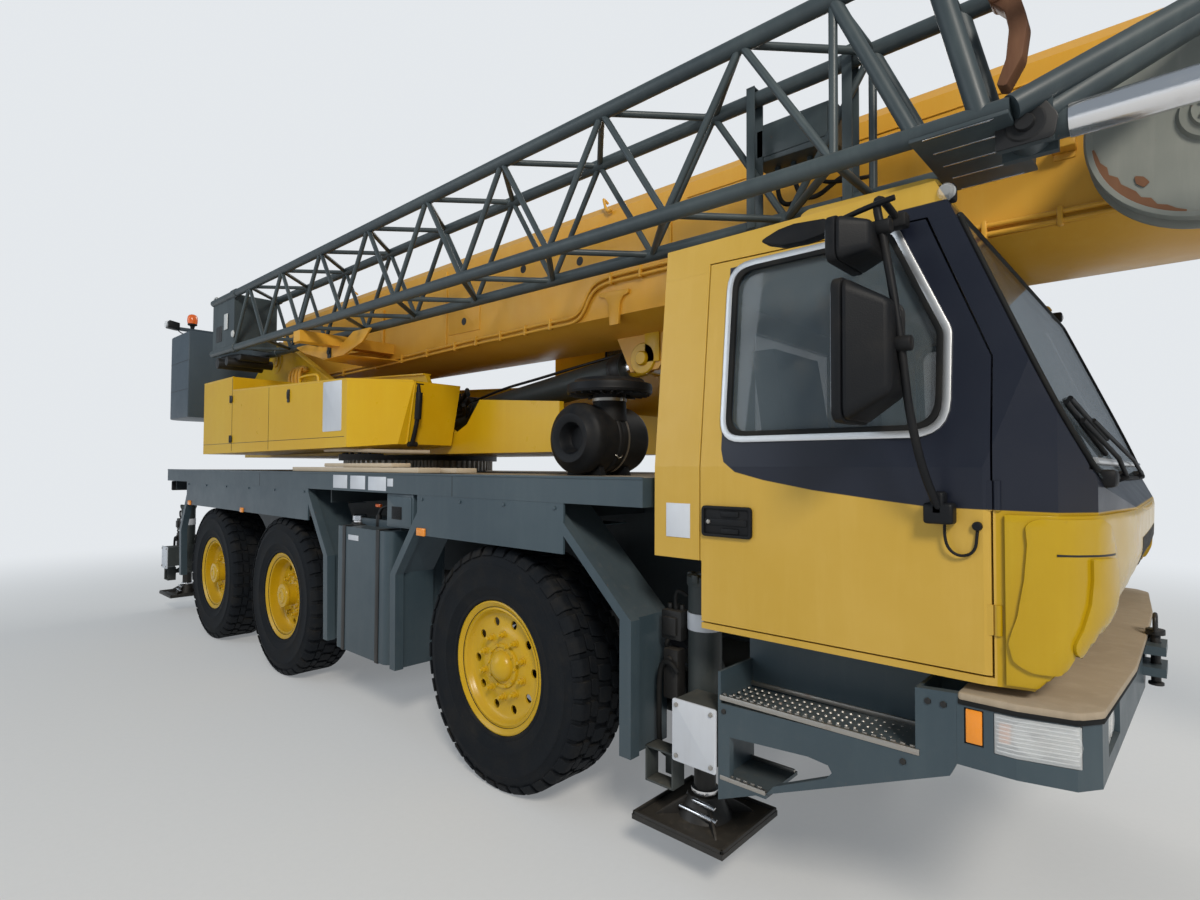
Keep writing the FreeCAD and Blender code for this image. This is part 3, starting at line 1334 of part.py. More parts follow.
def jib():
    """Four chords laced on all sides, with a plated tip, a plated base and four base legs."""
    tip = float(S.jib_tip_x)
    joint = float(S.jib_joint_x)
    base = float(S.jib_base_x)
    near = float(S.jib_near_y)
    far = float(S.jib_far_y)
    top = float(S.jib_top_z)
    chord = float(S.jib_chord_radius)
    lace = float(S.jib_lace_radius)

    def corner(x, y, high):
        """A point on one of the four chords' middles."""
        return Vector(x, y, top if high else float(jib_low_at(x)))

    plate_end = tip + JIB_TIP_PLATES
    step = (joint - plate_end) / JIB_BAYS
    last = base - 275.0
    chords = ((near, False), (near, True), (far, False), (far, True))
    tubes = [strut_between(corner(tip, y, high), corner(base, y, high), chord) for y, high in chords]
    for bay in range(JIB_BAYS):
        a = plate_end + bay * step
        b = a + step
        near_high = bay % 2 == 1
        laces = (((near, near_high), (near, not near_high)), ((far, not near_high), (far, near_high)),
                 ((near if near_high else far, True), (far if near_high else near, True)),
                 ((far if near_high else near, False), (near if near_high else far, False)))
        for (y_a, high_a), (y_b, high_b) in laces:
            tubes.append(strut_between(corner(a, y_a, high_a), corner(b, y_b, high_b), lace))
    for y in (near, far):
        tubes.append(strut_between(corner(joint, y, False), corner(joint, y, True), lace))
        tubes.append(strut_between(corner(joint, y, True), corner(last, y, False), lace * 1.5))
        tubes.append(strut_between(corner(base - 80.0, y, False), corner(base - 230.0, y, True), chord))
    for x, high in ((joint, True), (joint, False), (last, False), (base - 230.0, True), (base, True)):
        tubes.append(strut_between(corner(x, near, high), corner(x, far, high), lace))
    apex = Vector(float(S.boom_front_x) - 45.0, -JIB_APEX_Y - 60.0, JIB_APEX_Z)
    rod_x, rod_y, rod_z, rod_length, rod_radius = JIB_ROD
    for start in (corner(base, near, False), corner(base, near, True), corner(base, far, True),
                  Vector(rod_x, rod_y - 37.0, rod_z + 18.0)):
        tubes.append(strut_between(start, apex, float(S.jib_leg_radius)))
    tubes.append(strut_between(apex - Vector(0, 60, 0), apex + Vector(0, 60, 0), 52.0))
    low_tip = float(jib_low_at(tip))
    for y in (near, far):
        tubes.append(Part.makeBox(JIB_TIP_PLATES, 10.0, top - low_tip, Vector(tip, y - 5.0, low_tip)))
    tubes.append(Part.makeBox(40.0, far - near, top - low_tip, Vector(plate_end - 40.0, near, low_tip)))
    low_last = float(jib_low_at(last))
    tubes.append(Part.makeBox(base - last, far - near, 12.0, Vector(last, near, low_last - 12.0)))
    tubes.append(Part.makeCylinder(rod_radius, rod_length, Vector(rod_x, rod_y, rod_z), Vector(1, 0, 0)))
    tubes.append(Part.makeBox(150.0, 30.0, 120.0, Vector(rod_x - 110.0, rod_y - 65.0, rod_z - 60.0)))
    tubes.append(Part.makeBox(150.0, 30.0, 120.0, Vector(rod_x - 110.0, rod_y + 35.0, rod_z - 60.0)))
    tubes.append(Part.makeCylinder(32.0, 140.0, Vector(rod_x - 30.0, rod_y - 70.0, rod_z), Vector(0, 1, 0)))
    tubes.append(Part.makeCylinder(60.0, 66.0, Vector(rod_x - 30.0, rod_y - 33.0, rod_z), Vector(0, 1, 0)))
    return feature(tubes[0].multiFuse(tubes[1:]))


node("jib", jib())


def cable_reel():
    """A flat cable drum on a short arm from the boom's flank."""
    outer_y = -S.reel_outer_y
    disc = bar("y", (S.reel_x, outer_y, S.reel_z), S.reel_radius, 20.0)
    second = bar("y", (S.reel_x, outer_y + 100.0, S.reel_z), S.reel_radius, 20.0)
    core = bar("y", (S.reel_x, outer_y + 10.0, S.reel_z), S.reel_radius * 0.6, 100.0)
    hub = bar("y", (S.reel_x, outer_y - 30.0, S.reel_z), 90.0,
              S.reel_outer_y + 30.0 - S.boom_half_width - S.fit_gap)
    return joined(disc, second, core, hub)


node("cable_reel", cable_reel())


def hook_block():
    """Side cheeks, a sheave and the hook, hanging on its rope falls from the boom head."""
    x = S.boom_front_x + len(SECTIONS) * S.section_step + S.head_length
    z = S.head_sheave_z - S.hook_block_drop
    parts = []
    for y in (SHEAVE_ROWS[0], SHEAVE_ROWS[-1]):
        parts.append(bar("z", (x, y, z), 12.0, S.hook_block_drop - S.sheave_radius - S.fit_gap))
    parts.append(block((x - 130.0, x + 130.0), (-170.0, 170.0), (z - 260.0, z + 40.0)))
    parts.append(bar("z", (x, 0.0, z - 350.0), S.hook_shank_radius, 100.0))
    middle = Vector(float(x), 0, float(z) - 430.0)
    bend = Part.makeTorus(85.0, 32.0, middle, Vector(0, 1, 0), 0, 360, 270)
    bend.rotate(middle, Vector(0, 1, 0), 90)
    parts.append(feature(bend))
    return joined(*parts)


node("hook_block", hook_block())

doc.recompute()

faults = [thing.Name for thing in doc.Objects if "Invalid" in thing.State or "Error" in thing.State]
for thing in nodes:
    if thing.Shape.isNull() or not thing.Shape.isValid() or not thing.Shape.Solids:
        faults.append(thing.Label)
if faults:
    raise SystemExit("not built: " + ", ".join(faults))

os.makedirs("parts", exist_ok=True)
for thing in nodes:
    thing.Shape.exportStep("parts/%s.step" % thing.Label)
    print("%-24s %d solids %.4f m3" % (thing.Label, len(thing.Shape.Solids), thing.Shape.Volume / 1e9))
print(len(nodes), "nodes")
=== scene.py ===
"""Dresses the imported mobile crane: its finishes, fine pieces, studio and camera."""

import logging
import math
from contextlib import contextmanager
from dataclasses import dataclass, field
from enum import Enum
from typing import Callable, Iterable, Iterator, Optional, Sequence, Union

import bmesh
import bpy
from mathutils import Matrix, Vector


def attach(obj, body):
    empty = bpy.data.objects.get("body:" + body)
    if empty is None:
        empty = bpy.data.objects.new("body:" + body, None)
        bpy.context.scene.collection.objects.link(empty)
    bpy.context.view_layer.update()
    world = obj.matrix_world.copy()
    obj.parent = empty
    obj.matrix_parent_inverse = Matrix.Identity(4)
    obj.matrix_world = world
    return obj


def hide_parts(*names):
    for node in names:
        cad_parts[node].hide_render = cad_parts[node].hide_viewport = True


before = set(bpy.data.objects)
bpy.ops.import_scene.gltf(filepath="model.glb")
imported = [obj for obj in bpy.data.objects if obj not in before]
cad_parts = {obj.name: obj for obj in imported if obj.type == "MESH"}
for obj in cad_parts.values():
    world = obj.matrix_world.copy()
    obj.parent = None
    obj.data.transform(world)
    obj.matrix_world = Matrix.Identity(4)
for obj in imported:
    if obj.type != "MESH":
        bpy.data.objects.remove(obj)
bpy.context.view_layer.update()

log = logging.getLogger("crane")
Point = Sequence[float]
Number = Union[int, float]
Piece = bpy.types.Object

SIDES = (("right", -1), ("left", 1))


class Axis(Enum):
    """A direction of the object's frame."""

    X = 0
    Y = 1
    Z = 2


class Plane(Enum):
    """The plane that a flat outline is drawn in."""

    XY = "xy"
    XZ = "xz"
    YZ = "yz"


# Shader maths


def maths(operation: str, reflected: bool = False) -> Callable[["Value", object], "Value"]:
    """An operator of Value that adds one Math node.

    Args:
        operation: What the node does.
        reflected: Whether the other operand comes first.

    Returns:
        The operator.
    """
    def work(value: "Value", other: object) -> "Value":
        """Add the node and return its result."""
        first, second = (other, value) if reflected else (value, other)
        return value.graph.add("ShaderNodeMath", {"operation": operation}, {0: first, 1: second})
    return work


class Value:
    """A socket that takes part in plain Python expressions."""

    def __init__(self, graph: "Graph", socket: bpy.types.NodeSocket) -> None:
        """Wrap one output socket of a graph."""
        self.graph = graph
        self.socket = socket

    __add__ = maths("ADD")
    __radd__ = maths("ADD", True)
    __sub__ = maths("SUBTRACT")
    __rsub__ = maths("SUBTRACT", True)
    __mul__ = maths("MULTIPLY")
    __rmul__ = maths("MULTIPLY", True)

    def rise(self, low: Number, high: Number) -> "Value":
        """A smooth step from 0 at low to 1 at high.

        Args:
            low: Where the step starts.
            high: Where it ends; below low, the step falls.

        Returns:
            The step as a value from 0 to 1.
        """
        if low > high:
            return 1.0 - self.rise(high, low)
        settings = {"interpolation_type": "SMOOTHSTEP"}
        return self.graph.add("ShaderNodeMapRange", settings, {0: self, 1: low, 2: high})


class Graph:
    """A material's node tree, built from expressions."""

    def __init__(self, name: str) -> None:
        """Start an empty material with an output node."""
        self.material = bpy.data.materials.new(name)
        self.material.use_nodes = True
        self.tree = self.material.node_tree
        self.tree.nodes.clear()
        self.output = self.tree.nodes.new("ShaderNodeOutputMaterial")
        self._place: Optional[Value] = None

    def _feed(self, socket: bpy.types.NodeSocket, value: object) -> None:
        """Link a value to an input, or write a constant into it."""
        if isinstance(value, Value):
            self.tree.links.new(value.socket, socket)
        elif socket.type == "RGBA" and len(value) == 3:
            socket.default_value = (*value, 1.0)
        else:
            socket.default_value = value

    def add(self, kind: str, settings: dict, inputs: dict, output: Union[int, str] = 0) -> Value:
        """Add any node.

        Args:
            kind: The node's type.
            settings: Properties that are set first.
            inputs: Values or links by the input's name or number.
            output: The output that is returned.

        Returns:
            That output, ready for expressions.
        """
        made = self.tree.nodes.new(kind)
        for key, value in settings.items():
            setattr(made, key, value)
        for key, value in inputs.items():
            self._feed(made.inputs[key], value)
        return Value(self, made.outputs[output])

    @property
    def place(self) -> Value:
        """The point on the piece, in its own coordinates."""
        if self._place is None:
            self._place = self.add("ShaderNodeTexCoord", {}, {}, "Object")
        return self._place

    def part(self, axis: Axis, vector: Optional[Value] = None) -> Value:
        """One coordinate of a point."""
        return self.add("ShaderNodeSeparateXYZ", {}, {0: vector or self.place}, axis.value)

    def upward(self) -> Value:
        """How far the surface faces up, from -1 to 1."""
        normal = self.add("ShaderNodeTexCoord", {}, {}, "Normal")
        return self.part(Axis.Z, normal)

    def stretched(self, scale: Point) -> Value:
        """The point with each coordinate scaled on its own."""
        return self.add("ShaderNodeMapping", {}, {"Vector": self.place, "Scale": tuple(scale)})

    def noise(self, scale: Number, detail: Number = 4.0, rough: Number = 0.55,
              vector: Optional[Value] = None) -> Value:
        """Soft noise from 0 to 1."""
        inputs = {"Vector": vector or self.place, "Scale": scale, "Detail": detail, "Roughness": rough}
        return self.add("ShaderNodeTexNoise", {}, inputs)

    def blend(self, share: object, first: object, second: object) -> Value:
        """A colour between two colours."""
        made = self.tree.nodes.new("ShaderNodeMix")
        made.data_type = "RGBA"
        made.clamp_factor = True
        self._feed(made.inputs[0], share)
        self._feed(made.inputs[6], first)
        self._feed(made.inputs[7], second)
        return Value(self, made.outputs[2])

    def bump(self, height: Value, distance: Number) -> Value:
        """A normal from a height in metres times distance."""
        return self.add("ShaderNodeBump", {}, {"Height": height, "Distance": distance})

    def surface(self, **inputs: object) -> bpy.types.Material:
        """Finish the material with one principled shader.

        Args:
            **inputs: Socket values, named with underscores for spaces.

        Returns:
            The finished material.
        """
        shader = self.tree.nodes.new("ShaderNodeBsdfPrincipled")
        for key, value in inputs.items():
            self._feed(shader.inputs[key.replace("_", " ")], value)
        self.tree.links.new(shader.outputs[0], self.output.inputs[0])
        return self.material

    def fade_into(self, colour: tuple[float, float, float], share: Value) -> None:
        """Blend the finished surface into an even glow.

        Args:
            colour: The glow's colour.
            share: How much of the glow shows, from 0 to 1.
        """
        surface = self.output.inputs[0].links[0].from_socket
        glow = self.tree.nodes.new("ShaderNodeEmission")
        glow.inputs[0].default_value = (*colour, 1.0)
        mix = self.tree.nodes.new("ShaderNodeMixShader")
        for source, target in ((share.socket, 0), (surface, 1), (glow.outputs[0], 2)):
            self.tree.links.new(source, mix.inputs[target])
        self.tree.links.new(mix.outputs[0], self.output.inputs[0])


# Finishes

DUST = (0.33, 0.27, 0.19)
RUST = (0.17, 0.07, 0.03)


@dataclass(frozen=True)
class Paint:
    """Work-worn machine paint: faded patches, streaks, dust and a few chips."""

    name: str
    colour: tuple[float, float, float]
    faded: tuple[float, float, float]
    gloss: float = 0.38
    dust: float = 0.35
    chips: float = 0.1
    under: tuple[float, float, float] = RUST

    def colour_of(self, graph: Graph) -> tuple[Value, Value, Value]:
        """The paint's colour, its chip mask and its dust mask."""
        patches = graph.noise(1.3, 5.0, 0.6).rise(0.35, 0.7)
        streaks = graph.noise(3.0, 5.0, 0.65, graph.stretched((5.0, 5.0, 0.5))).rise(0.45, 0.75)
        base = graph.blend(patches * 0.6 + streaks * 0.35, self.colour, self.faded)
        grains = graph.noise(26.0, 6.0, 0.7).rise(0.5, 0.78)
        up = graph.upward().rise(0.3, 0.95)
        low = graph.part(Axis.Z).rise(1.3, 0.3)
        film = (up * 0.75 + low * 0.3 + 0.1) * (grains * 0.6 + 0.4) * self.dust
        nicks = graph.noise(38.0, 3.0, 0.5).rise(0.735, 0.76) * graph.noise(2.1, 2.0).rise(0.52, 0.68)
        chips = nicks * self.chips * 8.0
        base = graph.blend(film, base, DUST)
        return graph.blend(chips, base, self.under), chips, film

    def material(self) -> bpy.types.Material:
        """Build the finish."""
        graph = Graph(self.name)
        base, chips, film = self.colour_of(graph)
        return self.finished(graph, base, chips, film)

    def finished(self, graph: Graph, base: Value, chips: Value, film: Value) -> bpy.types.Material:
        """Set roughness and the paint's skin round a colour that is worked out already."""
        smears = graph.noise(7.0, 5.0, 0.6) * 0.22
        skin = graph.noise(420.0, 2.0, 0.5) * 0.25 + graph.noise(9.0, 3.0, 0.5) * 0.6 - chips * 1.5
        return graph.surface(Base_Color=base, Roughness=smears + film * 0.5 + (self.gloss - 0.1),
                             Normal=graph.bump(skin, 0.0006), Specular_IOR_Level=0.35, Coat_Weight=0.06,
                             Coat_Roughness=0.2)


@dataclass(frozen=True)
class Metal:
    """Bare metal with fine scratches and dull spots."""

    name: str
    colour: tuple[float, float, float]
    rough: float
    stain: float = 0.2
    under: tuple[float, float, float] = RUST

    def material(self) -> bpy.types.Material:
        """Build the finish."""
        graph = Graph(self.name)
        spots = graph.noise(11.0, 6.0, 0.7).rise(0.55, 0.75) * self.stain
        lines = graph.noise(60.0, 3.0, 0.6, graph.stretched((1.0, 6.0, 6.0)))
        base = graph.blend(spots, self.colour, self.under)
        return graph.surface(Base_Color=base, Metallic=1.0 - spots * 0.8,
                             Roughness=lines * 0.15 + spots * 0.4 + self.rough,
                             Normal=graph.bump(lines, 0.0003))


@dataclass(frozen=True)
class Moulding:
    """Moulded plastic or rubber with a fine grain and settled dust."""

    name: str
    colour: tuple[float, float, float]
    rough: float = 0.55
    grain: float = 260.0
    depth: float = 0.0004
    dust: float = 0.2

    def material(self) -> bpy.types.Material:
        """Build the finish."""
        graph = Graph(self.name)
        specks = graph.noise(self.grain, 2.0, 0.5)
        clouds = graph.noise(6.0, 5.0, 0.65).rise(0.4, 0.8)
        film = (graph.upward().rise(0.2, 1.0) * 0.6 + 0.25) * clouds * self.dust
        base = graph.blend(film, self.colour, DUST)
        return graph.surface(Base_Color=base, Roughness=clouds * 0.15 + self.rough,
                             Normal=graph.bump(specks, self.depth), Specular_IOR_Level=0.2)


@dataclass(frozen=True)
class Clear:
    """Window or lamp glass, with a faint film of dirt."""

    name: str
    tint: tuple[float, float, float]
    clear: float = 0.35
    rough: float = 0.03

    def material(self) -> bpy.types.Material:
        """Build the finish."""
        graph = Graph(self.name)
        dirt = graph.noise(5.0, 6.0, 0.7).rise(0.45, 0.85)
        base = graph.blend(dirt * 0.3, self.tint, DUST)
        return graph.surface(Base_Color=base, Alpha=dirt * 0.1 + self.clear,
                             Roughness=dirt * 0.12 + self.rough, IOR=1.5, Specular_IOR_Level=0.6)


class Shade(Enum):
    """Every finish on the crane."""

    CARRIER = Paint("carrier_grey", (0.034, 0.058, 0.076), (0.052, 0.08, 0.098), dust=0.22, chips=0.08)
    CARRIER_DARK = Paint("guard_grey", (0.014, 0.022, 0.028), (0.026, 0.036, 0.042), gloss=0.5, dust=0.25)
    YELLOW = Paint("cab_yellow", (0.47, 0.295, 0.038), (0.53, 0.345, 0.068), gloss=0.33, dust=0.12,
                   chips=0.05)
    HOUSING = Paint("housing_yellow", (0.62, 0.36, 0.003), (0.66, 0.42, 0.012), gloss=0.3, dust=0.12)
    CORNER = Paint("corner_yellow", (0.42, 0.26, 0.002), (0.47, 0.31, 0.01), gloss=0.22, dust=0.06)
    BOOM = Paint("boom_yellow", (0.66, 0.33, 0.026), (0.7, 0.39, 0.055), gloss=0.36, dust=0.2, chips=0.1)
    WHEEL = Paint("wheel_yellow", (0.52, 0.31, 0.0), (0.58, 0.37, 0.01), gloss=0.28, dust=0.2, chips=0.12)
    JIB = Paint("jib_grey", (0.032, 0.046, 0.054), (0.06, 0.08, 0.085), gloss=0.45, dust=0.15, chips=0.14)
    WEIGHT = Paint("weight_grey", (0.045, 0.068, 0.09), (0.066, 0.092, 0.115), gloss=0.5, dust=0.22)
    REEL = Paint("reel_grey", (0.16, 0.175, 0.16), (0.24, 0.25, 0.225), gloss=0.6, dust=0.3, chips=0.3)
    WHITE = Paint("white_plate", (0.6, 0.64, 0.7), (0.5, 0.52, 0.56), gloss=0.35, dust=0.25, chips=0.15)
    JACK = Paint("jack_grey", (0.022, 0.032, 0.036), (0.045, 0.056, 0.058), gloss=0.5, dust=0.3, chips=0.2)
    BLACK_IRON = Paint("black_iron", (0.007, 0.008, 0.01), (0.018, 0.019, 0.02), gloss=0.45, dust=0.2)
    RUSTY = Paint("rusty_iron", (0.12, 0.05, 0.025), (0.2, 0.1, 0.05), gloss=0.8, dust=0.3)
    DUSTY = Paint("dusty_cover", (0.3, 0.24, 0.17), (0.46, 0.38, 0.28), gloss=0.75, dust=0.8)
    LAMP = Paint("lamp_bowl", (0.55, 0.56, 0.55), (0.62, 0.63, 0.62), gloss=0.3, dust=0.1)
    STEEL = Metal("worn_steel", (0.42, 0.4, 0.37), 0.38, 0.6)
    CHROME = Metal("rod_chrome", (0.78, 0.78, 0.8), 0.08, 0.05)
    ALLOY = Metal("window_alloy", (0.68, 0.69, 0.7), 0.35, 0.1)
    BLACK = Moulding("black_moulding", (0.006, 0.007, 0.009), 0.5, dust=0.1)
    RUBBER = Moulding("black_rubber", (0.008, 0.009, 0.01), 0.7, dust=0.15)
    TYRE = Moulding("tyre_rubber", (0.004, 0.006, 0.009), 0.75, 90.0, 0.0012, 0.14)
    TRIM = Moulding("dash_trim", (0.09, 0.085, 0.08), 0.6)
    WOOD = Moulding("bleached_planks", (0.55, 0.47, 0.36), 0.8, 40.0, 0.002, 0.5)
    WINDOW = Clear("window_glass", (0.1, 0.13, 0.15), 0.5, 0.02)
    LENS = Clear("lamp_lens", (0.8, 0.83, 0.85), 0.32, 0.12)
    AMBER = Clear("amber_lens", (0.9, 0.3, 0.02), 0.9, 0.15)
    BEACON = Clear("beacon_lens", (0.95, 0.16, 0.01), 0.92, 0.15)


class Finishes:
    """Builds each finish once, when it is first asked for."""

    made: dict[Shade, bpy.types.Material] = {}

    @classmethod
    def of(cls, shade: Shade) -> bpy.types.Material:
        """The material of one finish."""
        if shade not in cls.made:
            cls.made[shade] = shade.value.material()
        return cls.made[shade]


# Modelling

FULL_TURN = 2.0 * math.pi
BEVEL_ANGLE = math.radians(35.0)
SMOOTH_ANGLE = math.radians(38.0)
PIPE_SMOOTH_ANGLE = math.radians(50.0)
MERGE_DISTANCE = 0.00002
NO_LENGTH = 0.00001
THINNEST = 1e-4


def turns(count: int, start: float = 0.0, axis: Axis = Axis.Z) -> list[Matrix]:
    """Even turns about an axis."""
    return [Matrix.Rotation(start + FULL_TURN * step / count, 4, axis.name) for step in range(count)]


class Bench:
    """Modelling steps that the sub-assemblies share."""

    @staticmethod
    def clear() -> None:
        """Leave nothing selected."""
        if bpy.context.object is not None and bpy.context.object.mode != "OBJECT":
            bpy.ops.object.mode_set(mode="OBJECT")
        bpy.ops.object.select_all(action="DESELECT")

    @classmethod
    def take(cls, *pieces: Piece) -> Piece:
        """Select only these pieces; the first is active."""
        cls.clear()
        for piece in pieces:
            piece.select_set(True)
        bpy.context.view_layer.objects.active = pieces[0]
        return pieces[0]

    @staticmethod
    @contextmanager
    def editing() -> Iterator[None]:
        """Edit mode with the whole mesh selected."""
        bpy.ops.object.mode_set(mode="EDIT")
        bpy.ops.mesh.select_all(action="SELECT")
        yield
        bpy.ops.object.mode_set(mode="OBJECT")

    @staticmethod
    def twin_of(piece: Piece) -> Piece:
        """A copy with a mesh of its own."""
        twin = piece.copy()
        twin.data = piece.data.copy()
        bpy.context.scene.collection.objects.link(twin)
        return twin

    @classmethod
    def settle(cls, piece: Piece) -> Piece:
        """Put a piece's place, turn and size into its mesh."""
        cls.take(piece)
        bpy.ops.object.transform_apply(location=True, rotation=True, scale=True)
        return piece

    @classmethod
    def apply(cls, piece: Piece, kind: str, **settings: object) -> Piece:
        """Add a modifier with its settings and apply it."""
        cls.take(piece)
        modifier = piece.modifiers.new(kind.title(), kind)
        for key, value in settings.items():
            setattr(modifier, key, value)
        bpy.ops.object.modifier_apply(modifier=modifier.name)
        return piece

    @classmethod
    def edged(cls, piece: Piece, edge: float, steps: int = 2) -> Piece:
        """Round a piece's sharp edges and shade it smooth by angle."""
        if edge > 0.0:
            cls.apply(piece, "BEVEL", width=edge, segments=steps, limit_method="ANGLE",
                      angle_limit=BEVEL_ANGLE, use_clamp_overlap=True, harden_normals=False)
        cls.take(piece)
        bpy.ops.object.shade_smooth_by_angle(angle=SMOOTH_ANGLE)
        return piece

    @classmethod
    def slab(cls, low: Point, high: Point, edge: float = 0.003, steps: int = 2) -> Piece:
        """A block between two corners, with rounded edges.

        Args:
            low: Lowest corner in metres.
            high: Highest corner in metres.
            edge: Radius of the edges.
            steps: Faces across an edge.

        Returns:
            The block.
        """
        cls.clear()
        centre = [(a + b) / 2.0 for a, b in zip(low, high)]
        bpy.ops.mesh.primitive_cube_add(size=1.0, location=centre)
        piece = bpy.context.object
        piece.scale = [max(b - a, THINNEST) for a, b in zip(low, high)]
        cls.settle(piece)
        return cls.edged(piece, edge, steps)

    @classmethod
    def drum(cls, start: Point, end: Point, radius: float, sides: int = 24, edge: float = 0.003,
             tip: Optional[float] = None) -> Piece:
        """A round bar or cone from one point to another.

        Args:
            start: Centre of the first end.
            end: Centre of the second end.
            radius: Radius at the start.
            sides: Faces round it.
            edge: Radius of the rims.
            tip: Radius at the end, if it differs.

        Returns:
            The bar.
        """
        cls.clear()
        way = Vector(end) - Vector(start)
        centre = (Vector(start) + Vector(end)) / 2.0
        bpy.ops.mesh.primitive_cone_add(vertices=sides, radius1=radius, depth=way.length, location=centre,
                                        radius2=radius if tip is None else tip)
        piece = bpy.context.object
        piece.rotation_euler = way.to_track_quat("Z", "Y").to_euler()
        cls.settle(piece)
        return cls.edged(piece, edge, 2)

    @classmethod
    def outline(cls, points: Sequence[Point], fill: str) -> Piece:
        """A closed line through points, or a face when fill says so."""
        cls.clear()
        bpy.ops.mesh.primitive_circle_add(vertices=len(points), radius=1.0, fill_type=fill)
        piece = bpy.context.object
        for vertex, point in zip(piece.data.vertices, points):
            vertex.co = point
        return piece

    @classmethod
    def plate(cls, plane: Plane, points: Sequence[Point], low: float, high: float, edge: float = 0.002,
              steps: int = 2) -> Piece:
        """A flat outline raised to a plate.

        Args:
            plane: The plane of the outline.
            points: Corners in order.
            low: Where the plate starts along the plane's normal.
            high: Where it ends.
            edge: Radius of its edges.
            steps: Faces across an edge.

        Returns:
            The plate.
        """
        piece = cls.outline([cls.lifted(plane, u, v, low) for u, v in points], "NGON")
        normal = {Plane.XY: (0, 0, 1), Plane.XZ: (0, 1, 0), Plane.YZ: (1, 0, 0)}[plane]
        step = [n * (high - low) for n in normal]
        with cls.editing():
            bpy.ops.mesh.extrude_region_move(TRANSFORM_OT_translate={"value": step})
            bpy.ops.mesh.select_all(action="SELECT")
            bpy.ops.mesh.normals_make_consistent(inside=False)
        cls.settle(piece)
        return cls.edged(piece, edge, steps)

    @staticmethod
    def lifted(plane: Plane, u: float, v: float, level: float) -> tuple[float, float, float]:
        """A point of a plane at a level along its normal."""
        return {Plane.XY: (u, v, level), Plane.XZ: (u, level, v), Plane.YZ: (level, u, v)}[plane]

    @classmethod
    def lathe(cls, profile: Sequence[tuple[float, float]], centre: Point, axis: Axis = Axis.Y,
              steps: int = 48) -> Piece:
        """A closed profile of (radius, distance along the axis) turned about the axis.

        Args:
            profile: Corners of the profile in order.
            centre: A point on the axis.
            axis: The axis it is turned about.
            steps: Faces round it.

        Returns:
            The turned piece.
        """
        piece = cls.outline([(radius, 0.0, along) for radius, along in profile], "NOTHING")
        with cls.editing():
            bpy.ops.mesh.spin(steps=steps, angle=FULL_TURN, center=(0, 0, 0), axis=(0, 0, 1))
            bpy.ops.mesh.select_all(action="SELECT")
            bpy.ops.mesh.remove_doubles(threshold=MERGE_DISTANCE)
            bpy.ops.mesh.dissolve_degenerate(threshold=NO_LENGTH)
            bpy.ops.mesh.normals_make_consistent(inside=False)
        quarter = FULL_TURN / 4.0
        piece.rotation_euler = {Axis.X: (0, quarter, 0), Axis.Y: (-quarter, 0, 0), Axis.Z: (0, 0, 0)}[axis]
        piece.location = centre
        cls.settle(piece)
        return cls.edged(piece, 0.0)

    @classmethod
    def pipe(cls, points: Sequence[Point], radius: float, bend: bool = True, sides: int = 10) -> Piece:
        """A bar or hose bent through points, closed at both ends.

        Args:
            points: The points of its line.
            radius: Its radius.
            bend: Whether it runs smoothly or straight between the points.
            sides: Faces round it.

        Returns:
            The pipe as a mesh.
        """
        cls.clear()
        curve = bpy.data.curves.new("line", "CURVE")
        curve.dimensions = "3D"
        curve.bevel_depth = radius
        curve.bevel_resolution = max(1, sides // 4)
        curve.use_fill_caps = True
        curve.resolution_u = 6
        spline = curve.splines.new("NURBS" if bend else "POLY")
        spline.points.add(len(points) - 1)
        for place, point in zip(spline.points, points):
            place.co = (*point, 1.0)
        if bend:
            spline.order_u = 3
            spline.use_endpoint_u = True
        piece = bpy.data.objects.new("line", curve)
        bpy.context.scene.collection.objects.link(piece)
        cls.take(piece)
        bpy.ops.object.convert(target="MESH")
        piece = bpy.context.object
        bpy.ops.object.shade_smooth_by_angle(angle=PIPE_SMOOTH_ANGLE)
        return piece

    @classmethod
    def together(cls, pieces: Sequence[Piece]) -> Piece:
        """Several pieces as one."""
        cls.take(*pieces)
        if len(pieces) > 1:
            bpy.ops.object.join()
        return bpy.context.object

    @classmethod
    def copies(cls, piece: Piece, moves: Iterable[Matrix]) -> Piece:
        """Copies of a piece at each move, with the piece itself used up."""
        made = []
        for move in moves:
            twin = cls.twin_of(piece)
            twin.data.transform(move)
            made.append(twin)
        bpy.data.objects.remove(piece)
        return cls.together(made)

    @classmethod
    def reflect(cls, piece: Piece, axis: Axis = Axis.Y, about: float = 0.0) -> Piece:
        """Turn a piece into its mirror image, across the object's middle plane or another."""
        for vertex in piece.data.vertices:
            vertex.co[axis.value] = 2.0 * about - vertex.co[axis.value]
        cls.take(piece)
        with cls.editing():
            bpy.ops.mesh.flip_normals()
        return piece


class Assembly(Bench):
    """A group of pieces that ride on the crane's bodies."""

    def place(self, name: str, body: str, shade: Shade, *parts: Piece, replaces: Sequence[str] = ()) -> Piece:
        """Join parts into a named piece, dress it and let it ride on a body.

        Args:
            name: The piece's name.
            body: The body it moves with.
            shade: Its finish.
            *parts: What it is made of.
            replaces: CAD nodes that it stands for.

        Returns:
            The finished piece.
        """
        piece = self.together(parts)
        piece.name = name
        piece.data.name = name
        piece.data.materials.clear()
        piece.data.materials.append(Finishes.of(shade))
        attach(piece, body)
        if replaces:
            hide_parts(*replaces)
        log.info("%s rides on %s: %d faces", name, body, len(piece.data.polygons))
        return piece

    def build(self) -> None:
        """Make every piece of the sub-assembly."""
        raise NotImplementedError


# Finishes that follow one node's shape

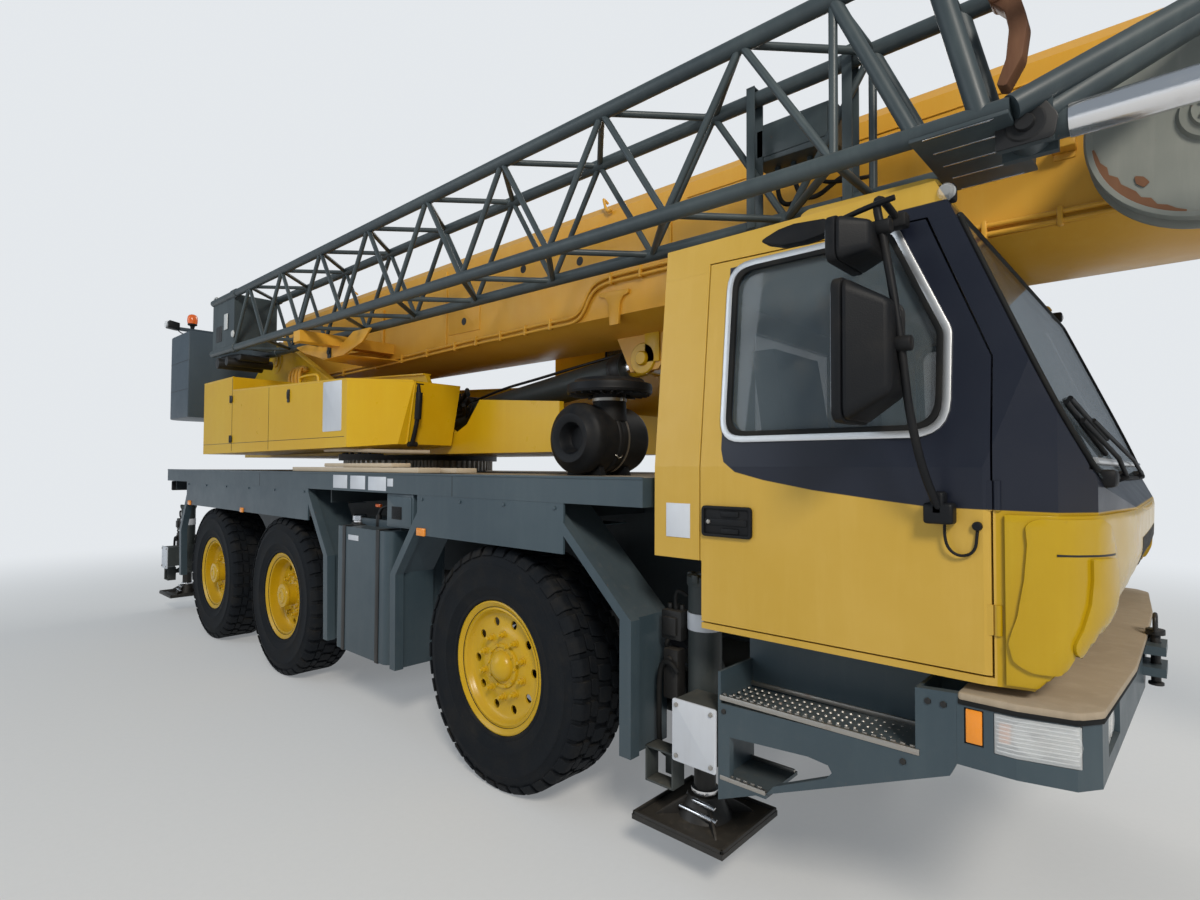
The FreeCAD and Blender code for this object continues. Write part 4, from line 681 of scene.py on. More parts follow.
BAND_EDGE = ((2.3, 1.83), (2.316, 1.7685), (2.3685, 1.729), (2.489, 1.6995), (2.685, 1.6665),
             (2.914, 1.64), (3.068, 1.624), (3.247, 1.622), (3.56, 1.616))


@dataclass(frozen=True)
class CabPaint(Paint):
    """Cab paint with the dark band round the windows and a brighter front corner."""

    band_colour: tuple[float, float, float] = (0.008, 0.011, 0.022)
    corner_colour: tuple[float, float, float] = (0.44, 0.27, 0.002)
    band_rear_x: float = 2.303
    window_top_z: float = 2.56
    window_front_x: float = 2.952
    roof_z: float = 2.625
    seam_x: float = 3.249

    def band(self, graph: Graph) -> Value:
        """Where the dark band lies, from 0 to 1."""
        x = graph.part(Axis.X)
        z = graph.part(Axis.Z)
        edge: Value = z * 0.0 + BAND_EDGE[0][1]
        for (x_low, z_low), (x_high, z_high) in zip(BAND_EDGE, BAND_EDGE[1:]):
            share = graph.add("ShaderNodeMapRange", {}, {0: x, 1: x_low, 2: x_high, 4: z_high - z_low})
            edge = edge + share
        above = (z - edge).rise(-0.002, 0.002)
        ahead = x.rise(self.band_rear_x - 0.002, self.band_rear_x + 0.002)
        over_window = z.rise(self.window_top_z, self.window_top_z + 0.004) \
            * x.rise(self.window_front_x + 0.004, self.window_front_x)
        under_roof = z.rise(self.roof_z + 0.004, self.roof_z)
        return above * ahead * (1.0 - over_window) * under_roof

    def material(self) -> bpy.types.Material:
        """Build the finish."""
        graph = Graph(self.name)
        base, chips, film = self.colour_of(graph)
        corner = graph.part(Axis.X).rise(self.seam_x, self.seam_x + 0.003)
        base = graph.blend(corner, base, graph.blend(film, self.corner_colour, DUST))
        base = graph.blend(self.band(graph), base, graph.blend(film * 0.6, self.band_colour, DUST))
        return self.finished(graph, base, chips, film)


@dataclass(frozen=True)
class DeckPaint(Paint):
    """Carrier paint whose walked-on top is worn tan."""

    tread: tuple[float, float, float] = (0.42, 0.34, 0.24)

    def material(self) -> bpy.types.Material:
        """Build the finish."""
        graph = Graph(self.name)
        base, chips, film = self.colour_of(graph)
        walked = graph.upward().rise(0.6, 0.9) * (graph.noise(2.2, 6.0, 0.7).rise(0.25, 0.7) * 0.65 + 0.3)
        base = graph.blend(walked, base, self.tread)
        return self.finished(graph, base, chips, film + walked * 0.5)


@dataclass
class CadFinish(Assembly):
    """Dresses the CAD nodes that stay in view."""

    cab: CabPaint = CabPaint("cab_paint", (0.5, 0.31, 0.038), (0.56, 0.36, 0.068), gloss=0.33, dust=0.12,
                             chips=0.05)
    deck: DeckPaint = DeckPaint("deck_paint", (0.034, 0.058, 0.076), (0.052, 0.08, 0.098), dust=0.45,
                                chips=0.1)
    shades: dict[str, Shade] = field(default_factory=lambda: {
        "knuckle": Shade.BLACK_IRON, "axles": Shade.BLACK_IRON, "tyre": Shade.TYRE, "rim": Shade.WHEEL,
        "chassis": Shade.CARRIER_DARK, "fenders": Shade.CARRIER, "side_tanks": Shade.CARRIER,
        "carrier_engine": Shade.BLACK_IRON, "air_cleaner": Shade.BLACK, "beam": Shade.JACK,
        "foot": Shade.BLACK_IRON, "cab_glass": Shade.WINDOW, "door_glass": Shade.WINDOW,
        "mirrors": Shade.BLACK, "cab_interior": Shade.TRIM, "front_skirt": Shade.CARRIER,
        "slew_ring": Shade.STEEL, "turntable": Shade.HOUSING, "counterweight": Shade.WEIGHT,
        "side_housing": Shade.HOUSING, "operator_cab": Shade.HOUSING, "operator_glass": Shade.WINDOW,
        "boom": Shade.BOOM, "lift_barrel": Shade.JACK, "lift_rod": Shade.CHROME, "jib": Shade.JIB,
        "cable_reel": Shade.WEIGHT, "hook_block": Shade.HOUSING,
    })

    def build(self) -> None:
        """Give every node its finish."""
        cab = self.cab.material()
        deck = self.deck.material()
        for name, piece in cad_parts.items():
            if name.startswith(("cab_shell", "cab_door", "cab_roof")):
                finish = cab
            elif name == "deck":
                finish = deck
            else:
                finish = Finishes.of(next(s for key, s in self.shades.items() if name.startswith(key)))
            for place in piece.material_slots:
                place.material = finish
            log.info("node %s is dressed", name)


# Studio


@dataclass
class PhotoCamera:
    """A camera at the photograph's place and angle."""

    place: tuple[float, float, float] = (3.687, -3.512, 1.744)
    yaw: float = math.radians(42.39)
    pitch: float = math.radians(1.55)
    roll: float = math.radians(0.26)
    focal_pixels: float = 648.93
    frame_pixels: float = 1200.0
    sensor: float = 36.0
    sees_to: float = 200.0

    def build(self) -> None:
        """Create the camera and make it the scene's."""
        data = bpy.data.cameras.new("photo_camera")
        data.sensor_width = self.sensor
        data.lens = self.focal_pixels / self.frame_pixels * self.sensor
        data.clip_end = self.sees_to
        ahead = Vector((-math.sin(self.yaw) * math.cos(self.pitch), math.cos(self.yaw) * math.cos(self.pitch),
                        math.sin(self.pitch)))
        right = Vector((math.cos(self.yaw), math.sin(self.yaw), 0.0))
        up = right.cross(ahead)
        turned_right = right * math.cos(self.roll) + up * math.sin(self.roll)
        turned_up = up * math.cos(self.roll) - right * math.sin(self.roll)
        turn = Matrix((turned_right, turned_up, -ahead)).transposed()
        camera = bpy.data.objects.new("photo_camera", data)
        camera.matrix_world = Matrix.Translation(self.place) @ turn.to_4x4()
        bpy.context.scene.collection.objects.link(camera)
        bpy.context.scene.camera = camera


@dataclass
class Studio:
    """A pale floor, a pale surround and soft lamps."""

    floor_size: float = 160.0
    shown: tuple[float, float, float] = (0.78, 0.81, 0.84)
    fade: tuple[float, float] = (6.0, 13.5)
    sky: tuple[float, float, float] = (0.78, 0.89, 1.0)
    sky_power: float = 0.34
    aim: tuple[float, float, float] = (0.0, 0.0, 1.2)
    lamps: tuple = (
        ("key", (9.5, -8.0, 9.0), 2.6, 1150.0, (1.0, 0.93, 0.83)),
        ("fill", (-8.0, -12.0, 6.0), 7.0, 360.0, (0.88, 0.94, 1.0)),
        ("rim", (-4.0, 12.0, 10.0), 6.0, 750.0, (1.0, 0.97, 0.92)),
    )

    def build(self) -> None:
        """Make the floor, the lamps and the world."""
        bpy.context.scene.view_settings.view_transform = "Standard"
        self.floor()
        self.surround()
        for name, place, size, power, colour in self.lamps:
            data = bpy.data.lights.new(name, "AREA")
            data.size = size
            data.energy = power
            data.color = colour
            lamp = bpy.data.objects.new(name, data)
            lamp.location = place
            way = Vector(self.aim) - Vector(place)
            lamp.rotation_euler = way.to_track_quat("-Z", "Y").to_euler()
            bpy.context.scene.collection.objects.link(lamp)

    def floor(self) -> None:
        """A wide pale floor that fades into the surround with distance but keeps the shadow."""
        Bench.clear()
        bpy.ops.mesh.primitive_plane_add(size=self.floor_size, location=(0.0, 0.0, -0.001))
        floor = bpy.context.object
        floor.name = "studio_floor"
        graph = Graph("studio_floor")
        grain = graph.noise(30.0, 4.0, 0.6)
        material = graph.surface(Base_Color=graph.blend(grain, (0.68, 0.68, 0.67), (0.72, 0.72, 0.71)),
                                 Roughness=0.9)
        distance = graph.add("ShaderNodeVectorMath", {"operation": "LENGTH"}, {0: graph.place}, "Value")
        graph.fade_into(self.shown, distance.rise(*self.fade) * 0.75 + 0.25)
        floor.data.materials.append(material)

    def surround(self) -> None:
        """A soft blue-grey world that shows as pale to the camera and through glass."""
        world = bpy.data.worlds.new("surround")
        bpy.context.scene.world = world
        world.use_nodes = True
        tree = world.node_tree
        tree.nodes.clear()
        rays, output, shown, lit, either, mix = [tree.nodes.new("ShaderNode" + kind) for kind in (
            "LightPath", "OutputWorld", "Background", "Background", "Math", "MixShader")]
        for node, colour, power in ((shown, self.shown, 1.0), (lit, self.sky, self.sky_power)):
            node.inputs[0].default_value = (*colour, 1.0)
            node.inputs[1].default_value = power
        either.operation = "MAXIMUM"
        for source, target in ((rays.outputs["Is Camera Ray"], either.inputs[0]),
                               (rays.outputs["Is Transmission Ray"], either.inputs[1]),
                               (either.outputs[0], mix.inputs[0]), (lit.outputs[0], mix.inputs[1]),
                               (shown.outputs[0], mix.inputs[2]), (mix.outputs[0], output.inputs[0])):
            tree.links.new(source, target)


# Wheels


@dataclass
class Wheels(Assembly):
    """Block-tread tyres on yellow disc wheels."""

    axles: tuple[tuple[str, float], ...] = (("front", 0.875), ("middle", -1.985), ("rear", -3.687))
    track_half: float = 1.095
    radius: float = 0.655
    tread_depth: float = 0.016
    pitches: int = 38
    studs: int = 10
    stud_circle: float = 0.1675
    hole_circle: float = 0.238
    hole_radius: float = 0.024
    half_width: float = 0.165
    front_dish: float = 0.062
    rear_dish: float = 0.12
    shoulder_reach: float = 0.36
    centre_reach: float = 0.38
    lug_sink: float = 0.004
    turn_per_metre: float = 0.37

    def move_of(self, x: float, side: int) -> Matrix:
        """From a wheel drawn about Z, facing up, to its place on an axle."""
        turn = Matrix.Rotation(-side * FULL_TURN / 4.0, 4, "X")
        return Matrix.Translation((x, side * self.track_half, self.radius)) @ turn

    def tyre(self) -> Piece:
        """A carcass with ribbed walls and five rows of tread blocks."""
        floor = self.radius - self.tread_depth
        outside = [(0.322, 0.149), (0.352, 0.15), (0.358, 0.158), (0.366, 0.171), (0.378, 0.173),
                   (0.384, 0.17), (0.405, 0.18), (0.432, 0.185), (0.436, 0.188), (0.446, 0.188),
                   (0.45, 0.186), (0.5, 0.191), (0.54, 0.191), (0.545, 0.1935), (0.556, 0.1925),
                   (0.56, 0.188), (0.585, 0.183), (0.612, 0.173), (floor, 0.15), (floor, 0.05)]
        profile = outside + [(r, -y) for r, y in reversed(outside)]
        parts = [self.lathe(profile, (0, 0, 0), Axis.Z, 96)]
        top = self.radius
        span = FULL_TURN / self.pitches * self.radius
        shoulder = [(0.604, 0.1795), (0.608, 0.1875), (0.64, 0.17), (top - 0.004, 0.156), (top, 0.146),
                    (top, 0.108), (floor - self.lug_sink, 0.105), (floor - self.lug_sink, 0.15)]
        reach = self.shoulder_reach * span
        for side in (1, -1):
            lug = self.plate(Plane.XZ, [(r, side * y) for r, y in shoulder], -reach, reach, 0.0025, 1)
            shift = Matrix.Rotation(side * math.pi / self.pitches * 0.5, 4, "Z")
            parts.append(self.copies(lug, [shift @ move for move in turns(self.pitches)]))
        rows = ((0.098, 0.052, 0.25), (0.044, -0.044, 0.75), (-0.052, -0.098, 0.25))
        for far, near, phase in rows:
            lug = self.centre_lug(near, far, self.centre_reach * span, floor)
            start = FULL_TURN / self.pitches * phase
            parts.append(self.copies(lug, turns(self.pitches, start)))
        return self.together(parts)

    def centre_lug(self, near: float, far: float, reach: float, floor: float) -> Piece:
        """A six-sided tread block with slanted ends."""
        middle = (near + far) / 2.0
        points = [(-reach, near), (reach * 0.7, near), (reach, middle), (reach, far), (-reach * 0.7, far),
                  (-reach, middle)]
        return self.plate(Plane.YZ, points, floor - self.lug_sink, self.radius - 0.0015, 0.002, 1)

    def rim(self, front: bool) -> Piece:
        """A dished disc wheel with its hand holes, nuts and hub."""
        half = self.half_width
        face = half - (self.front_dish if front else self.rear_dish)
        hub = self.front_hub(face) if front else self.rear_hub(face)
        disc = [(0.15, face + 0.012), (0.196, face + 0.006), (0.205, face), (0.262, face),
                (0.28, face + 0.004), (0.293, face + 0.016), (0.299, face + 0.034)]
        lip = [(0.303, half - 0.022), (0.309, half - 0.016), (0.313, half - 0.019), (0.321, half - 0.021),
               (0.326, half - 0.014), (0.34, half - 0.006), (0.349, half), (0.357, half - 0.003),
               (0.3575, half - 0.01), (0.35, half - 0.014), (0.322, half - 0.02)]
        well = [(0.32, 0.05), (0.305, 0.0), (0.305, -0.09), (0.32, -half + 0.012), (0.357, -half + 0.008),
                (0.357, -half), (0.3, -half), (0.292, -0.09), (0.292, face - 0.01), (0.0, face - 0.01)]
        body = self.lathe(hub + disc + lip + well, (0, 0, 0), Axis.Z, 80)
        holes = self.drum((self.hole_circle, 0, face - 0.04), (self.hole_circle, 0, face + 0.04),
                          self.hole_radius, 20, 0.0)
        holes = self.copies(holes, turns(self.studs, math.pi / self.studs))
        self.apply(body, "BOOLEAN", object=holes, operation="DIFFERENCE", solver="EXACT")
        bpy.data.objects.remove(holes)
        self.edged(body, 0.0)
        return self.together([body, self.nuts(face)])

    @staticmethod
    def front_hub(face: float) -> list[tuple[float, float]]:
        """A low domed cap inside a raised collar."""
        top = face + 0.079
        return [(0.0, top), (0.022, top - 0.002), (0.046, top - 0.01), (0.068, top - 0.026),
                (0.08, top - 0.04), (0.084, face + 0.022), (0.099, face + 0.02), (0.102, face + 0.026),
                (0.118, face + 0.026), (0.121, face + 0.02), (0.122, face + 0.013)]

    @staticmethod
    def rear_hub(face: float) -> list[tuple[float, float]]:
        """A stepped cylinder with a flanged end cap."""
        top = face + 0.128
        return [(0.0, top - 0.006), (0.03, top - 0.006), (0.034, top), (0.06, top), (0.066, top - 0.008),
                (0.094, top - 0.01), (0.098, top - 0.016), (0.098, top - 0.034), (0.09, top - 0.04),
                (0.088, face + 0.028), (0.106, face + 0.026), (0.12, face + 0.024), (0.124, face + 0.013)]

    def nuts(self, face: float) -> Piece:
        """Ten flanged nuts on their studs, and the small bolts of the hub's collar."""
        foot = face + 0.008
        circle = self.stud_circle
        nut = self.together([
            self.drum((circle, 0, foot), (circle, 0, foot + 0.007), 0.0225, 20, 0.0015),
            self.drum((circle, 0, foot + 0.004), (circle, 0, foot + 0.028), 0.0175, 6, 0.0015),
            self.drum((circle, 0, foot + 0.02), (circle, 0, foot + 0.044), 0.0105, 12, 0.0015),
        ])
        bolt = self.drum((0.11, 0, face + 0.022), (0.11, 0, face + 0.034), 0.0085, 6, 0.001)
        return self.together([self.copies(nut, turns(self.studs)),
                              self.copies(bolt, turns(self.studs, math.pi / self.studs))])

    def build(self) -> None:
        """Put a tyre and a rim on every spindle."""
        tyre = self.tyre()
        rims = {True: self.rim(True), False: self.rim(False)}
        for axle, x in self.axles:
            for side_name, side in SIDES:
                tail = "%s_%s" % (axle, side_name)
                move = self.move_of(x, side)
                turn = Matrix.Rotation(self.turn_per_metre * x, 4, "Z")
                rim = rims[axle == "front"]
                for source, name, shade in ((tyre, "tyre_", Shade.TYRE), (rim, "rim_", Shade.WHEEL)):
                    twin = self.twin_of(source)
                    twin.data.transform(move @ turn)
                    self.place(name + "dressed_" + tail, "wheel_" + tail, shade, twin,
                               replaces=[name + tail])
        for source in (tyre, *rims.values()):
            bpy.data.objects.remove(source)


# Carrier cab


def rounded(points: Sequence[tuple[float, float]], radii: Sequence[float], steps: int = 6
            ) -> list[tuple[float, float]]:
    """An outline with each corner rounded by its own radius.

    Args:
        points: Corners in order.
        radii: One radius for each corner.
        steps: Faces round a corner.

    Returns:
        The outline's points.
    """
    made = []
    count = len(points)
    for index, radius in enumerate(radii):
        corner = Vector(points[index])
        before = (Vector(points[index - 1]) - corner).normalized()
        after = (Vector(points[(index + 1) % count]) - corner).normalized()
        if radius <= 0.0:
            made.append(tuple(corner))
            continue
        half = before.angle(after) / 2.0
        reach = radius / math.tan(half)
        start = corner + before * reach
        end = corner + after * reach
        for step in range(steps + 1):
            share = step / steps
            made.append(tuple(start.lerp(corner, share).lerp(corner.lerp(end, share), share)))
    return made


@dataclass
class CabSides(Assembly):
    """Window gaskets, handles and mirrors on the cab's flanks."""

    half_width: float = 1.288
    belt_z: float = 1.75
    lean: float = 0.0979
    gasket: tuple[tuple[float, float], ...] = ((2.296, 1.844), (3.132, 1.844), (3.132, 2.188), (2.955, 2.576),
                                               (2.296, 2.576))
    gasket_radii: tuple[float, ...] = (0.1, 0.12, 0.1, 0.05, 0.11)
    window_centre: tuple[float, float] = (2.72, 2.2)
    seal_share: float = 0.945
    handle_x: tuple[float, float] = (2.222, 2.446)
    handle_z: tuple[float, float] = (1.472, 1.594)
    mirror_y: tuple[float, float] = (1.33, 1.575)
    mirror_heads: tuple = (((2.872, 3.035), (1.885, 2.335), 0.045), ((2.856, 2.98), (2.385, 2.53), 0.035))
    mirror_panes: tuple = ((2.872, 1.9, 2.32), (2.856, 2.398, 2.518))
    glass_inset: float = 0.012
    arm_y: float = 1.47
    arm_line: tuple = ((2.975, 1.25, 2.568), (2.965, 1.33, 2.604), (2.962, 1.41, 2.606), (2.972, 1.46, 2.562),
                       (2.99, 1.47, 2.486), (3.022, 1.47, 2.3), (3.046, 1.47, 2.12), (3.062, 1.45, 1.9),
                       (3.09, 1.39, 1.7), (3.11, 1.33, 1.62))
    arm_joints: tuple = ((2.99, 2.486), (3.046, 2.12))
    arm_brackets: tuple = (((2.945, 3.005), (1.235, 1.285), (2.545, 2.592), 0.008),
                           ((3.065, 3.15), (1.289, 1.345), (1.575, 1.64), 0.01, 3),
                           ((3.085, 3.125), (1.289, 1.345), (1.6, 1.675), 0.01, 3))
    cable_line: tuple = ((3.12, 1.31, 1.58), (3.115, 1.312, 1.52), (3.15, 1.304, 1.475), (3.2, 1.298, 1.49),
                         (3.205, 1.294, 1.555), (3.205, 1.286, 1.575))

    def flank(self, z: float) -> float:
        """The flank's distance from the middle at a height."""
        return self.half_width - max(0.0, z - self.belt_z) * self.lean

    def lean_on(self, piece: Piece, side: int, proud: float = 0.0) -> Piece:
        """Move a piece drawn about y 0 out to a flank and lean it with the flank."""
        for vertex in piece.data.vertices:
            x, y, z = vertex.co
            vertex.co = (x, side * (self.flank(z) + proud) + y, z)
        return piece

    def ring(self, outline: Sequence[tuple[float, float]], width: float, thick: float) -> Piece:
        """A flat ring inside an outline of x and z, about y 0."""
        piece = self.outline([(x, 0.0, z) for x, z in outline], "NGON")
        with self.editing():
            bpy.ops.mesh.inset(thickness=width, depth=0.0, use_even_offset=True)
            bpy.ops.mesh.delete(type="FACE")
        self.settle(piece)
        self.apply(piece, "SOLIDIFY", thickness=thick, offset=0.0)
        return self.edged(piece, min(width, thick) * 0.3, 2)

    def window_trim(self, side_name: str, side: int) -> None:
        """A bright outer gasket and a black inner one round the door's window."""
        body = "door_" + side_name
        outer = rounded(self.gasket, self.gasket_radii)
        centre = Vector(self.window_centre)
        bright = self.lean_on(self.ring(outer, 0.027, 0.014), side, 0.003)
        inner = [tuple(centre + (Vector(p) - centre) * self.seal_share) for p in outer]
        black = self.lean_on(self.ring(inner, 0.024, 0.02), side, 0.0)
        self.place("window_gasket_" + side_name, body, Shade.ALLOY, bright)
        self.place("window_seal_" + side_name, body, Shade.RUBBER, black)

    def block(self, side: int, x: tuple[float, float], y: tuple[float, float], z: tuple[float, float],
              edge: float, steps: int = 2) -> Piece:
        """A block on one side of the cab, with y as the distances from the middle."""
        near, far = sorted(side * reach for reach in y)
        return self.slab((x[0], near, z[0]), (x[1], far, z[1]), edge, steps)

    def handle(self, side_name: str, side: int) -> None:
        """A black recessed handle with its grip bar and lock."""
        (x0, x1), (z0, z1) = self.handle_x, self.handle_z
        flank = self.half_width
        y = side * flank
        outline = rounded([(x0, z0), (x1, z0), (x1, z1), (x0, z1)], [0.018] * 4, 4)
        back = self.plate(Plane.XZ, outline, *sorted((y, y + side * 0.006)), 0.002)
        rim = self.lean_on(self.ring(outline, 0.012, 0.014), side, 0.007)
        bar_z = (z0 + z1) / 2.0 + 0.004
        grip = self.block(side, (x0 + 0.012, x1 - 0.02), (flank, flank + 0.011),
                          (bar_z - 0.02, bar_z + 0.008), 0.006)
        flaps = [self.block(side, (x0 + 0.09, x1 - 0.055), (flank, flank + 0.014), z, 0.006)
                 for z in ((z1 - 0.042, z1 - 0.018), (z0 + 0.014, z0 + 0.036))]
        lock = self.drum((x0 + 0.034, y, bar_z - 0.006), (x0 + 0.034, y + side * 0.017, bar_z - 0.006), 0.009)
        body = "door_" + side_name
        self.place("door_handle_" + side_name, body, Shade.BLACK, back, rim, grip, *flaps)
        self.place("door_lock_" + side_name, body, Shade.STEEL, lock)

    def mirror_head(self, x: tuple[float, float], z: tuple[float, float], y: tuple[float, float],
                    radius: float) -> Piece:
        """A moulded mirror case, domed in front and flat behind."""
        points = [(y[0], z[0]), (y[1], z[0]), (y[1], z[1]), (y[0], z[1])]
        outline = rounded(points, [radius] * 4, 5)
        case = self.plate(Plane.YZ, outline, x[0], x[0] + 0.03, 0.004)
        dome = self.plate(Plane.YZ, outline, x[0] + 0.028, x[1], 0.0)
        centre = Vector(((y[0] + y[1]) / 2.0, (z[0] + z[1]) / 2.0))
        for vertex in dome.data.vertices:
            if vertex.co.x > x[0] + 0.05:
                flat = centre + (Vector((vertex.co.y, vertex.co.z)) - centre) * 0.62
                vertex.co.y, vertex.co.z = flat
        self.edged(dome, 0.03, 4)
        return self.together([case, dome])

    def mirrors(self, side_name: str, side: int) -> None:
        """Two mirror heads on a bowed tube, with its brackets and a short cable."""
        body = "door_" + side_name
        near, far = sorted(side * reach for reach in self.mirror_y)
        heads = [self.mirror_head(x, z, (near, far), radius) for x, z, radius in self.mirror_heads]
        arm, loop = [self.pipe([(x, side * y, z) for x, y, z in line], radius, sides=sides)
                     for line, radius, sides in ((self.arm_line, 0.0125, 10), (self.cable_line, 0.0045, 8))]
        arm_y = side * self.arm_y
        joints = [self.drum((x - 0.035, arm_y, z), (x + 0.032, arm_y, z), 0.024, 16, 0.006)
                  for x, z in self.arm_joints]
        brackets = [self.block(side, *bracket) for bracket in self.arm_brackets]
        plug = self.drum((3.205, side * 1.285, 1.572), (3.205, side * 1.303, 1.572), 0.014, 14, 0.004)
        self.place("mirrors_dressed_" + side_name, body, Shade.BLACK, *heads, arm, *joints, *brackets, loop,
                   plug, replaces=["mirrors_" + side_name])
        near, far = near + self.glass_inset, far - self.glass_inset
        glass = [self.plate(Plane.YZ, rounded([(near, low), (far, low), (far, high), (near, high)],
                                              [0.035] * 4, 4), x - 0.004, x + 0.002, 0.0)
                 for x, low, high in self.mirror_panes]
        self.place("mirror_glass_" + side_name, body, Shade.CHROME, *glass)

    def build(self) -> None:
        """Trim both sides."""
        for side_name, side in SIDES:
            self.window_trim(side_name, side)
            self.handle(side_name, side)
            self.mirrors(side_name, side)


# Small shapes, listed in tables


@dataclass(frozen=True)
class Slab:
    """A block between two corners."""

    low: Point
    high: Point
    edge: float = 0.004

    def make(self) -> Piece:
        """Model it."""
        return Bench.slab(self.low, self.high, self.edge)


@dataclass(frozen=True)
class Bar:
    """A round bar, disc or cone."""

    start: Point
    end: Point
    radius: float
    tip: Optional[float] = None
    sides: int = 24
    edge: float = 0.002

    def make(self) -> Piece:
        """Model it."""
        return Bench.drum(self.start, self.end, self.radius, self.sides, self.edge, self.tip)


@dataclass(frozen=True)
class Tube:
    """A bent bar, pipe or hose."""

    points: Sequence[Point]
    radius: float
    bend: bool = True
    sides: int = 12

    def make(self) -> Piece:
        """Model it."""
        return Bench.pipe(self.points, self.radius, self.bend, self.sides)


@dataclass(frozen=True)
class Sheet:
    """A flat outline with some thickness and rounded corners."""

    plane: Plane
    points: Sequence[tuple[float, float]]
    low: float
    high: float
    radii: Sequence[float] = ()
    edge: float = 0.002

    def make(self) -> Piece:
        """Model it."""
        points = rounded(self.points, self.radii) if self.radii else self.points
        return Bench.plate(self.plane, points, self.low, self.high, self.edge)


def panel(plane: Plane, low: Point, high: Point, near: float, far: float, radius: float = 0.0,
          edge: float = 0.002) -> Sheet:
    """A rectangle between two corners of its plane, with some thickness and four equal corners."""
    (u_low, v_low), (u_high, v_high) = low, high
    points = [(u_low, v_low), (u_high, v_low), (u_high, v_high), (u_low, v_high)]
    return Sheet(plane, points, near, far, [radius] * 4 if radius else (), edge)


@dataclass(frozen=True)
class Turned:
    """A profile of (radius, distance along the axis) turned about the axis."""

    profile: Sequence[tuple[float, float]]
    centre: Point
    axis: Axis = Axis.Y
    steps: int = 48

    def make(self) -> Piece:
        """Model it."""
        return Bench.lathe(self.profile, self.centre, self.axis, self.steps)


@dataclass(frozen=True)
class Row:
    """One shape repeated by an even step."""

    shape: Union[Slab, Bar, Tube, Sheet, Turned]
    step: Point
    count: int

    def make(self) -> Piece:
        """Model it."""
        moves = [Matrix.Translation(Vector(self.step) * index) for index in range(self.count)]
        return Bench.copies(self.shape.make(), moves)


@dataclass(frozen=True)
class Around:
    """One shape repeated round an axis through a centre."""

    shape: Union[Slab, Bar, Tube, Sheet, Turned]
    centre: Point
    axis: Axis
    count: int
    start: float = 0.0

    def make(self) -> Piece:
        """Model it."""
        there = Matrix.Translation(self.centre)
        moves = [there @ turn @ there.inverted() for turn in turns(self.count, self.start, self.axis)]
        return Bench.copies(self.shape.make(), moves)


@dataclass(frozen=True)
class Fitting:
    """A named piece made of small shapes; with both set, its mirror image sits on the left."""

    name: str
    body: str
    shade: Shade
    shapes: Sequence[Union[Slab, Bar, Tube, Sheet, Turned, Row, Around]]
    both: bool = False
    replaces: Sequence[str] = ()


@dataclass
class Fittings(Assembly):
    """Places every fitting of a table."""

    table: Sequence[Fitting] = ()

    def build(self) -> None:
        """Make each fitting and, where it is one of two, its mirror image."""
        for item in self.table:
            piece = self.together([shape.make() for shape in item.shapes])
            if not item.both:
                self.place(item.name, item.body, item.shade, piece, replaces=item.replaces)
                continue
            twin = self.reflect(self.twin_of(piece))
            self.place(item.name + "_right", item.body, item.shade, piece)
            self.place(item.name + "_left", item.body.replace("right", "left"), item.shade, twin)


# Carrier cab's front


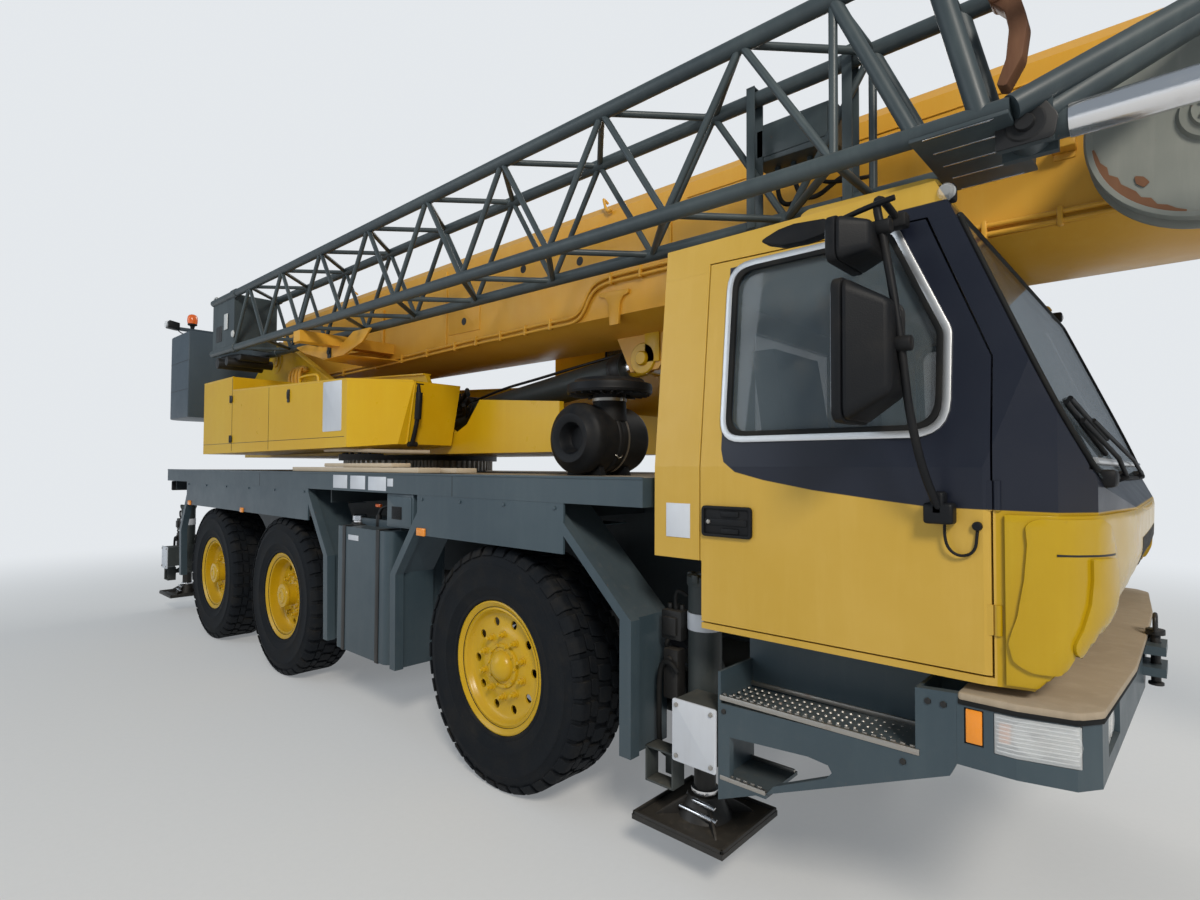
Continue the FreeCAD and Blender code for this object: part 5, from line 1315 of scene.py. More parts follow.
@dataclass
class CabFront(Assembly):
    """The rounded front skin with its raised ears, following the cab's nose."""

    plan: tuple = ((3.274, -1.2845), (3.3, -1.279), (3.352, -1.264), (3.405, -1.243), (3.452, -1.185),
                   (3.487, -1.104), (3.512, -0.94), (3.533, -0.78), (3.55, -0.602), (3.56, -0.3),
                   (3.564, 0.0))
    nose: tuple = ((1.1, 3.34), (1.16, 3.396), (1.26, 3.456), (1.35, 3.511), (1.45, 3.548),
                   (1.597, 3.556), (1.69, 3.49))
    skin_z: tuple[float, float] = (1.112, 1.61)
    ear: tuple = ((3.338, 1.6), (3.322, 1.578), (3.326, 1.526), (3.318, 1.424), (3.302, 1.322),
                  (3.28, 1.236), (3.292, 1.181), (3.335, 1.158), (3.398, 1.157))
    ear_front: tuple = ((-1.185, 1.18), (-1.11, 1.222), (-1.05, 1.325), (-1.03, 1.42), (-1.03, 1.5),
                        (-1.075, 1.575), (-1.14, 1.602))
    ear_bulge: tuple = ((-1.184, 1.49), (-1.184, 1.43), (-1.192, 1.36), (-1.214, 1.29), (-1.24, 1.222),
                        (-1.19, 1.205), (-1.115, 1.245), (-1.065, 1.335), (-1.048, 1.42), (-1.052, 1.487))

    blunt: float = 0.03
    skin_grid: tuple[int, int] = (96, 20)
    skin_proud: float = 0.005
    skin_thick: float = 0.01
    corner_crowding: float = 0.7
    stretch: float = 2.2
    cuts_round: int = 40
    cuts_up: tuple[float, float, int] = (1.1, 0.025, 24)
    slots: int = 15
    slot_pitch: float = 0.042
    slot_half: float = 0.007
    slot_z: tuple[float, float] = (1.2, 1.5)

    def on_plan(self, along: float) -> tuple[float, float]:
        """A smooth point of the plan at a share of its length, on the right half."""
        places = [Vector((x, y)) for x, y in self.plan]
        steps = [0.0]
        for first, second in zip(places, places[1:]):
            steps.append(steps[-1] + (second - first).length)
        target = along * steps[-1]
        index = next(i for i in range(len(places) - 1) if target <= steps[i + 1] + 1e-9)
        share = (target - steps[index]) / (steps[index + 1] - steps[index])
        p0, p1 = places[max(index - 1, 0)], places[index]
        p2, p3 = places[index + 1], places[min(index + 2, len(places) - 1)]
        bent = 0.5 * (2.0 * p1 + (p2 - p0) * share + (2.0 * p0 - 5.0 * p1 + 4.0 * p2 - p3) * share ** 2
                      + (3.0 * p1 - p0 - 3.0 * p2 + p3) * share ** 3)
        return bent.x, bent.y

    def nose_at(self, z: float) -> float:
        """How far forward the nose reaches at a height."""
        for (z_low, x_low), (z_high, x_high) in zip(self.nose, self.nose[1:]):
            if z <= z_high:
                return x_low + (x_high - x_low) * max(0.0, (z - z_low) / (z_high - z_low))
        return self.nose[-1][1]

    def surface(self, along: float, z: float, proud: float) -> Vector:
        """A point of the skin.

        Args:
            along: Share of the way round, from -1 at the right seam over 0 in the middle to 1.
            z: Height.
            proud: How far out of the cab's own surface it lies.

        Returns:
            The point.
        """
        x, y = self.on_plan(1.0 - abs(along))
        ahead_x, ahead_y = self.on_plan(min(1.0, 1.001 - abs(along)))
        back_x, back_y = self.on_plan(max(0.0, 0.999 - abs(along)))
        way = Vector((ahead_x - back_x, ahead_y - back_y)).normalized()
        reach = self.nose_at(z)
        over = x - reach + self.blunt
        if over > 0.0:
            x -= over if over > 2.0 * self.blunt else over * over / (4.0 * self.blunt)
            x = min(x, reach)
        out = Vector((way.y, -way.x))
        if out.x < 0.0:
            out = -out
        x += out.x * proud
        y += out.y * proud
        return Vector((x, y if along < 0.0 else -y, z))

    def along_of(self, y: float, x: Optional[float] = None) -> float:
        """The share of the way round, on the right half, that has a given y, or a given x."""
        low, high = 0.0, 1.0
        for _ in range(40):
            middle = (low + high) / 2.0
            at_x, at_y = self.on_plan(middle)
            short = at_x < x if x is not None else at_y < y
            low, high = (middle, high) if short else (low, middle)
        return low - 1.0

    def skin(self) -> Piece:
        """The front skin from seam to seam."""
        self.clear()
        columns, rows = self.skin_grid
        bpy.ops.mesh.primitive_grid_add(x_subdivisions=columns, y_subdivisions=rows, size=1.0)
        piece = bpy.context.object
        z_low, z_high = self.skin_z
        for vertex in piece.data.vertices:
            along = vertex.co.x * 2.0
            along = math.copysign(abs(along) ** self.corner_crowding, along)
            vertex.co = self.surface(along, z_low + (vertex.co.y + 0.5) * (z_high - z_low),
                                     self.skin_proud)
        self.apply(piece, "SOLIDIFY", thickness=self.skin_thick, offset=-1.0)
        return self.edged(piece, 0.003, 2)

    def wrapped(self, outline: Sequence[tuple[float, float]], proud: float, thick: float,
                edge: float) -> Piece:
        """A raised panel whose outline is given as (share of the way round, z)."""
        flat = self.plate(Plane.XZ, [(along * self.stretch, z) for along, z in outline], 0.0, thick, edge, 3)
        mesh = bmesh.new()
        mesh.from_mesh(flat.data)
        cuts = [(Vector((place / self.cuts_round * self.stretch, 0, 0)), Vector((1, 0, 0)))
                for place in range(1 - self.cuts_round, self.cuts_round)]
        foot, rise, count = self.cuts_up
        cuts += [(Vector((0, 0, foot + rise * step)), Vector((0, 0, 1))) for step in range(count)]
        for place, normal in cuts:
            whole = list(mesh.verts) + list(mesh.edges) + list(mesh.faces)
            bmesh.ops.bisect_plane(mesh, geom=whole, dist=1e-5, plane_co=place, plane_no=normal)
        for vertex in mesh.verts:
            x, y, z = vertex.co
            vertex.co = self.surface(x / self.stretch, z, proud + thick - y)
        mesh.to_mesh(flat.data)
        mesh.free()
        return self.edged(flat, 0.0)

    def build(self) -> None:
        """Place the skin, both ears with their bulges and with dark strips of painted shade for their
        grooves, and dark strips of painted shade for the slots between them.
        """
        self.place("cab_nose_skin", "carrier", Shade.CORNER, self.skin())
        outline = [(self.along_of(0.0, x), z) for x, z in self.ear]
        outline += [(self.along_of(y), z) for y, z in self.ear_front]
        for side_name, side in SIDES:
            drawn = [(-side * along, z) for along, z in outline]
            ear = self.wrapped(rounded(drawn, [0.03] * len(drawn), 5), 0.004, 0.014, 0.005)
            self.place("nose_ear_" + side_name, "carrier", Shade.CORNER, ear)
            # Painted shade: a flush dark strip stands in for the shade inside the ear's groove
            start, top = -side * self.along_of(0.0, 3.392), -side * self.along_of(-1.05)
            groove = [(start, 1.502), (top, 1.497), (top, 1.491), (start, 1.496)]
            self.place("ear_groove_" + side_name, "carrier", Shade.BLACK_IRON,
                       self.wrapped(groove, 0.0165, 0.002, 0.0))
            drawn = [(-side * self.along_of(y), z) for y, z in self.ear_bulge]
            radii = [0.008] + [0.04] * (len(drawn) - 1)
            self.place("ear_bulge_" + side_name, "carrier", Shade.CORNER,
                       self.wrapped(rounded(drawn, radii, 5), 0.012, 0.016, 0.007))
        # Painted shade: thin dark strips on the skin stand in for the shaded openings of the slots
        slots = []
        low, high = self.slot_z
        for index in range(self.slots):
            middle = (index - self.slots // 2) * self.slot_pitch
            left, right = middle - self.slot_half, middle + self.slot_half
            slots.append(self.wrapped([(left, low), (right, low), (right, high), (left, high)],
                                      0.005, 0.002, 0.0))
        self.place("nose_slots", "carrier", Shade.BLACK_IRON, *slots)


# The windscreen's plane: its foot as (x, z), and how far it leans back for each metre of height
SCREEN_FOOT = (3.49, 1.69)
SCREEN_RAKE = 0.4061


def on_screen(y: float, z: float, proud: float) -> tuple[float, float, float]:
    """A point in front of the raked windscreen."""
    return (SCREEN_FOOT[0] + proud - SCREEN_RAKE * (z - SCREEN_FOOT[1]), y, z)


def round_front(half: Sequence[tuple[float, float]], front: tuple[float, float]
                ) -> list[tuple[float, float]]:
    """An outline of (x, y) from its right half over its foremost point to the left half."""
    return [(x, -y) for x, y in half] + [front] + [(x, y) for x, y in reversed(half)]


def on_both_sides(profile: Sequence[tuple[float, float]], centre: Point) -> list["Turned"]:
    """A profile turned on the right and mirrored on the left; the centre is given for the left."""
    x, y, z = centre
    return [Turned([(radius, side * along) for radius, along in profile], (x, side * y, z))
            for side in (-1, 1)]


SCREEN_HALF = ((1.02, 1.706), (1.13, 1.79), (1.207, 1.9), (1.226, 2.0), (1.23, 2.1), (1.198, 2.48),
               (1.178, 2.575), (1.12, 2.592))
SCREEN_EDGE = (*SCREEN_HALF, *((-y, z) for y, z in reversed(SCREEN_HALF)))
SCREEN_BAND = (*SCREEN_HALF, (0.93, 2.56), (1.02, 2.5), (1.085, 1.88), (1.06, 1.8), (0.98, 1.765))


@dataclass(frozen=True)
class Raked:
    """A flat outline of (y, z) that leans with the windscreen."""

    points: Sequence[tuple[float, float]]
    low: float
    high: float

    def make(self) -> Piece:
        """Model it."""
        piece = Bench.plate(Plane.YZ, self.points, self.low, self.high, 0.0)
        for vertex in piece.data.vertices:
            vertex.co = on_screen(vertex.co.y, vertex.co.z, vertex.co.x)
        return Bench.edged(piece, 0.001)


FRONT_WORK = (
    Fitting("bumper_cover", "carrier", Shade.DUSTY, [
        Sheet(Plane.XY, round_front([(3.15, 1.313), (3.304, 1.313), (3.446, 1.277), (3.498, 1.205),
            (3.536, 0.6)], (3.54, 0.0)), 1.046, 1.07, [0.01, 0.05, 0.05, 0.05, 0.2, 0.2, 0.2, 0.05, 0.05,
            0.05, 0.01], 0.01)]),
    Fitting("bumper_edge", "carrier", Shade.RUBBER, [
        Sheet(Plane.XY, round_front([(3.15, 1.311), (3.304, 1.311), (3.446, 1.275), (3.496, 1.204),
            (3.534, 0.6)], (3.538, 0.0)), 1.032, 1.05, edge=0.004)]),
    Fitting("headlamp_bowl", "carrier", Shade.LAMP, [
        Slab((3.248, -1.246, 0.914), (3.446, -1.234, 1.025), 0.003),
        Turned([(0.0, -0.002), (0.02, -0.004), (0.036, -0.014), (0.046, -0.036), (0.05, -0.036),
            (0.05, 0.0)], (3.336, -1.246, 0.969)),
        Turned([(0.0, -0.002), (0.018, -0.004), (0.03, -0.012), (0.038, -0.022), (0.042, -0.022),
            (0.042, 0.0)], (3.41, -1.232, 0.969))], both=True),
    Fitting("headlamp_lens", "carrier", Shade.LENS, [
        Sheet(Plane.XY, [(3.246, -1.309), (3.302, -1.309), (3.45, -1.268), (3.45, -1.262), (3.303, -1.302),
            (3.246, -1.302)], 0.912, 1.028, edge=0.0015),
        *(Sheet(Plane.XY, [(3.252, -1.311), (3.302, -1.311), (3.446, -1.271), (3.446, -1.267),
            (3.302, -1.307), (3.252, -1.307)], 0.921 + 0.012 * n, 0.925 + 0.012 * n, edge=0.001)
            for n in range(9))], both=True),
    Fitting("turn_lamp", "carrier", Shade.AMBER, [
        Slab((3.254, -1.298, 0.94), (3.284, -1.262, 1.0), 0.006)], both=True),
    Fitting("side_lamp", "carrier", Shade.AMBER, [
        Slab((3.17, -1.306, 0.922), (3.214, -1.2935, 1.022), 0.003)], both=True),
    Fitting("side_lamp_frame", "carrier", Shade.BLACK, [
        Slab((3.16, -1.3025, 0.91), (3.224, -1.29, 1.034), 0.004),
        Slab((3.238, -1.303, 0.905), (3.247, -1.29, 1.034), 0.003)], both=True),
    Fitting("tow_pin", "carrier", Shade.BLACK_IRON, [
        Bar((3.565, 0.0, 0.88), (3.565, 0.0, 1.075), 0.0165),
        Bar((3.565, 0.0, 1.072), (3.565, 0.0, 1.094), 0.032),
        Tube([(3.565, -0.035, 1.088), (3.565, -0.042, 1.14), (3.565, 0.0, 1.158), (3.565, 0.042, 1.14),
            (3.565, 0.035, 1.088)], 0.008),
        Tube([(3.545, 0.03, 1.09), (3.54, 0.1, 1.02), (3.545, 0.15, 1.0), (3.53, 0.17, 1.05)], 0.005),
        Bar((3.565, 0.0, 0.868), (3.565, 0.0, 0.88), 0.026)]),
    Fitting("front_lamp_bowl", "carrier", Shade.LAMP, [
        Turned([(0.0, 0.004), (0.02, 0.006), (0.036, 0.02), (0.046, 0.052), (0.052, 0.054), (0.052, 0.0)],
            (3.432, y, 0.956), Axis.X) for y in (-0.89, -1.01)], both=True),
    Fitting("front_lamp_lens", "carrier", Shade.LENS, [
        Turned([(0.0, 0.008), (0.03, 0.006), (0.048, 0.0), (0.048, -0.004), (0.0, -0.002)],
            (3.486, y, 0.956), Axis.X) for y in (-0.89, -1.01)], both=True),
    Fitting("screen_pane", "carrier", Shade.WINDOW, [
        Raked(SCREEN_EDGE, 0.003, 0.008)]),
    Fitting("screen_band", "carrier", Shade.BLACK, [
        Raked(SCREEN_BAND, -0.004, 0.002),
        Raked([(-y, z) for y, z in SCREEN_BAND][::-1], -0.004, 0.002)]),
    Fitting("screen_seal", "carrier", Shade.RUBBER, [
        Tube([on_screen(y, z, 0.006) for y, z in (*SCREEN_EDGE, SCREEN_EDGE[0])], 0.009)]),
    Fitting("screen_rail", "carrier", Shade.ALLOY, [
        Tube([on_screen(y, 1.772, 0.012) for y in (-1.05, 0.0, 1.05)], 0.011, False)]),
    Fitting("wipers", "carrier", Shade.BLACK, [
        *(Bar(on_screen(y, 1.716, -0.005), on_screen(y, 1.728, 0.04), 0.022, 0.016, 16)
            for y in (-0.455, 0.549)),
        Tube([on_screen(-0.455, 1.722, 0.032), on_screen(-0.62, 1.785, 0.046),
            on_screen(-0.927, 1.904, 0.026)], 0.008, False),
        Tube([on_screen(0.549, 1.722, 0.032), on_screen(0.2, 1.785, 0.046), on_screen(-0.515, 1.927, 0.026)],
            0.008, False),
        Tube([on_screen(-0.62, 1.8, 0.016), on_screen(-1.03, 1.957, 0.016)], 0.009, False),
        Tube([on_screen(-0.21, 1.868, 0.016), on_screen(-0.83, 1.986, 0.016)], 0.009, False)]),
    Fitting("front_mirror", "carrier", Shade.BLACK, [
        Slab((3.462, -1.035, 1.69), (3.52, -0.935, 1.745), 0.014),
        *(Tube([(3.48, y, 1.7), (3.47, y, 1.655)], 0.008, False) for y in (-1.01, -0.96))]),
    Fitting("roof_rib", "carrier", Shade.YELLOW, [
        Sheet(Plane.XZ, [(2.575, 2.698), (3.085, 2.69), (3.07, 2.718), (3.04, 2.728), (2.62, 2.736),
            (2.59, 2.724)], -1.17, -1.125, [0.0, 0.0, 0.02, 0.02, 0.02, 0.02], 0.01)], both=True),
    Fitting("roof_lamp", "carrier", Shade.LENS, [
        Turned([(0.0, 0.0), (0.018, 0.003), (0.026, 0.014), (0.028, 0.03), (0.0, 0.03)],
            (3.105, -1.222, 2.652), Axis.Y, 32)], both=True),
    Fitting("roof_lamp_base", "carrier", Shade.BLACK, [
        Slab((3.075, -1.196, 2.624), (3.128, -1.15, 2.68), 0.008)], both=True),
    Fitting("kerb_mirror", "door_right", Shade.BLACK, [
        Sheet(Plane.XZ, [(2.575, 2.533), (2.655, 2.56), (2.71, 2.566), (2.827, 2.556), (2.824, 2.508),
            (2.745, 2.498), (2.665, 2.502)], -1.485, -1.435, [0.012, 0.03, 0.03, 0.02, 0.02, 0.03, 0.03],
            0.012),
        Tube([(2.82, -1.46, 2.535), (2.92, -1.468, 2.56), (3.03, -1.468, 2.57)], 0.009)]),
    Fitting("treads", "carrier", Shade.STEEL, [
        Slab((2.312, -1.31, 0.842), (3.04, -1.296, 0.862), 0.003),
        Slab((2.312, -1.07, 0.842), (3.04, -1.058, 0.86), 0.003),
        Row(Slab((2.318, -1.297, 0.858), (2.334, -1.291, 0.866), 0.001), (0.03, 0.0, 0.0), 24),
        *(Row(Bar((2.325, y, 0.84), (2.325, y, 0.8455), 0.008, 0.005, 8, 0.0), (0.03, 0.0, 0.0), 24)
            for y in (-1.262, -1.222, -1.182, -1.142, -1.102)),
        Slab((2.312, -1.308, 0.536), (2.506, -1.294, 0.554), 0.003),
        Slab((2.312, -1.07, 0.536), (2.506, -1.058, 0.552), 0.003),
        Row(Slab((2.318, -1.295, 0.55), (2.334, -1.289, 0.558), 0.001), (0.03, 0.0, 0.0), 6)], both=True),
    Fitting("tread_bolts", "carrier", Shade.STEEL, [
        Row(Bar((2.292, -1.12, z), (2.305, -1.12, z), 0.013, 0.013, 6, 0.001), (0.0, -0.12, 0.0), 2)
            for z in (0.503, 0.846)], both=True),
    Fitting("skirt_bolts", "carrier", Shade.BLACK_IRON, [
        Row(Bar((x, -1.3055, z), (x, -1.3115, z), 0.011, 0.01, 6, 0.001), step, 2) for x, z,
            step in ((3.065, 1.02, (0.045, 0, 0)), (2.33, 0.8, (0.66, 0, 0.01)))], both=True),
)


# Outriggers


# The front right jack, where the outriggers' pieces are drawn
JACK_AXIS = (2.07, -1.04, 0.0)
BEAM_WORK = (
    ("jack_band", Shade.WHITE, [
        Bar((2.07, -1.04, 1.028), (2.07, -1.04, 1.103), 0.0785, sides=40)]),
    ("jack_head", Shade.JACK, [
        Turned([(0.0, 1.278), (0.03, 1.278), (0.034, 1.268), (0.072, 1.268), (0.08, 1.262), (0.081, 1.228),
            (0.078, 1.222), (0.0, 1.222)], JACK_AXIS, Axis.Z),
        Around(Slab((2.128, -1.058, 1.236), (2.156, -1.022, 1.274), 0.006), JACK_AXIS, Axis.Z, 4),
        Turned([(0.074, 0.458), (0.088, 0.462), (0.092, 0.474), (0.092, 0.506), (0.086, 0.514),
            (0.074, 0.516)], JACK_AXIS, Axis.Z),
        Around(Bar((2.153, -1.04, 0.452), (2.153, -1.04, 0.52), 0.008, sides=6), JACK_AXIS, Axis.Z, 8, 0.2),
        Sheet(Plane.XZ, [(2.0, 0.8), (2.14, 0.8), (2.118, 0.865), (2.092, 0.905), (2.048, 0.905),
            (2.022, 0.865)], -0.985, -0.955, [0.0, 0.0, 0.03, 0.02, 0.02, 0.03], 0.004)]),
    ("jack_valve", Shade.BLACK_IRON, [
        Slab((1.882, -1.115, 0.968), (1.992, -1.035, 1.1), 0.008),
        Slab((1.902, -1.13, 0.99), (1.972, -1.105, 1.072), 0.006),
        *(Bar((x, -1.075, 1.096), (x, -1.075, 1.124), 0.013, sides=6) for x in (1.905, 1.938, 1.971)),
        Slab((1.894, -1.118, 0.702), (1.976, -1.052, 0.928), 0.01),
        Bar((1.935, -1.118, 0.88), (1.935, -1.13, 0.88), 0.016)]),
    ("shield_cover", Shade.WHITE, [
        panel(Plane.XZ, (2.088, 0.545), (2.298, 0.798), -1.314, -1.302, 0.012, 0.004)]),
    ("shield_bolts", Shade.STEEL, [
        Bar((x, -1.313, z), (x, -1.321, z), 0.01, sides=6) for x in (2.11, 2.276) for z in (0.57, 0.775)]),
)
BEAM_HOSES = (
    ("jack_hoses", Shade.RUBBER, [
        Tube([(1.986, -1.133, 0.835), (1.96, -1.135, 0.872), (1.91, -1.135, 0.875), (1.888, -1.135, 0.82),
            (1.886, -1.135, 0.66), (1.888, -1.135, 0.5), (1.915, -1.135, 0.462), (1.975, -1.133, 0.47), (2.0,
            -1.11, 0.5)], 0.0125),
        Tube([(1.95, -1.095, 1.12), (1.948, -1.1, 1.17), (1.975, -1.1, 1.2), (2.005, -1.085, 1.17)], 0.009),
        Tube([(1.92, -1.1, 0.97), (1.905, -1.12, 0.95), (1.9, -1.09, 0.925)], 0.009)]),
    ("jack_bracket", Shade.JACK, [
        Slab((1.886, -1.235, 0.37), (2.037, -1.15, 0.38), 0.003),
        Slab((1.886, -1.235, 0.516), (2.037, -1.15, 0.526), 0.003),
        Slab((1.886, -1.235, 0.37), (1.896, -1.15, 0.526), 0.003),
        Slab((2.027, -1.235, 0.37), (2.037, -1.15, 0.526), 0.003),
        Slab((1.935, -1.152, 0.39), (2.02, -1.145, 0.51), 0.002),
        Slab((2.0, -1.16, 0.45), (2.02, -1.105, 0.5), 0.003)]),
)
FOOT_WORK = (
    ("pad_gussets", Shade.BLACK_IRON, [
        Around(Sheet(Plane.XZ, [(2.14, 0.221), (2.29, 0.221), (2.27, 0.236), (2.158, 0.3), (2.14, 0.3)],
            -1.046, -1.034, edge=0.002), JACK_AXIS, Axis.Z, 4, math.pi / 4.0),
        *(Slab(low, high, 0.004) for low, high in (((1.842, -1.268, 0.198), (2.298, -1.254, 0.236)),
            ((1.842, -0.826, 0.198), (2.298, -0.812, 0.236)), ((1.842, -1.268, 0.198),
            (1.856, -0.812, 0.236)), ((2.284, -1.268, 0.198), (2.298, -0.812, 0.236))))]),
    ("pad_pins", Shade.CHROME, [
        Bar((2.001, -1.133, 0.262), (2.194, -1.14, 0.258), 0.011),
        Bar((2.064, -1.125, 0.306), (2.18, -1.13, 0.303), 0.009),
        Turned([(0.0495, 0.312), (0.06, 0.314), (0.062, 0.322), (0.06, 0.336), (0.0495, 0.338)], JACK_AXIS,
            Axis.Z)]),
)


@dataclass
class Outriggers(Assembly):
    """What hangs on the four jacks: bands, valves, hoses, covers and pad gussets."""

    corners: tuple = (("front_right", 2.07, -1), ("front_left", 1.855, 1), ("rear_right", -5.34, -1),
                      ("rear_left", -5.125, 1))

    def build(self) -> None:
        """Make each set at every corner."""
        for corner, x, side in self.corners:
            sets = [("outrigger_", item) for item in BEAM_WORK] + [("jack_", item) for item in FOOT_WORK]
            if side < 0:
                sets += [("outrigger_", item) for item in BEAM_HOSES]
            for stem, (name, shade, shapes) in sets:
                piece = self.together([shape.make() for shape in shapes])
                if side > 0 and name == "jack_valve":
                    self.reflect(piece, Axis.X, JACK_AXIS[0])
                piece.data.transform(Matrix.Translation((x - JACK_AXIS[0], 0.0, 0.0)))
                if side > 0:
                    self.reflect(piece)
                self.place("%s_%s" % (name, corner), stem + corner, shade, piece)


# Carrier's deck, flanks and air cleaner

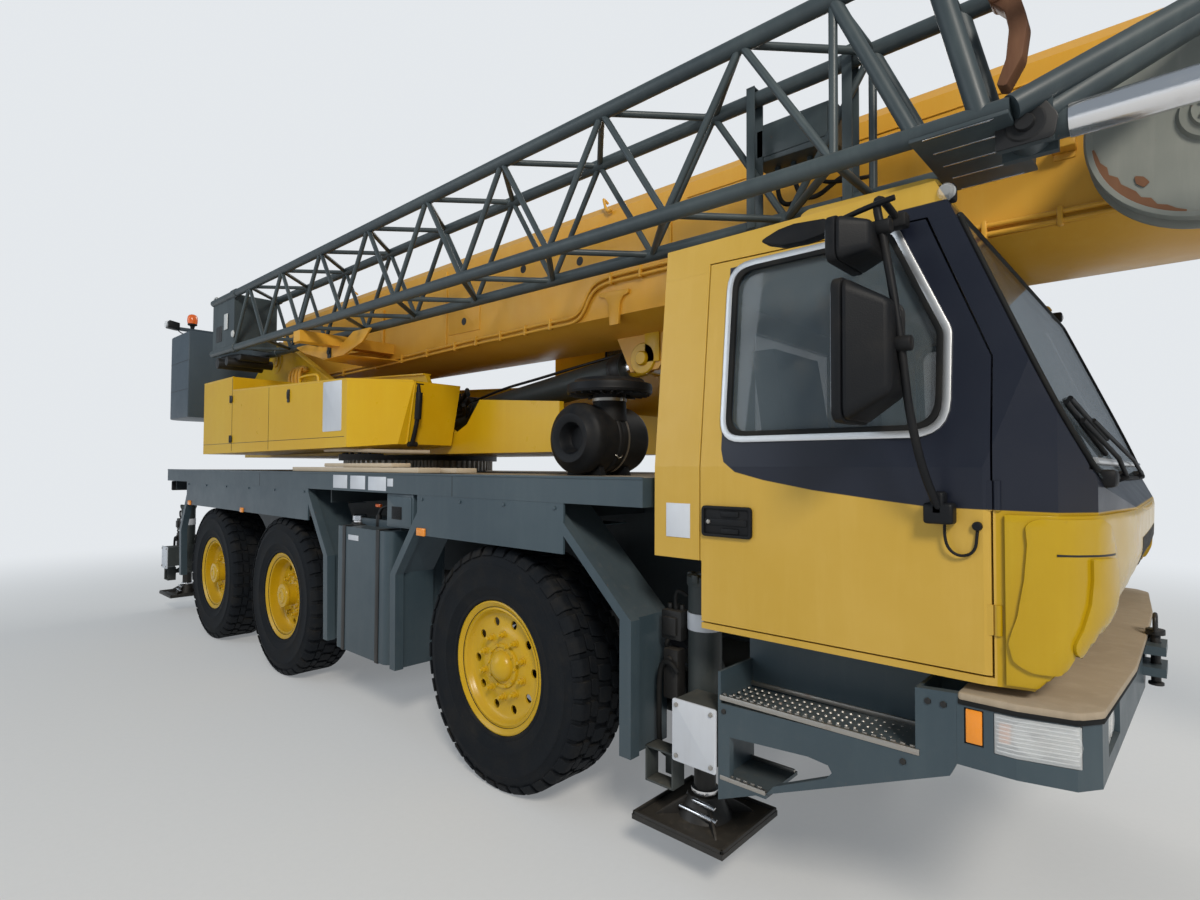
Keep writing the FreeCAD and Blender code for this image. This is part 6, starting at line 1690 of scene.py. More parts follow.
# The air cleaner's lying drum as (x, z), and its upright bowl as (x, y)
DRUM_AXIS = (1.223, 1.902)
BOWL_AXIS = (1.303, -0.824)
CARRIER_WORK = (
    Fitting("deck_seams", "carrier", Shade.BLACK_IRON, [
        Slab((x - 0.002, -1.3142, 1.573), (x + 0.002, -1.3122, 1.699), 0.0005) for x in (-2.367, 0.522)],
            both=True),
    Fitting("deck_lip", "carrier", Shade.CARRIER, [
        Slab((-5.148, -1.3165, 1.69), (1.928, -1.3, 1.7035), 0.003)], both=True),
    Fitting("planks", "carrier", Shade.WOOD, [
        Slab((-1.78, -1.275, 1.7045), (0.1, -1.105, 1.738), 0.006),
        Slab((-1.6, -1.085, 1.7045), (0.24, -0.925, 1.736), 0.006),
        Slab((-1.3, -1.23, 1.74), (-0.3, -1.08, 1.768), 0.006)]),
    Fitting("flank_lamp", "carrier", Shade.AMBER, [
        Slab((-2.812, -1.322, 1.318), (-2.74, -1.309, 1.362), 0.005),
        Slab((0.16, -1.322, 1.322), (0.252, -1.309, 1.37), 0.005),
        Slab((-4.36, -1.322, 1.322), (-4.27, -1.309, 1.37), 0.005)], both=True),
    Fitting("blank_labels", "carrier", Shade.WHITE, [
        *(Slab((low, -1.3145, bottom), (high, -1.3115, top), 0.0005) for low, high, bottom,
            top in ((-0.965, -0.752, 1.588, 1.682), (-0.704, -0.494, 1.587, 1.68),
            (-0.45, -0.217, 1.584, 1.676), (-0.2, -0.13, 1.615, 1.666))),
        Slab((-0.725, -1.312, 1.228), (-0.585, -1.306, 1.264), 0.0005),
        Slab((2.04, -1.291, 1.456), (2.16, -1.285, 1.597), 0.0005)]),
    Fitting("panel_bolts", "carrier", Shade.CARRIER, [
        Row(Bar((-4.36, -1.31, 1.545), (-4.36, -1.318, 1.545), 0.01, sides=6), (0.58, 0, 0), 6),
        Row(Bar((0.21, -1.31, 1.545), (0.21, -1.318, 1.545), 0.01, sides=6), (0.39, 0, 0), 4)], both=True),
    Fitting("tank_straps", "carrier", Shade.BLACK_IRON, [
        panel(Plane.XY, (x - 0.022, -1.3115), (x + 0.022, -0.86), z_low, z_low + 0.006, edge=0.001)
            for x in (-0.79, -0.32) for z_low in (0.444, 1.3185)] + [Slab((x - 0.022, -1.3135, 0.444),
            (x + 0.022, -1.3075, 1.3245), 0.002) for x in (-0.79, -0.32)], both=True),
    Fitting("filler_cap", "carrier", Shade.CHROME, [
        Turned([(0.0, 0.062), (0.04, 0.06), (0.05, 0.052), (0.052, 0.02), (0.044, 0.016), (0.044, 0.0),
            (0.0, 0.0)], (-0.875, -1.15, 1.33), Axis.Z, 32)]),
    Fitting("filler_neck", "carrier", Shade.BLACK_IRON, [
        Bar((-0.875, -1.15, 1.316), (-0.875, -1.15, 1.334), 0.058, sides=32),
        Bar((-0.6, -1.15, 1.316), (-0.6, -1.15, 1.4), 0.02),
        Tube([(-0.6, -1.15, 1.39), (-0.58, -1.15, 1.45), (-0.5, -1.13, 1.47), (-0.42, -1.08, 1.48)], 0.012)]),
    Fitting("tap_handle", "carrier", Shade.BEACON, [
        Slab((-0.625, -1.168, 1.455), (-0.555, -1.146, 1.48), 0.008)]),
    Fitting("electric_box", "carrier", Shade.CARRIER, [
        Sheet(Plane.XZ, [(-0.225, 1.352), (0.093, 1.352), (0.093, 1.5705), (-0.225, 1.5705)], -1.3,
            -1.12, [0.014, 0.014, 0.0, 0.0], 0.006),
        panel(Plane.XZ, (-0.21, 1.364), (0.08, 1.552), -1.307, -1.299, 0.014, 0.003)]),
    Fitting("box_vent", "carrier", Shade.BLACK, [
        Slab((-0.15, -1.31, 1.405), (-0.03, -1.304, 1.487), 0.004),
        Row(Slab((-0.142, -1.3135, 1.412), (-0.038, -1.3085, 1.418), 0.001), (0, 0, 0.012), 6)]),
    Fitting("rear_lamp_case", "carrier", Shade.BLACK, [
        Slab((-5.172, -1.27, 1.455), (-5.148, -0.85, 1.565), 0.01),
        Slab((-5.158, -1.1, 1.5), (-5.1, -1.02, 1.6), 0.006)], both=True),
    Fitting("rear_lamp_lens", "carrier", Shade.BEACON, [
        Slab((-5.181, y, 1.468), (-5.17, y + 0.115, 1.552), 0.006) for y in (-1.258, -0.985)], both=True),
    Fitting("rear_turn_lens", "carrier", Shade.AMBER, [
        Slab((-5.181, -1.128, 1.468), (-5.17, -1.0, 1.552), 0.006)], both=True),
    Fitting("steering_links", "carrier", Shade.BLACK_IRON, [
        Tube([(x, -0.42, 1.02), (x + 0.02, -0.6, 0.98), (x, -0.78, 0.93)], 0.016) for x in (0.7, -2.16,
            -3.86)], both=True),
    Fitting("air_drum", "carrier", Shade.BLACK, [
        Turned([(0.0, 0.05), (0.062, 0.05), (0.07, 0.036), (0.074, 0.008), (0.088, -0.018), (0.116, -0.03),
            (0.132, -0.03), (0.146, -0.016), (0.164, -0.006), (0.182, 0.006), (0.193, 0.024), (0.195, 0.06),
            (0.19, 0.066), (0.19, 0.168), (0.196, 0.174), (0.198, 0.186), (0.196, 0.196), (0.19, 0.204),
            (0.19, 0.4), (0.178, 0.432), (0.0, 0.44)], (DRUM_AXIS[0], -1.03, DRUM_AXIS[1]), Axis.Y, 72),
        Turned([(0.0, 2.0), (0.098, 2.0), (0.092, 2.1), (0.09, 2.15), (0.13, 2.158), (0.215, 2.146),
            (0.232, 2.15), (0.238, 2.162), (0.236, 2.17), (0.238, 2.184), (0.234, 2.2), (0.2, 2.212), (0.188,
            2.228), (0.09, 2.237), (0.0, 2.237)], (*BOWL_AXIS, 0.0), Axis.Z, 72),
        Around(Slab((1.425, -0.829, 2.139), (1.525, -0.819, 2.158), 0.002), (*BOWL_AXIS, 0.0), Axis.Z, 24),
        *(Sheet(Plane.XZ, [(1.09, 1.7005), (1.356, 1.7005), (1.346, 1.722), (1.32, 1.8), (1.126, 1.8),
            (1.1, 1.722)], *y, edge=0.004) for y in ((-0.945, -0.905), (-0.735, -0.695)))],
            replaces=["air_cleaner"]),
    Fitting("air_clamps", "carrier", Shade.STEEL, [
        Turned([(0.09, 0.0), (0.0965, 0.0), (0.0965, 0.016), (0.09, 0.016)], (*BOWL_AXIS, 2.108), Axis.Z),
        Turned([(0.188, 0.0), (0.1935, 0.0), (0.1935, 0.012), (0.188, 0.012)], (DRUM_AXIS[0],
            -0.79, DRUM_AXIS[1])),
        Around(Tube([(1.223, -0.87, 2.09), (1.223, -0.862, 2.106), (1.24, -0.845, 2.1),
            (1.223, -0.828, 2.104), (1.223, -0.815, 2.09)], 0.0035, sides=8), (DRUM_AXIS[0], 0.0,
            DRUM_AXIS[1]), Axis.Y, 4, 0.5),
        Slab((1.39, -0.842, 2.106), (1.416, -0.822, 2.126), 0.003)]),
)

# Upper works

BEACON_AXIS = (-5.384, -1.03, 0.0)
SLEW_AXIS = (-1.906, 0.0, 0.0)
UPPER_WORK = (
    Fitting("weight_slab", "upper", Shade.WEIGHT, [
        Sheet(Plane.XY, [(-4.7505, -1.236), (-5.604, -1.236), (-5.604, 1.236), (-4.7505, 1.236)], 2.3,
            3.286, [0.012, 0.24, 0.24, 0.012], 0.022),
        Bar((-5.384, -0.98, 3.28), (-5.384, -0.98, 3.392), 0.02),
        panel(Plane.YZ, (-1.2, 3.386), (-0.56, 3.426), -5.404, -5.364, 0.008, 0.004)],
            replaces=["counterweight"]),
    Fitting("weight_seams", "upper", Shade.BLACK_IRON, [
        Sheet(Plane.XY, [(-4.752, -1.2372), (-5.6052, -1.2372), (-5.6052, 1.2372), (-4.752, 1.2372)], z,
            z + 0.005, [0.012, 0.24, 0.24, 0.012], 0.0) for z in (2.62, 2.95)] + [Slab((-5.6075, -0.95,
            2.42), (-5.6035, -0.62, 2.56), 0.004), Slab((-5.6075, 0.62, 2.42), (-5.6035, 0.95, 2.56),
            0.004)]),
    Fitting("weight_eyes", "upper", Shade.STEEL, [
        Tube([(x, y - 0.07, 3.28), (x, y - 0.06, 3.35), (x, y, 3.375), (x, y + 0.06, 3.35),
            (x, y + 0.07, 3.28)], 0.014) for x in (-5.3, -4.9) for y in (-0.62, 0.62)]),
    Fitting("weight_panel", "upper", Shade.WEIGHT, [
        panel(Plane.YZ, (-1.02, 2.7), (-0.72, 3.2), -5.622, -5.6, 0.05, 0.01)]),
    Fitting("beacon_lens", "upper", Shade.BEACON, [
        Turned([(0.0, 3.606), (0.02, 3.604), (0.04, 3.594), (0.052, 3.574), (0.056, 3.545), (0.055, 3.51),
            (0.05, 3.488), (0.0, 3.488)], BEACON_AXIS, Axis.Z, 40)]),
    Fitting("beacon_base", "upper", Shade.BLACK, [
        Turned([(0.0, 3.492), (0.048, 3.492), (0.052, 3.484), (0.05, 3.47), (0.028, 3.462), (0.022, 3.44),
            (0.022, 3.424), (0.0, 3.424)], BEACON_AXIS, Axis.Z, 32),
        Sheet(Plane.YZ, [(-1.3, 3.4), (-1.175, 3.386), (-1.175, 3.47), (-1.285, 3.49)], -5.445,
            -5.33, [0.012] * 4, 0.008),
        Tube([(-5.384, -1.2, 3.4), (-5.384, -1.15, 3.352), (-5.384, -1.05, 3.33), (-5.384, -0.99, 3.3)],
            0.006)]),
    Fitting("work_lamp", "upper", Shade.LENS, [
        Sheet(Plane.XZ, [(-5.435, 3.405), (-5.34, 3.4), (-5.34, 3.48), (-5.435, 3.48)], -1.312,
            -1.296, [0.01] * 4, 0.004)]),
    Fitting("housing_seams", "upper", Shade.BLACK_IRON, [
        Slab((-3.158, -1.2897, 1.888), (-3.153, -1.2875, 2.59), 0.0005),
        Slab((-2.262, -1.2897, 1.888), (-2.258, -1.2875, 2.44), 0.0005),
        Slab((-3.985, -1.2897, 1.96), (-0.86, -1.2875, 1.9635), 0.0005),
        panel(Plane.YZ, (-1.284, 1.905), (-1.282, 2.595), -3.9895, -3.987, edge=0.0)]),
    Fitting("housing_edge", "upper", Shade.HOUSING, [
        Tube([(-3.142, -1.281, 2.474), (-0.835, -1.281, 2.378)], 0.01, False),
        Tube([(-3.985, -1.281, 2.6), (-3.15, -1.281, 2.6)], 0.01, False),
        Tube([(-0.832, -1.281, 2.378), (-0.36, -1.028, 2.349)], 0.009, False),
        Tube([(-0.828, -1.283, 2.37), (-0.826, -1.283, 1.892)], 0.006, False),
        Tube([(-2.08, -1.1, 2.43), (-2.08, -1.1, 2.5), (-2.055, -1.1, 2.524), (-1.8, -1.1, 2.52),
            (-1.735, -1.1, 2.512), (-1.71, -1.1, 2.485), (-1.71, -1.1, 2.41)], 0.013)]),
    Fitting("housing_hinges", "upper", Shade.BLACK_IRON, [
        *(Slab((-3.205, -1.3, z), (-3.14, -1.286, z + 0.055), 0.005) for z in (1.975, 2.36)),
        *(Bar((-3.172, -1.298, z - 0.008), (-3.172, -1.298, z + 0.063), 0.011) for z in (1.975, 2.36)),
        panel(Plane.XZ, (-1.858, 2.272), (-1.82, 2.38), -1.298, -1.287, 0.008, 0.003),
        Slab((-1.85, -1.306, 2.3), (-1.828, -1.294, 2.365), 0.005)]),
    Fitting("blank_plate", "upper", Shade.WHITE, [
        Sheet(Plane.XZ, [(-1.206, 2.006), (-0.905, 2.006), (-0.905, 2.378), (-1.206, 2.384)], -1.2905,
            -1.287, [0.01] * 4, 0.001)]),
    Fitting("nose_rod", "upper", Shade.BLACK, [
        Tube([(-0.372, -0.99, 2.335), (-0.345, -0.99, 2.25), (-0.372, -0.99, 2.05), (-0.44, -0.99, 1.905)],
            0.016),
        Bar((-0.35, -0.99, 2.27), (-0.368, -0.99, 2.08), 0.024),
        Bar((-0.372, -1.02, 2.335), (-0.372, -0.95, 2.335), 0.018),
        Bar((-0.44, -1.02, 1.905), (-0.44, -0.95, 1.905), 0.018)]),
    Fitting("nose_facets", "upper", Shade.HOUSING, [
        Tube([(-0.355, -1.02, 2.345), (-0.455, -1.02, 1.915)], 0.008, False),
        Tube([(-0.455, -1.02, 1.912), (-0.822, -1.278, 1.89)], 0.008, False)]),
    Fitting("under_pipe", "upper", Shade.DUSTY, [
        Tube([(-1.3, -1.22, 1.868), (-1.05, -1.24, 1.872), (-0.75, -1.2, 1.86), (-0.45, -1.1, 1.85),
            (-0.35, -0.9, 1.85)], 0.014)]),
    Fitting("frame_flanges", "upper", Shade.HOUSING, [
        Sheet(Plane.XZ, [a, b, (b[0], b[1] + 0.014), (a[0], a[1] + 0.014)], y, y + 0.076, edge=0.003) for a,
            b in (((-2.5, 2.57), (-0.868, 2.482)), ((-3.43, 2.99), (-2.5, 2.57)), ((-3.73, 3.1),
            (-3.43, 2.99)), ((-3.97, 3.1), (-3.73, 3.1))) for y in (-0.636, 0.56)]),
    Fitting("frame_bosses", "upper", Shade.HOUSING, [
        *on_both_sides([(0.0, 0.03), (0.05, 0.03), (0.06, 0.022), (0.085, 0.02), (0.092, 0.008),
            (0.15, 0.008), (0.158, 0.0), (0.0, 0.0)], (-3.85, 0.6195, 2.93))]),
    Fitting("frame_hoses", "upper", Shade.RUBBER, [
        Tube([(-0.42, -0.52, 2.3), (-0.6, -0.4, 2.38), (-0.85, -0.22, 2.36), (-1.05, -0.16, 2.3)], 0.017),
        Tube([(-0.4, -0.5, 2.26), (-0.62, -0.36, 2.31), (-0.85, -0.2, 2.28), (-1.02, -0.15, 2.25)], 0.015),
        Tube([(-0.45, -0.54, 2.22), (-0.66, -0.38, 2.2), (-0.88, -0.22, 2.18), (-1.1, -0.16, 2.18)], 0.015)]),
    Fitting("tower_hoses", "upper", Shade.BOOM, [
        Tube([(-3.3 + 0.07 * n, -0.66, 2.5), (-3.36 + 0.09 * n, -0.7, 2.66), (-3.24 + 0.06 * n, -0.66, 2.8),
            (-3.12 + 0.04 * n, -0.645, 2.72)], 0.017) for n in range(4)]),
    Fitting("ring_guard", "upper", Shade.BLACK_IRON, [
        Turned([(0.735, 1.8), (0.742, 1.8), (0.742, 1.856), (0.735, 1.856)], SLEW_AXIS, Axis.Z, 96),
        Around(Bar((-1.206, 0.0, 1.852), (-1.206, 0.0, 1.872), 0.016, sides=6), SLEW_AXIS, Axis.Z, 36)]),
    Fitting("operator_trim", "upper", Shade.RUBBER, [
        Tube([(x, y, z) for x, z in ((-0.06, 2.515), (0.61, 2.515), (0.4, 3.11), (-0.06, 3.11),
            (-0.06, 2.515))], 0.012, False) for y in (0.6685, 1.2915)] + [Tube([(-0.7015, 0.76, 2.615),
            (-0.7015, 1.2, 2.615), (-0.7015, 1.2, 3.08), (-0.7015, 0.76, 3.08), (-0.7015, 0.76, 2.615)],
            0.012, False), Tube([(0.702, 0.74, 2.205), (0.702, 1.22, 2.205), (0.702, 1.22, 2.575),
            (0.472, 1.22, 3.092), (0.472, 0.74, 3.092), (0.702, 0.74, 2.575), (0.702, 0.74, 2.205)], 0.012,
            False)]),
    Fitting("operator_door", "upper", Shade.HOUSING, [
        Tube([(x, 1.2905, z) for x, z in ((-0.13, 1.94), (0.55, 1.94), (0.66, 2.15), (0.66, 2.56),
            (0.43, 3.15), (-0.13, 3.15), (-0.13, 1.94))], 0.007, False),
        panel(Plane.XZ, (-0.66, 2.05), (-0.2, 2.95), 1.288, 1.3, 0.04, 0.005),
        Slab((-0.72, 0.66, 3.196), (0.46, 1.3, 3.222), 0.012)]),
    Fitting("operator_handles", "upper", Shade.BLACK, [
        Tube([(-0.17, 1.292, z) for z in (2.2, 2.21)] + [(-0.17, 1.33, 2.23), (-0.17, 1.33, 2.75),
            (-0.17, 1.292, 2.78)], 0.011),
        Slab((0.0, 1.286, 2.36), (0.12, 1.306, 2.42), 0.008),
        Tube([(0.715, 0.98, 2.2), (0.725, 0.98, 2.25), (0.722, 1.05, 2.52)], 0.007),
        Tube([(0.3, 0.7, 3.2), (0.3, 0.7, 3.26), (0.34, 0.7, 3.275)], 0.01),
        Slab((0.335, 0.66, 3.235), (0.4, 0.76, 3.305), 0.01)]),
)


# Boom, jib and hook

# The flank's lower pipe as (x, z), and where its clamps sit
PIPE_RUN = ((-3.6, 2.655), (-1.924, 2.674), (-0.934, 2.694), (-0.397, 2.705), (-0.017, 2.704),
            (0.381, 2.712), (0.6, 2.706), (0.69, 2.722), (0.745, 2.775), (0.79, 2.855), (0.85, 2.905),
            (0.95, 2.924), (1.099, 2.924), (1.345, 2.921), (2.0, 2.918), (2.2, 2.88), (2.35, 2.78),
            (2.55, 2.735), (3.047, 2.722), (3.549, 2.712), (4.235, 2.705))
PIPE_CLAMPS = (-3.2, -2.6, -1.95, -1.5, -1.1, -0.7, -0.42, -0.12, 0.16, 0.42, 0.98, 1.22, 1.6, 1.9, 2.7, 3.06,
               3.32, 3.56, 3.86, 4.14)


def pipe_height(x: float) -> float:
    """The height of the flank's pipes at a value of x."""
    for (x_low, z_low), (x_high, z_high) in zip(PIPE_RUN, PIPE_RUN[1:]):
        if x <= x_high:
            return z_low + (z_high - z_low) * (x - x_low) / (x_high - x_low)
    return PIPE_RUN[-1][1]


def hole_shade_disc(x: float, y: float, z: float) -> Bar:
    """A dark disc on a plate that faces the right: painted shade standing in for a round hole."""
    return Bar((x, y, z), (x, y - 0.0015, z), 0.03, sides=28, edge=0.0)


# The lift cylinder at rest: its lower pin as (x, z), and the way it points
LIFT_PIN = (-2.0, 2.085)
LIFT_WAY = (0.99186, 0.12733)


def along_lift(reach: float, up: float = 0.0) -> tuple[float, float, float]:
    """A point on the lift cylinder's axis, or above it, at a distance from its lower pin."""
    ahead, rise = LIFT_WAY
    return (LIFT_PIN[0] + ahead * reach - rise * up, 0.0, LIFT_PIN[1] + rise * reach + ahead * up)


# The cable reel's centre as (x, z), and the worn edge low on its disc as (radius, angle)
REEL_AXIS = (3.76, 2.85)
RUST_TURNS = [math.radians(186 + 5 * n) for n in range(15)]
RUST_ARC = [(0.309, turn) for turn in RUST_TURNS] + [
    (0.303 - 0.02 * math.sin(math.pi * n / 14) * (1.0 + 0.35 * math.sin(2.7 * n)), RUST_TURNS[n])
    for n in reversed(range(15))]

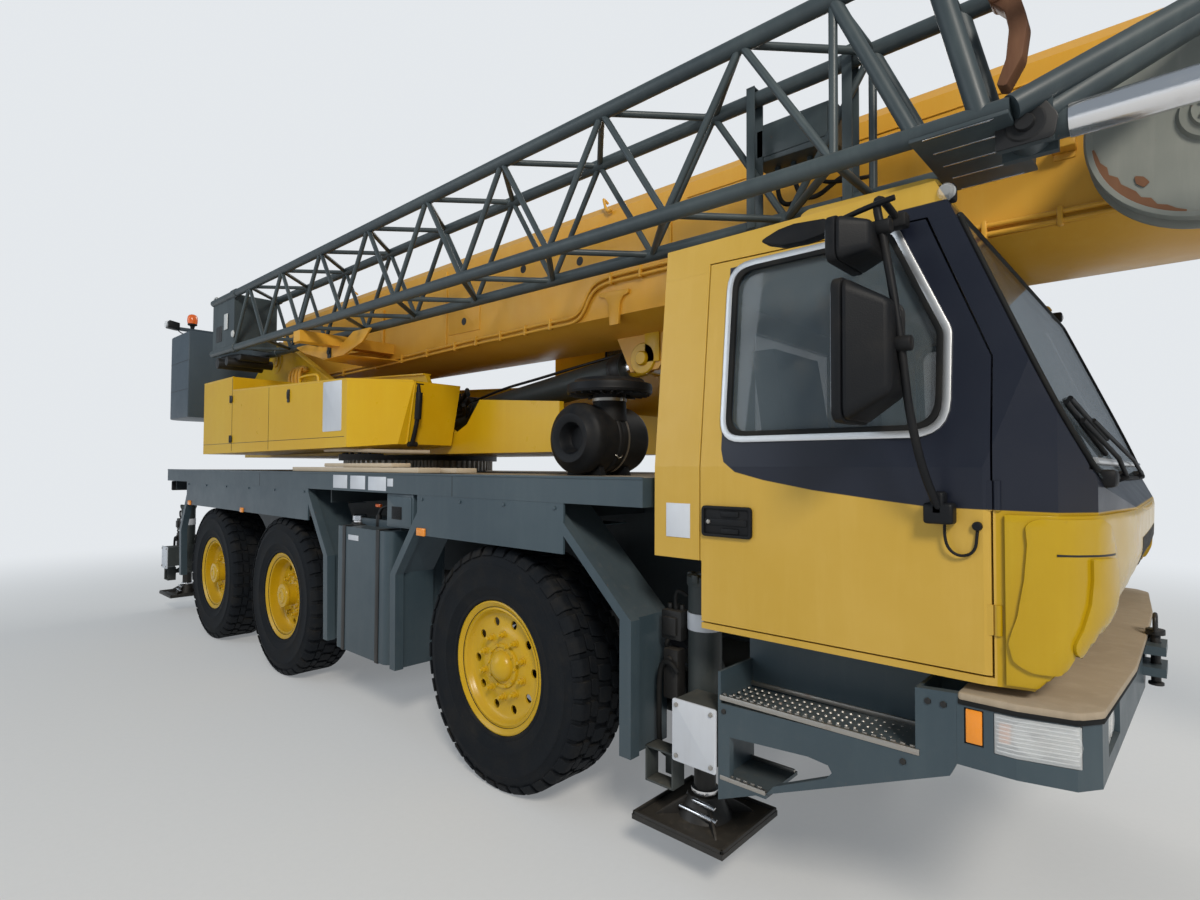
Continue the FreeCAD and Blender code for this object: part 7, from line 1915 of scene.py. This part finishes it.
BOOM_WORK = (
    Fitting("flank_pipes", "boom", Shade.BOOM, [
        Tube([(x, -0.447, z) for x, z in PIPE_RUN], 0.0115, sides=8),
        Tube([(x - 0.012, -0.447, z + 0.036) for x, z in PIPE_RUN], 0.0115, sides=8)]),
    Fitting("pipe_clamps", "boom", Shade.BOOM, [
        Slab((x - 0.01, -0.463, pipe_height(x) - 0.018), (x + 0.01, -0.428, pipe_height(x) + 0.056), 0.004)
            for x in PIPE_CLAMPS]),
    Fitting("flank_plates", "boom", Shade.BOOM, [
        Sheet(Plane.XZ, [(0.87, 2.868), (1.125, 2.856), (1.118, 2.828), (1.075, 2.818), (1.05, 2.78),
            (1.04, 2.645), (0.965, 2.645), (0.952, 2.785), (0.928, 2.828), (0.88, 2.84)], -0.448, -0.427,
            [0.008, 0.008, 0.008, 0.03, 0.03, 0.01, 0.01, 0.03, 0.03, 0.008], 0.004),
        Sheet(Plane.XZ, [(-0.811, 2.822), (-0.399, 2.816), (-0.399, 3.15), (-0.811, 3.155)], -0.4365,
            -0.428, [0.006] * 4, 0.002),
        Slab((-1.895, -0.452, 2.85), (-1.845, -0.428, 3.2), 0.006),
        Slab((-0.86, -0.44, 2.73), (-0.84, -0.428, 3.36), 0.003),
        Slab((1.42, -0.44, 2.73), (1.44, -0.428, 3.36), 0.003),
        Slab((3.295, -0.5, 2.985), (3.375, -0.428, 3.012), 0.004),
        Slab((3.3, -0.436, 2.96), (3.37, -0.428, 3.06), 0.003),
        *(Slab((x, -0.437, 3.305), (x + 0.86, -0.4285, 3.305 + 0.008), 0.003)
            for x in (-3.55, -2.65, -1.75, 0.0, 1.55, 2.45, 3.3)),
        Tube([(-4.1, -0.432, 2.708), (0.0, -0.432, 2.708), (4.15, -0.432, 2.708)], 0.0045, False, 8)]),
    Fitting("left_plates", "boom", Shade.BOOM, [
        Tube([(-4.1, 0.432, 2.708), (4.15, 0.432, 2.708)], 0.0045, False, 8),
        Slab((-0.86, 0.428, 2.73), (-0.84, 0.44, 3.36), 0.003),
        Slab((1.42, 0.428, 2.73), (1.44, 0.44, 3.36), 0.003)]),
    # Painted shade: dark discs stand in for the shaded holes through the boom's plates
    Fitting("flank_holes", "boom", Shade.BLACK_IRON, [
        hole_shade_disc(0.11, -0.4302, 3.186),
        hole_shade_disc(0.684, -0.4302, 3.122),
        hole_shade_disc(-0.6, -0.4367, 2.907)]),
    Fitting("top_hooks", "boom", Shade.BOOM, [
        Tube([(x - 0.02, -0.405, 3.452), (x - 0.035, -0.43, 3.478), (x - 0.02, -0.452, 3.466),
            (x, -0.452, 3.4), (x + 0.025, -0.452, 3.372), (x + 0.05, -0.452, 3.385)], 0.009) for x in (-2.4,
            0.935)]),
    Fitting("jib_support", "boom", Shade.BOOM, [
        Sheet(Plane.XZ, [(-2.59, 2.868), (-2.4, 2.795), (-2.02, 2.7), (-1.62, 2.69), (-1.3, 2.76),
            (-1.16, 2.862), (-1.45, 2.868), (-1.62, 2.8), (-2.0, 2.8), (-2.35, 2.868)], -0.935, -0.915,
            [0.01, 0.05, 0.05, 0.05, 0.05, 0.01, 0.02, 0.04, 0.04, 0.02], 0.004),
        Sheet(Plane.XY, [(-2.02, -0.936), (-1.62, -0.936), (-1.55, -0.43), (-2.1, -0.43)], 2.688, 2.7,
            edge=0.003),
        Sheet(Plane.YZ, [(-0.93, 2.7), (-0.43, 2.7), (-0.43, 2.86), (-0.6, 2.8)], -1.85, -1.838,
            edge=0.003)]),
    Fitting("support_strap", "boom", Shade.BLACK_IRON, [
        Slab((-1.9, -0.945, 2.69), (-1.84, -0.93, 2.83), 0.004),
        Bar((-1.87, -0.93, 2.74), (-1.87, -0.955, 2.74), 0.022)]),
    Fitting("lift_pin_caps", "boom", Shade.HOUSING, [
        *on_both_sides([(0.0, 0.034), (0.04, 0.034), (0.048, 0.026), (0.05, 0.012), (0.098, 0.012),
            (0.106, 0.004), (0.106, 0.0), (0.0, 0.0)], (0.999, 0.146, 2.47)),
        *(Slab((1.02, y, 2.44), (1.14, y + 0.012, 2.7), 0.003) for y in (-0.158, 0.146))]),
    Fitting("jib_box", "boom", Shade.JIB, [
        Sheet(Plane.XZ, [(2.175, 3.17), (2.56, 3.16), (2.567, 3.345), (2.185, 3.345)], -0.8,
            -0.62, [0.012] * 4, 0.006),
        Slab((2.2, -0.805, 3.19), (2.54, -0.798, 3.32), 0.004),
        Row(Bar((2.26, -0.71, 3.1), (2.26, -0.71, 3.166), 0.014, sides=12), (0.08, 0, 0), 4)]),
    Fitting("jib_hoses", "boom", Shade.RUBBER, [
        Tube([(2.26, -0.71, 3.11), (2.25, -0.7, 3.02), (2.3, -0.66, 2.98), (2.34, -0.6, 3.05)], 0.011),
        Tube([(2.34, -0.71, 3.11), (2.36, -0.72, 3.0), (2.44, -0.7, 2.97), (2.5, -0.62, 3.06),
            (2.5, -0.52, 3.12)], 0.011),
        Tube([(2.42, -0.71, 3.11), (2.46, -0.73, 3.03), (2.56, -0.68, 3.02), (2.62, -0.52, 3.08)], 0.009)]),
    Fitting("jib_straps", "boom", Shade.JIB, [
        Slab((x, near, low), (x + 0.042, far, high), 0.001) for x in (2.19, 2.634) for near, far, low,
            high in ((-0.881, -0.875, 2.842, 3.496), (-0.805, -0.799, 2.842, 3.496),
            (-0.881, -0.799, 3.486, 3.492))]),
    Fitting("jib_joints", "boom", Shade.JIB, [
        *(Turned([(0.0335, -0.05), (0.041, -0.046), (0.041, 0.046), (0.0335, 0.05)], (x, y, z), Axis.X, 24)
            for y in (-1.236, -0.84) for x, z in ((-3.28, 3.45), (-3.28, 2.909))),
        Slab((3.02, -1.3, 2.8), (3.3, -0.8, 2.8135), 0.003)]),
    Fitting("jib_pins", "boom", Shade.CHROME, [
        Turned([(0.044, 0.0), (0.0495, 0.0), (0.0505, 0.012), (0.0505, 0.3), (0.0495, 0.312),
            (0.044, 0.312)], (3.43, -1.133, 2.797), Axis.X, 40),
        *(Slab((3.06, -1.295 + 0.12 * n, 2.7985), (3.26, -1.287 + 0.12 * n, 2.8005), 0.0005)
            for n in range(5))]),
    Fitting("jib_lugs", "boom", Shade.BLACK_IRON, [
        Turned([(0.0, -0.026), (0.024, -0.026), (0.028, -0.012), (0.05, -0.012), (0.058, -0.004),
            (0.058, 0.0), (0.0, 0.0)], (3.326, -1.198, 2.797)),
        Turned([(0.0, -0.02), (0.04, -0.02), (0.046, -0.012), (0.046, 0.0), (0.0, 0.0)],
            (4.205, -0.722, 3.4)),
        Turned([(0.04, -0.04), (0.052, -0.036), (0.052, 0.036), (0.04, 0.04)], (4.205, -0.66, 3.4)),
        Sheet(Plane.XZ, [(3.246, 2.735), (3.4, 2.735), (3.41, 2.8), (3.37, 2.868), (3.246, 2.868)], -1.205,
            -1.196, [0.01, 0.02, 0.03, 0.02, 0.01], 0.003)]),
    Fitting("jib_bow", "boom", Shade.RUSTY, [
        Sheet(Plane.XZ, [(3.185, 3.41), (3.235, 3.4), (3.282, 3.34), (3.3, 3.25), (3.285, 3.14),
            (3.235, 3.055), (3.205, 3.068), (3.235, 3.15), (3.245, 3.25), (3.232, 3.32), (3.195, 3.365)],
            -0.968, -0.892, [0.01, 0.03, 0.05, 0.08, 0.05, 0.012, 0.012, 0.05, 0.08, 0.05, 0.012], 0.008),
        Bar((3.21, -0.975, 3.385), (3.21, -0.885, 3.385), 0.026, sides=20)]),
    Fitting("jib_tip_gear", "boom", Shade.BLACK_IRON, [
        Sheet(Plane.XZ, [(-3.9, 2.82), (-3.3, 2.8), (-3.28, 2.86), (-3.42, 2.875), (-3.86, 2.895)], -1.18,
            -0.9, [0.02] * 5, 0.01),
        Bar((-3.72, -1.255, 2.8), (-3.72, -0.82, 2.8), 0.055),
        Bar((-3.45, -1.255, 2.795), (-3.45, -0.82, 2.795), 0.045),
        Slab((-3.8, -1.246, 3.02), (-3.64, -1.24, 3.18), 0.004)]),
    Fitting("jib_tip_light", "boom", Shade.LAMP, [
        Turned([(0.0, -0.012), (0.03, -0.01), (0.036, -0.002), (0.036, 0.0), (0.0, 0.0)],
            (-3.3, -1.2475, 3.05)),
        Slab((-3.56, -1.2505, 3.12), (-3.46, -1.2455, 3.28), 0.006),
        Tube([(-3.92, -1.236, 3.47), (-3.9, -1.236, 3.52), (-3.82, -1.236, 3.5)], 0.008)]),
    Fitting("reel_discs", "boom", Shade.REEL, [
        Turned([(0.0, -0.028), (0.03, -0.028), (0.034, -0.034), (0.06, -0.034), (0.066, -0.024),
            (0.088, -0.02), (0.096, -0.004), (0.304, -0.001), (0.31, -0.007), (0.324, -0.007), (0.331,
            0.002), (0.331, 0.014), (0.322, 0.018), (0.0, 0.018)], (REEL_AXIS[0], -0.8, REEL_AXIS[1]),
            Axis.Y, 88),
        Turned([(0.0, 0.0), (0.322, 0.0), (0.331, 0.006), (0.331, 0.018), (0.322, 0.022), (0.0, 0.022)],
            (REEL_AXIS[0], -0.702, REEL_AXIS[1]), Axis.Y, 72),
        Bar((REEL_AXIS[0], -0.685, REEL_AXIS[1]), (REEL_AXIS[0], -0.4305, REEL_AXIS[1]), 0.09, sides=36),
        Turned([(0.088, 0.0), (0.15, 0.0), (0.156, -0.006), (0.156, -0.022), (0.088, -0.026)], (REEL_AXIS[0],
            -0.4305, REEL_AXIS[1]), Axis.Y, 40)], replaces=["cable_reel"]),
    Fitting("reel_bolts", "boom", Shade.STEEL, [
        Around(Bar((3.76, -0.806, 2.89), (3.76, -0.842, 2.89), 0.007, sides=6), (REEL_AXIS[0],
            0, REEL_AXIS[1]), Axis.Y, 6)]),
    Fitting("reel_cable", "boom", Shade.RUBBER, [
        Turned([(0.19, 0.0)] + [point for n in range(5) for point in ((0.262, 0.001 + 0.016 * n),
            (0.27, 0.005 + 0.016 * n), (0.27, 0.011 + 0.016 * n), (0.262, 0.015 + 0.016 * n))] + [(0.19,
            0.08)], (REEL_AXIS[0], -0.782, REEL_AXIS[1]), Axis.Y, 64)]),
    Fitting("reel_rust", "boom", Shade.RUSTY, [
        Sheet(Plane.XZ, [(REEL_AXIS[0] + reach * math.cos(angle), REEL_AXIS[1] + reach * math.sin(angle))
            for reach, angle in RUST_ARC], -0.8062, -0.803, edge=0.0),
        Sheet(Plane.XZ, [(3.56, 2.7), (3.585, 2.69), (3.6, 2.668), (3.585, 2.655), (3.566, 2.672)], -0.806,
            -0.803, [0.006] * 5, 0.0)]),
    Fitting("head_work", "section_five", Shade.HOUSING, [
        *(Turned([(0.0, s * 0.022), (0.05, s * 0.022), (0.058, s * 0.014), (0.075, s * 0.012), (0.085, 0.0),
            (0.0, 0.0)], (x, s * 0.249, z)) for s in (-1, 1) for x, z in ((5.43, 2.6), (5.26, 3.179))),
        *(Slab((4.72, y, 2.8), (4.76, y + 0.01, 3.24), 0.003) for y in (-0.257, 0.247))]),
    Fitting("head_guard", "section_five", Shade.STEEL, [
        Bar((5.52, -0.235, 2.69), (5.52, 0.235, 2.69), 0.012),
        Bar((5.36, -0.235, 3.27), (5.36, 0.235, 3.27), 0.012),
        Bar((5.24, -0.235, 2.51), (5.24, 0.235, 2.51), 0.012)]),
    Fitting("head_lamp", "section_five", Shade.BLACK, [
        Slab((5.02, -0.31, 2.6), (5.1, -0.245, 2.68), 0.008),
        Tube([(4.8, -0.255, 2.85), (4.95, -0.258, 2.74), (5.04, -0.262, 2.66)], 0.008)]),
    Fitting("hook_cheeks", "hook", Shade.HOUSING, [
        Sheet(Plane.XZ, [(5.285, 1.78), (5.575, 1.78), (5.58, 1.62), (5.5, 1.425), (5.36, 1.425),
            (5.28, 1.62)], y, y + 0.014, [0.1, 0.1, 0.05, 0.04, 0.04, 0.05], 0.004) for y in (-0.184, 0.17)]),
    Fitting("hook_pins", "hook", Shade.STEEL, [
        *on_both_sides([(0.0, 0.024), (0.03, 0.024), (0.036, 0.016), (0.05, 0.014), (0.056, 0.0),
            (0.0, 0.0)], (5.43, 0.184, 1.66)),
        *(Bar((x, s * 0.18, z), (x, s * 0.194, z), 0.012, sides=6) for s in (-1, 1) for x,
            z in ((5.34, 1.73), (5.52, 1.73), (5.36, 1.47), (5.5, 1.47)))]),
    Fitting("hook_collar", "hook", Shade.BLACK_IRON, [
        Turned([(0.027, 1.425), (0.075, 1.425), (0.08, 1.415), (0.07, 1.395), (0.045, 1.385), (0.027, 1.38)],
            (5.43, 0.0, 0.0), Axis.Z, 32),
        Tube([(5.43, 0.0, 1.36), (5.49, 0.0, 1.33), (5.515, 0.0, 1.29)], 0.008)]),
    Fitting("lift_collar", "lift_cylinder", Shade.BLACK_IRON, [
        Bar(along_lift(2.69), along_lift(2.775), 0.1265, sides=56, edge=0.004),
        Bar(along_lift(2.66), along_lift(2.69), 0.118, sides=48, edge=0.003),
        Around(Bar(along_lift(2.772, 0.104), along_lift(2.787, 0.104), 0.011, sides=6), along_lift(2.78),
            Axis.X, 8)]),
    Fitting("lift_valve", "lift_cylinder", Shade.BLACK_IRON, [
        Slab((-1.24, -0.085, 2.275), (-1.02, 0.055, 2.365), 0.01),
        Slab((-1.2, -0.145, 2.235), (-1.06, -0.08, 2.335), 0.01),
        *(Bar((x, -0.05, 2.36), (x, -0.05, 2.405), 0.018, sides=6) for x in (-1.19, -1.13, -1.07)),
        *(Bar((x, -0.14, 2.285), (x, -0.18, 2.285), 0.016, sides=6) for x in (-1.165, -1.1)),
        Tube([(-1.02, -0.02, 2.325), (-0.7, 0.0, 2.405), (-0.2, 0.0, 2.455), (0.3, 0.0, 2.515),
            (0.62, 0.0, 2.548)], 0.011),
        Tube([(-1.03, -0.06, 2.3), (-0.94, -0.11, 2.29), (-0.9, -0.13, 2.23), (-0.96, -0.14, 2.17)], 0.01)]),
    Fitting("lift_fitting", "lift_cylinder", Shade.CHROME, [
        Bar((-0.985, -0.135, 2.275), (-0.94, -0.135, 2.281), 0.014, sides=12)]),
)


def main() -> None:
    """Build the sub-assemblies in order, then the studio and the camera."""
    logging.basicConfig(level=logging.INFO, format="%(name)s: %(message)s")
    PhotoCamera().build()
    CadFinish().build()
    for assembly in (Wheels(), CabSides(), CabFront(), Fittings(FRONT_WORK), Outriggers(),
                     Fittings(CARRIER_WORK), Fittings(UPPER_WORK), Fittings(BOOM_WORK)):
        assembly.build()
    Studio().build()


if __name__ == "__main__":
    main()
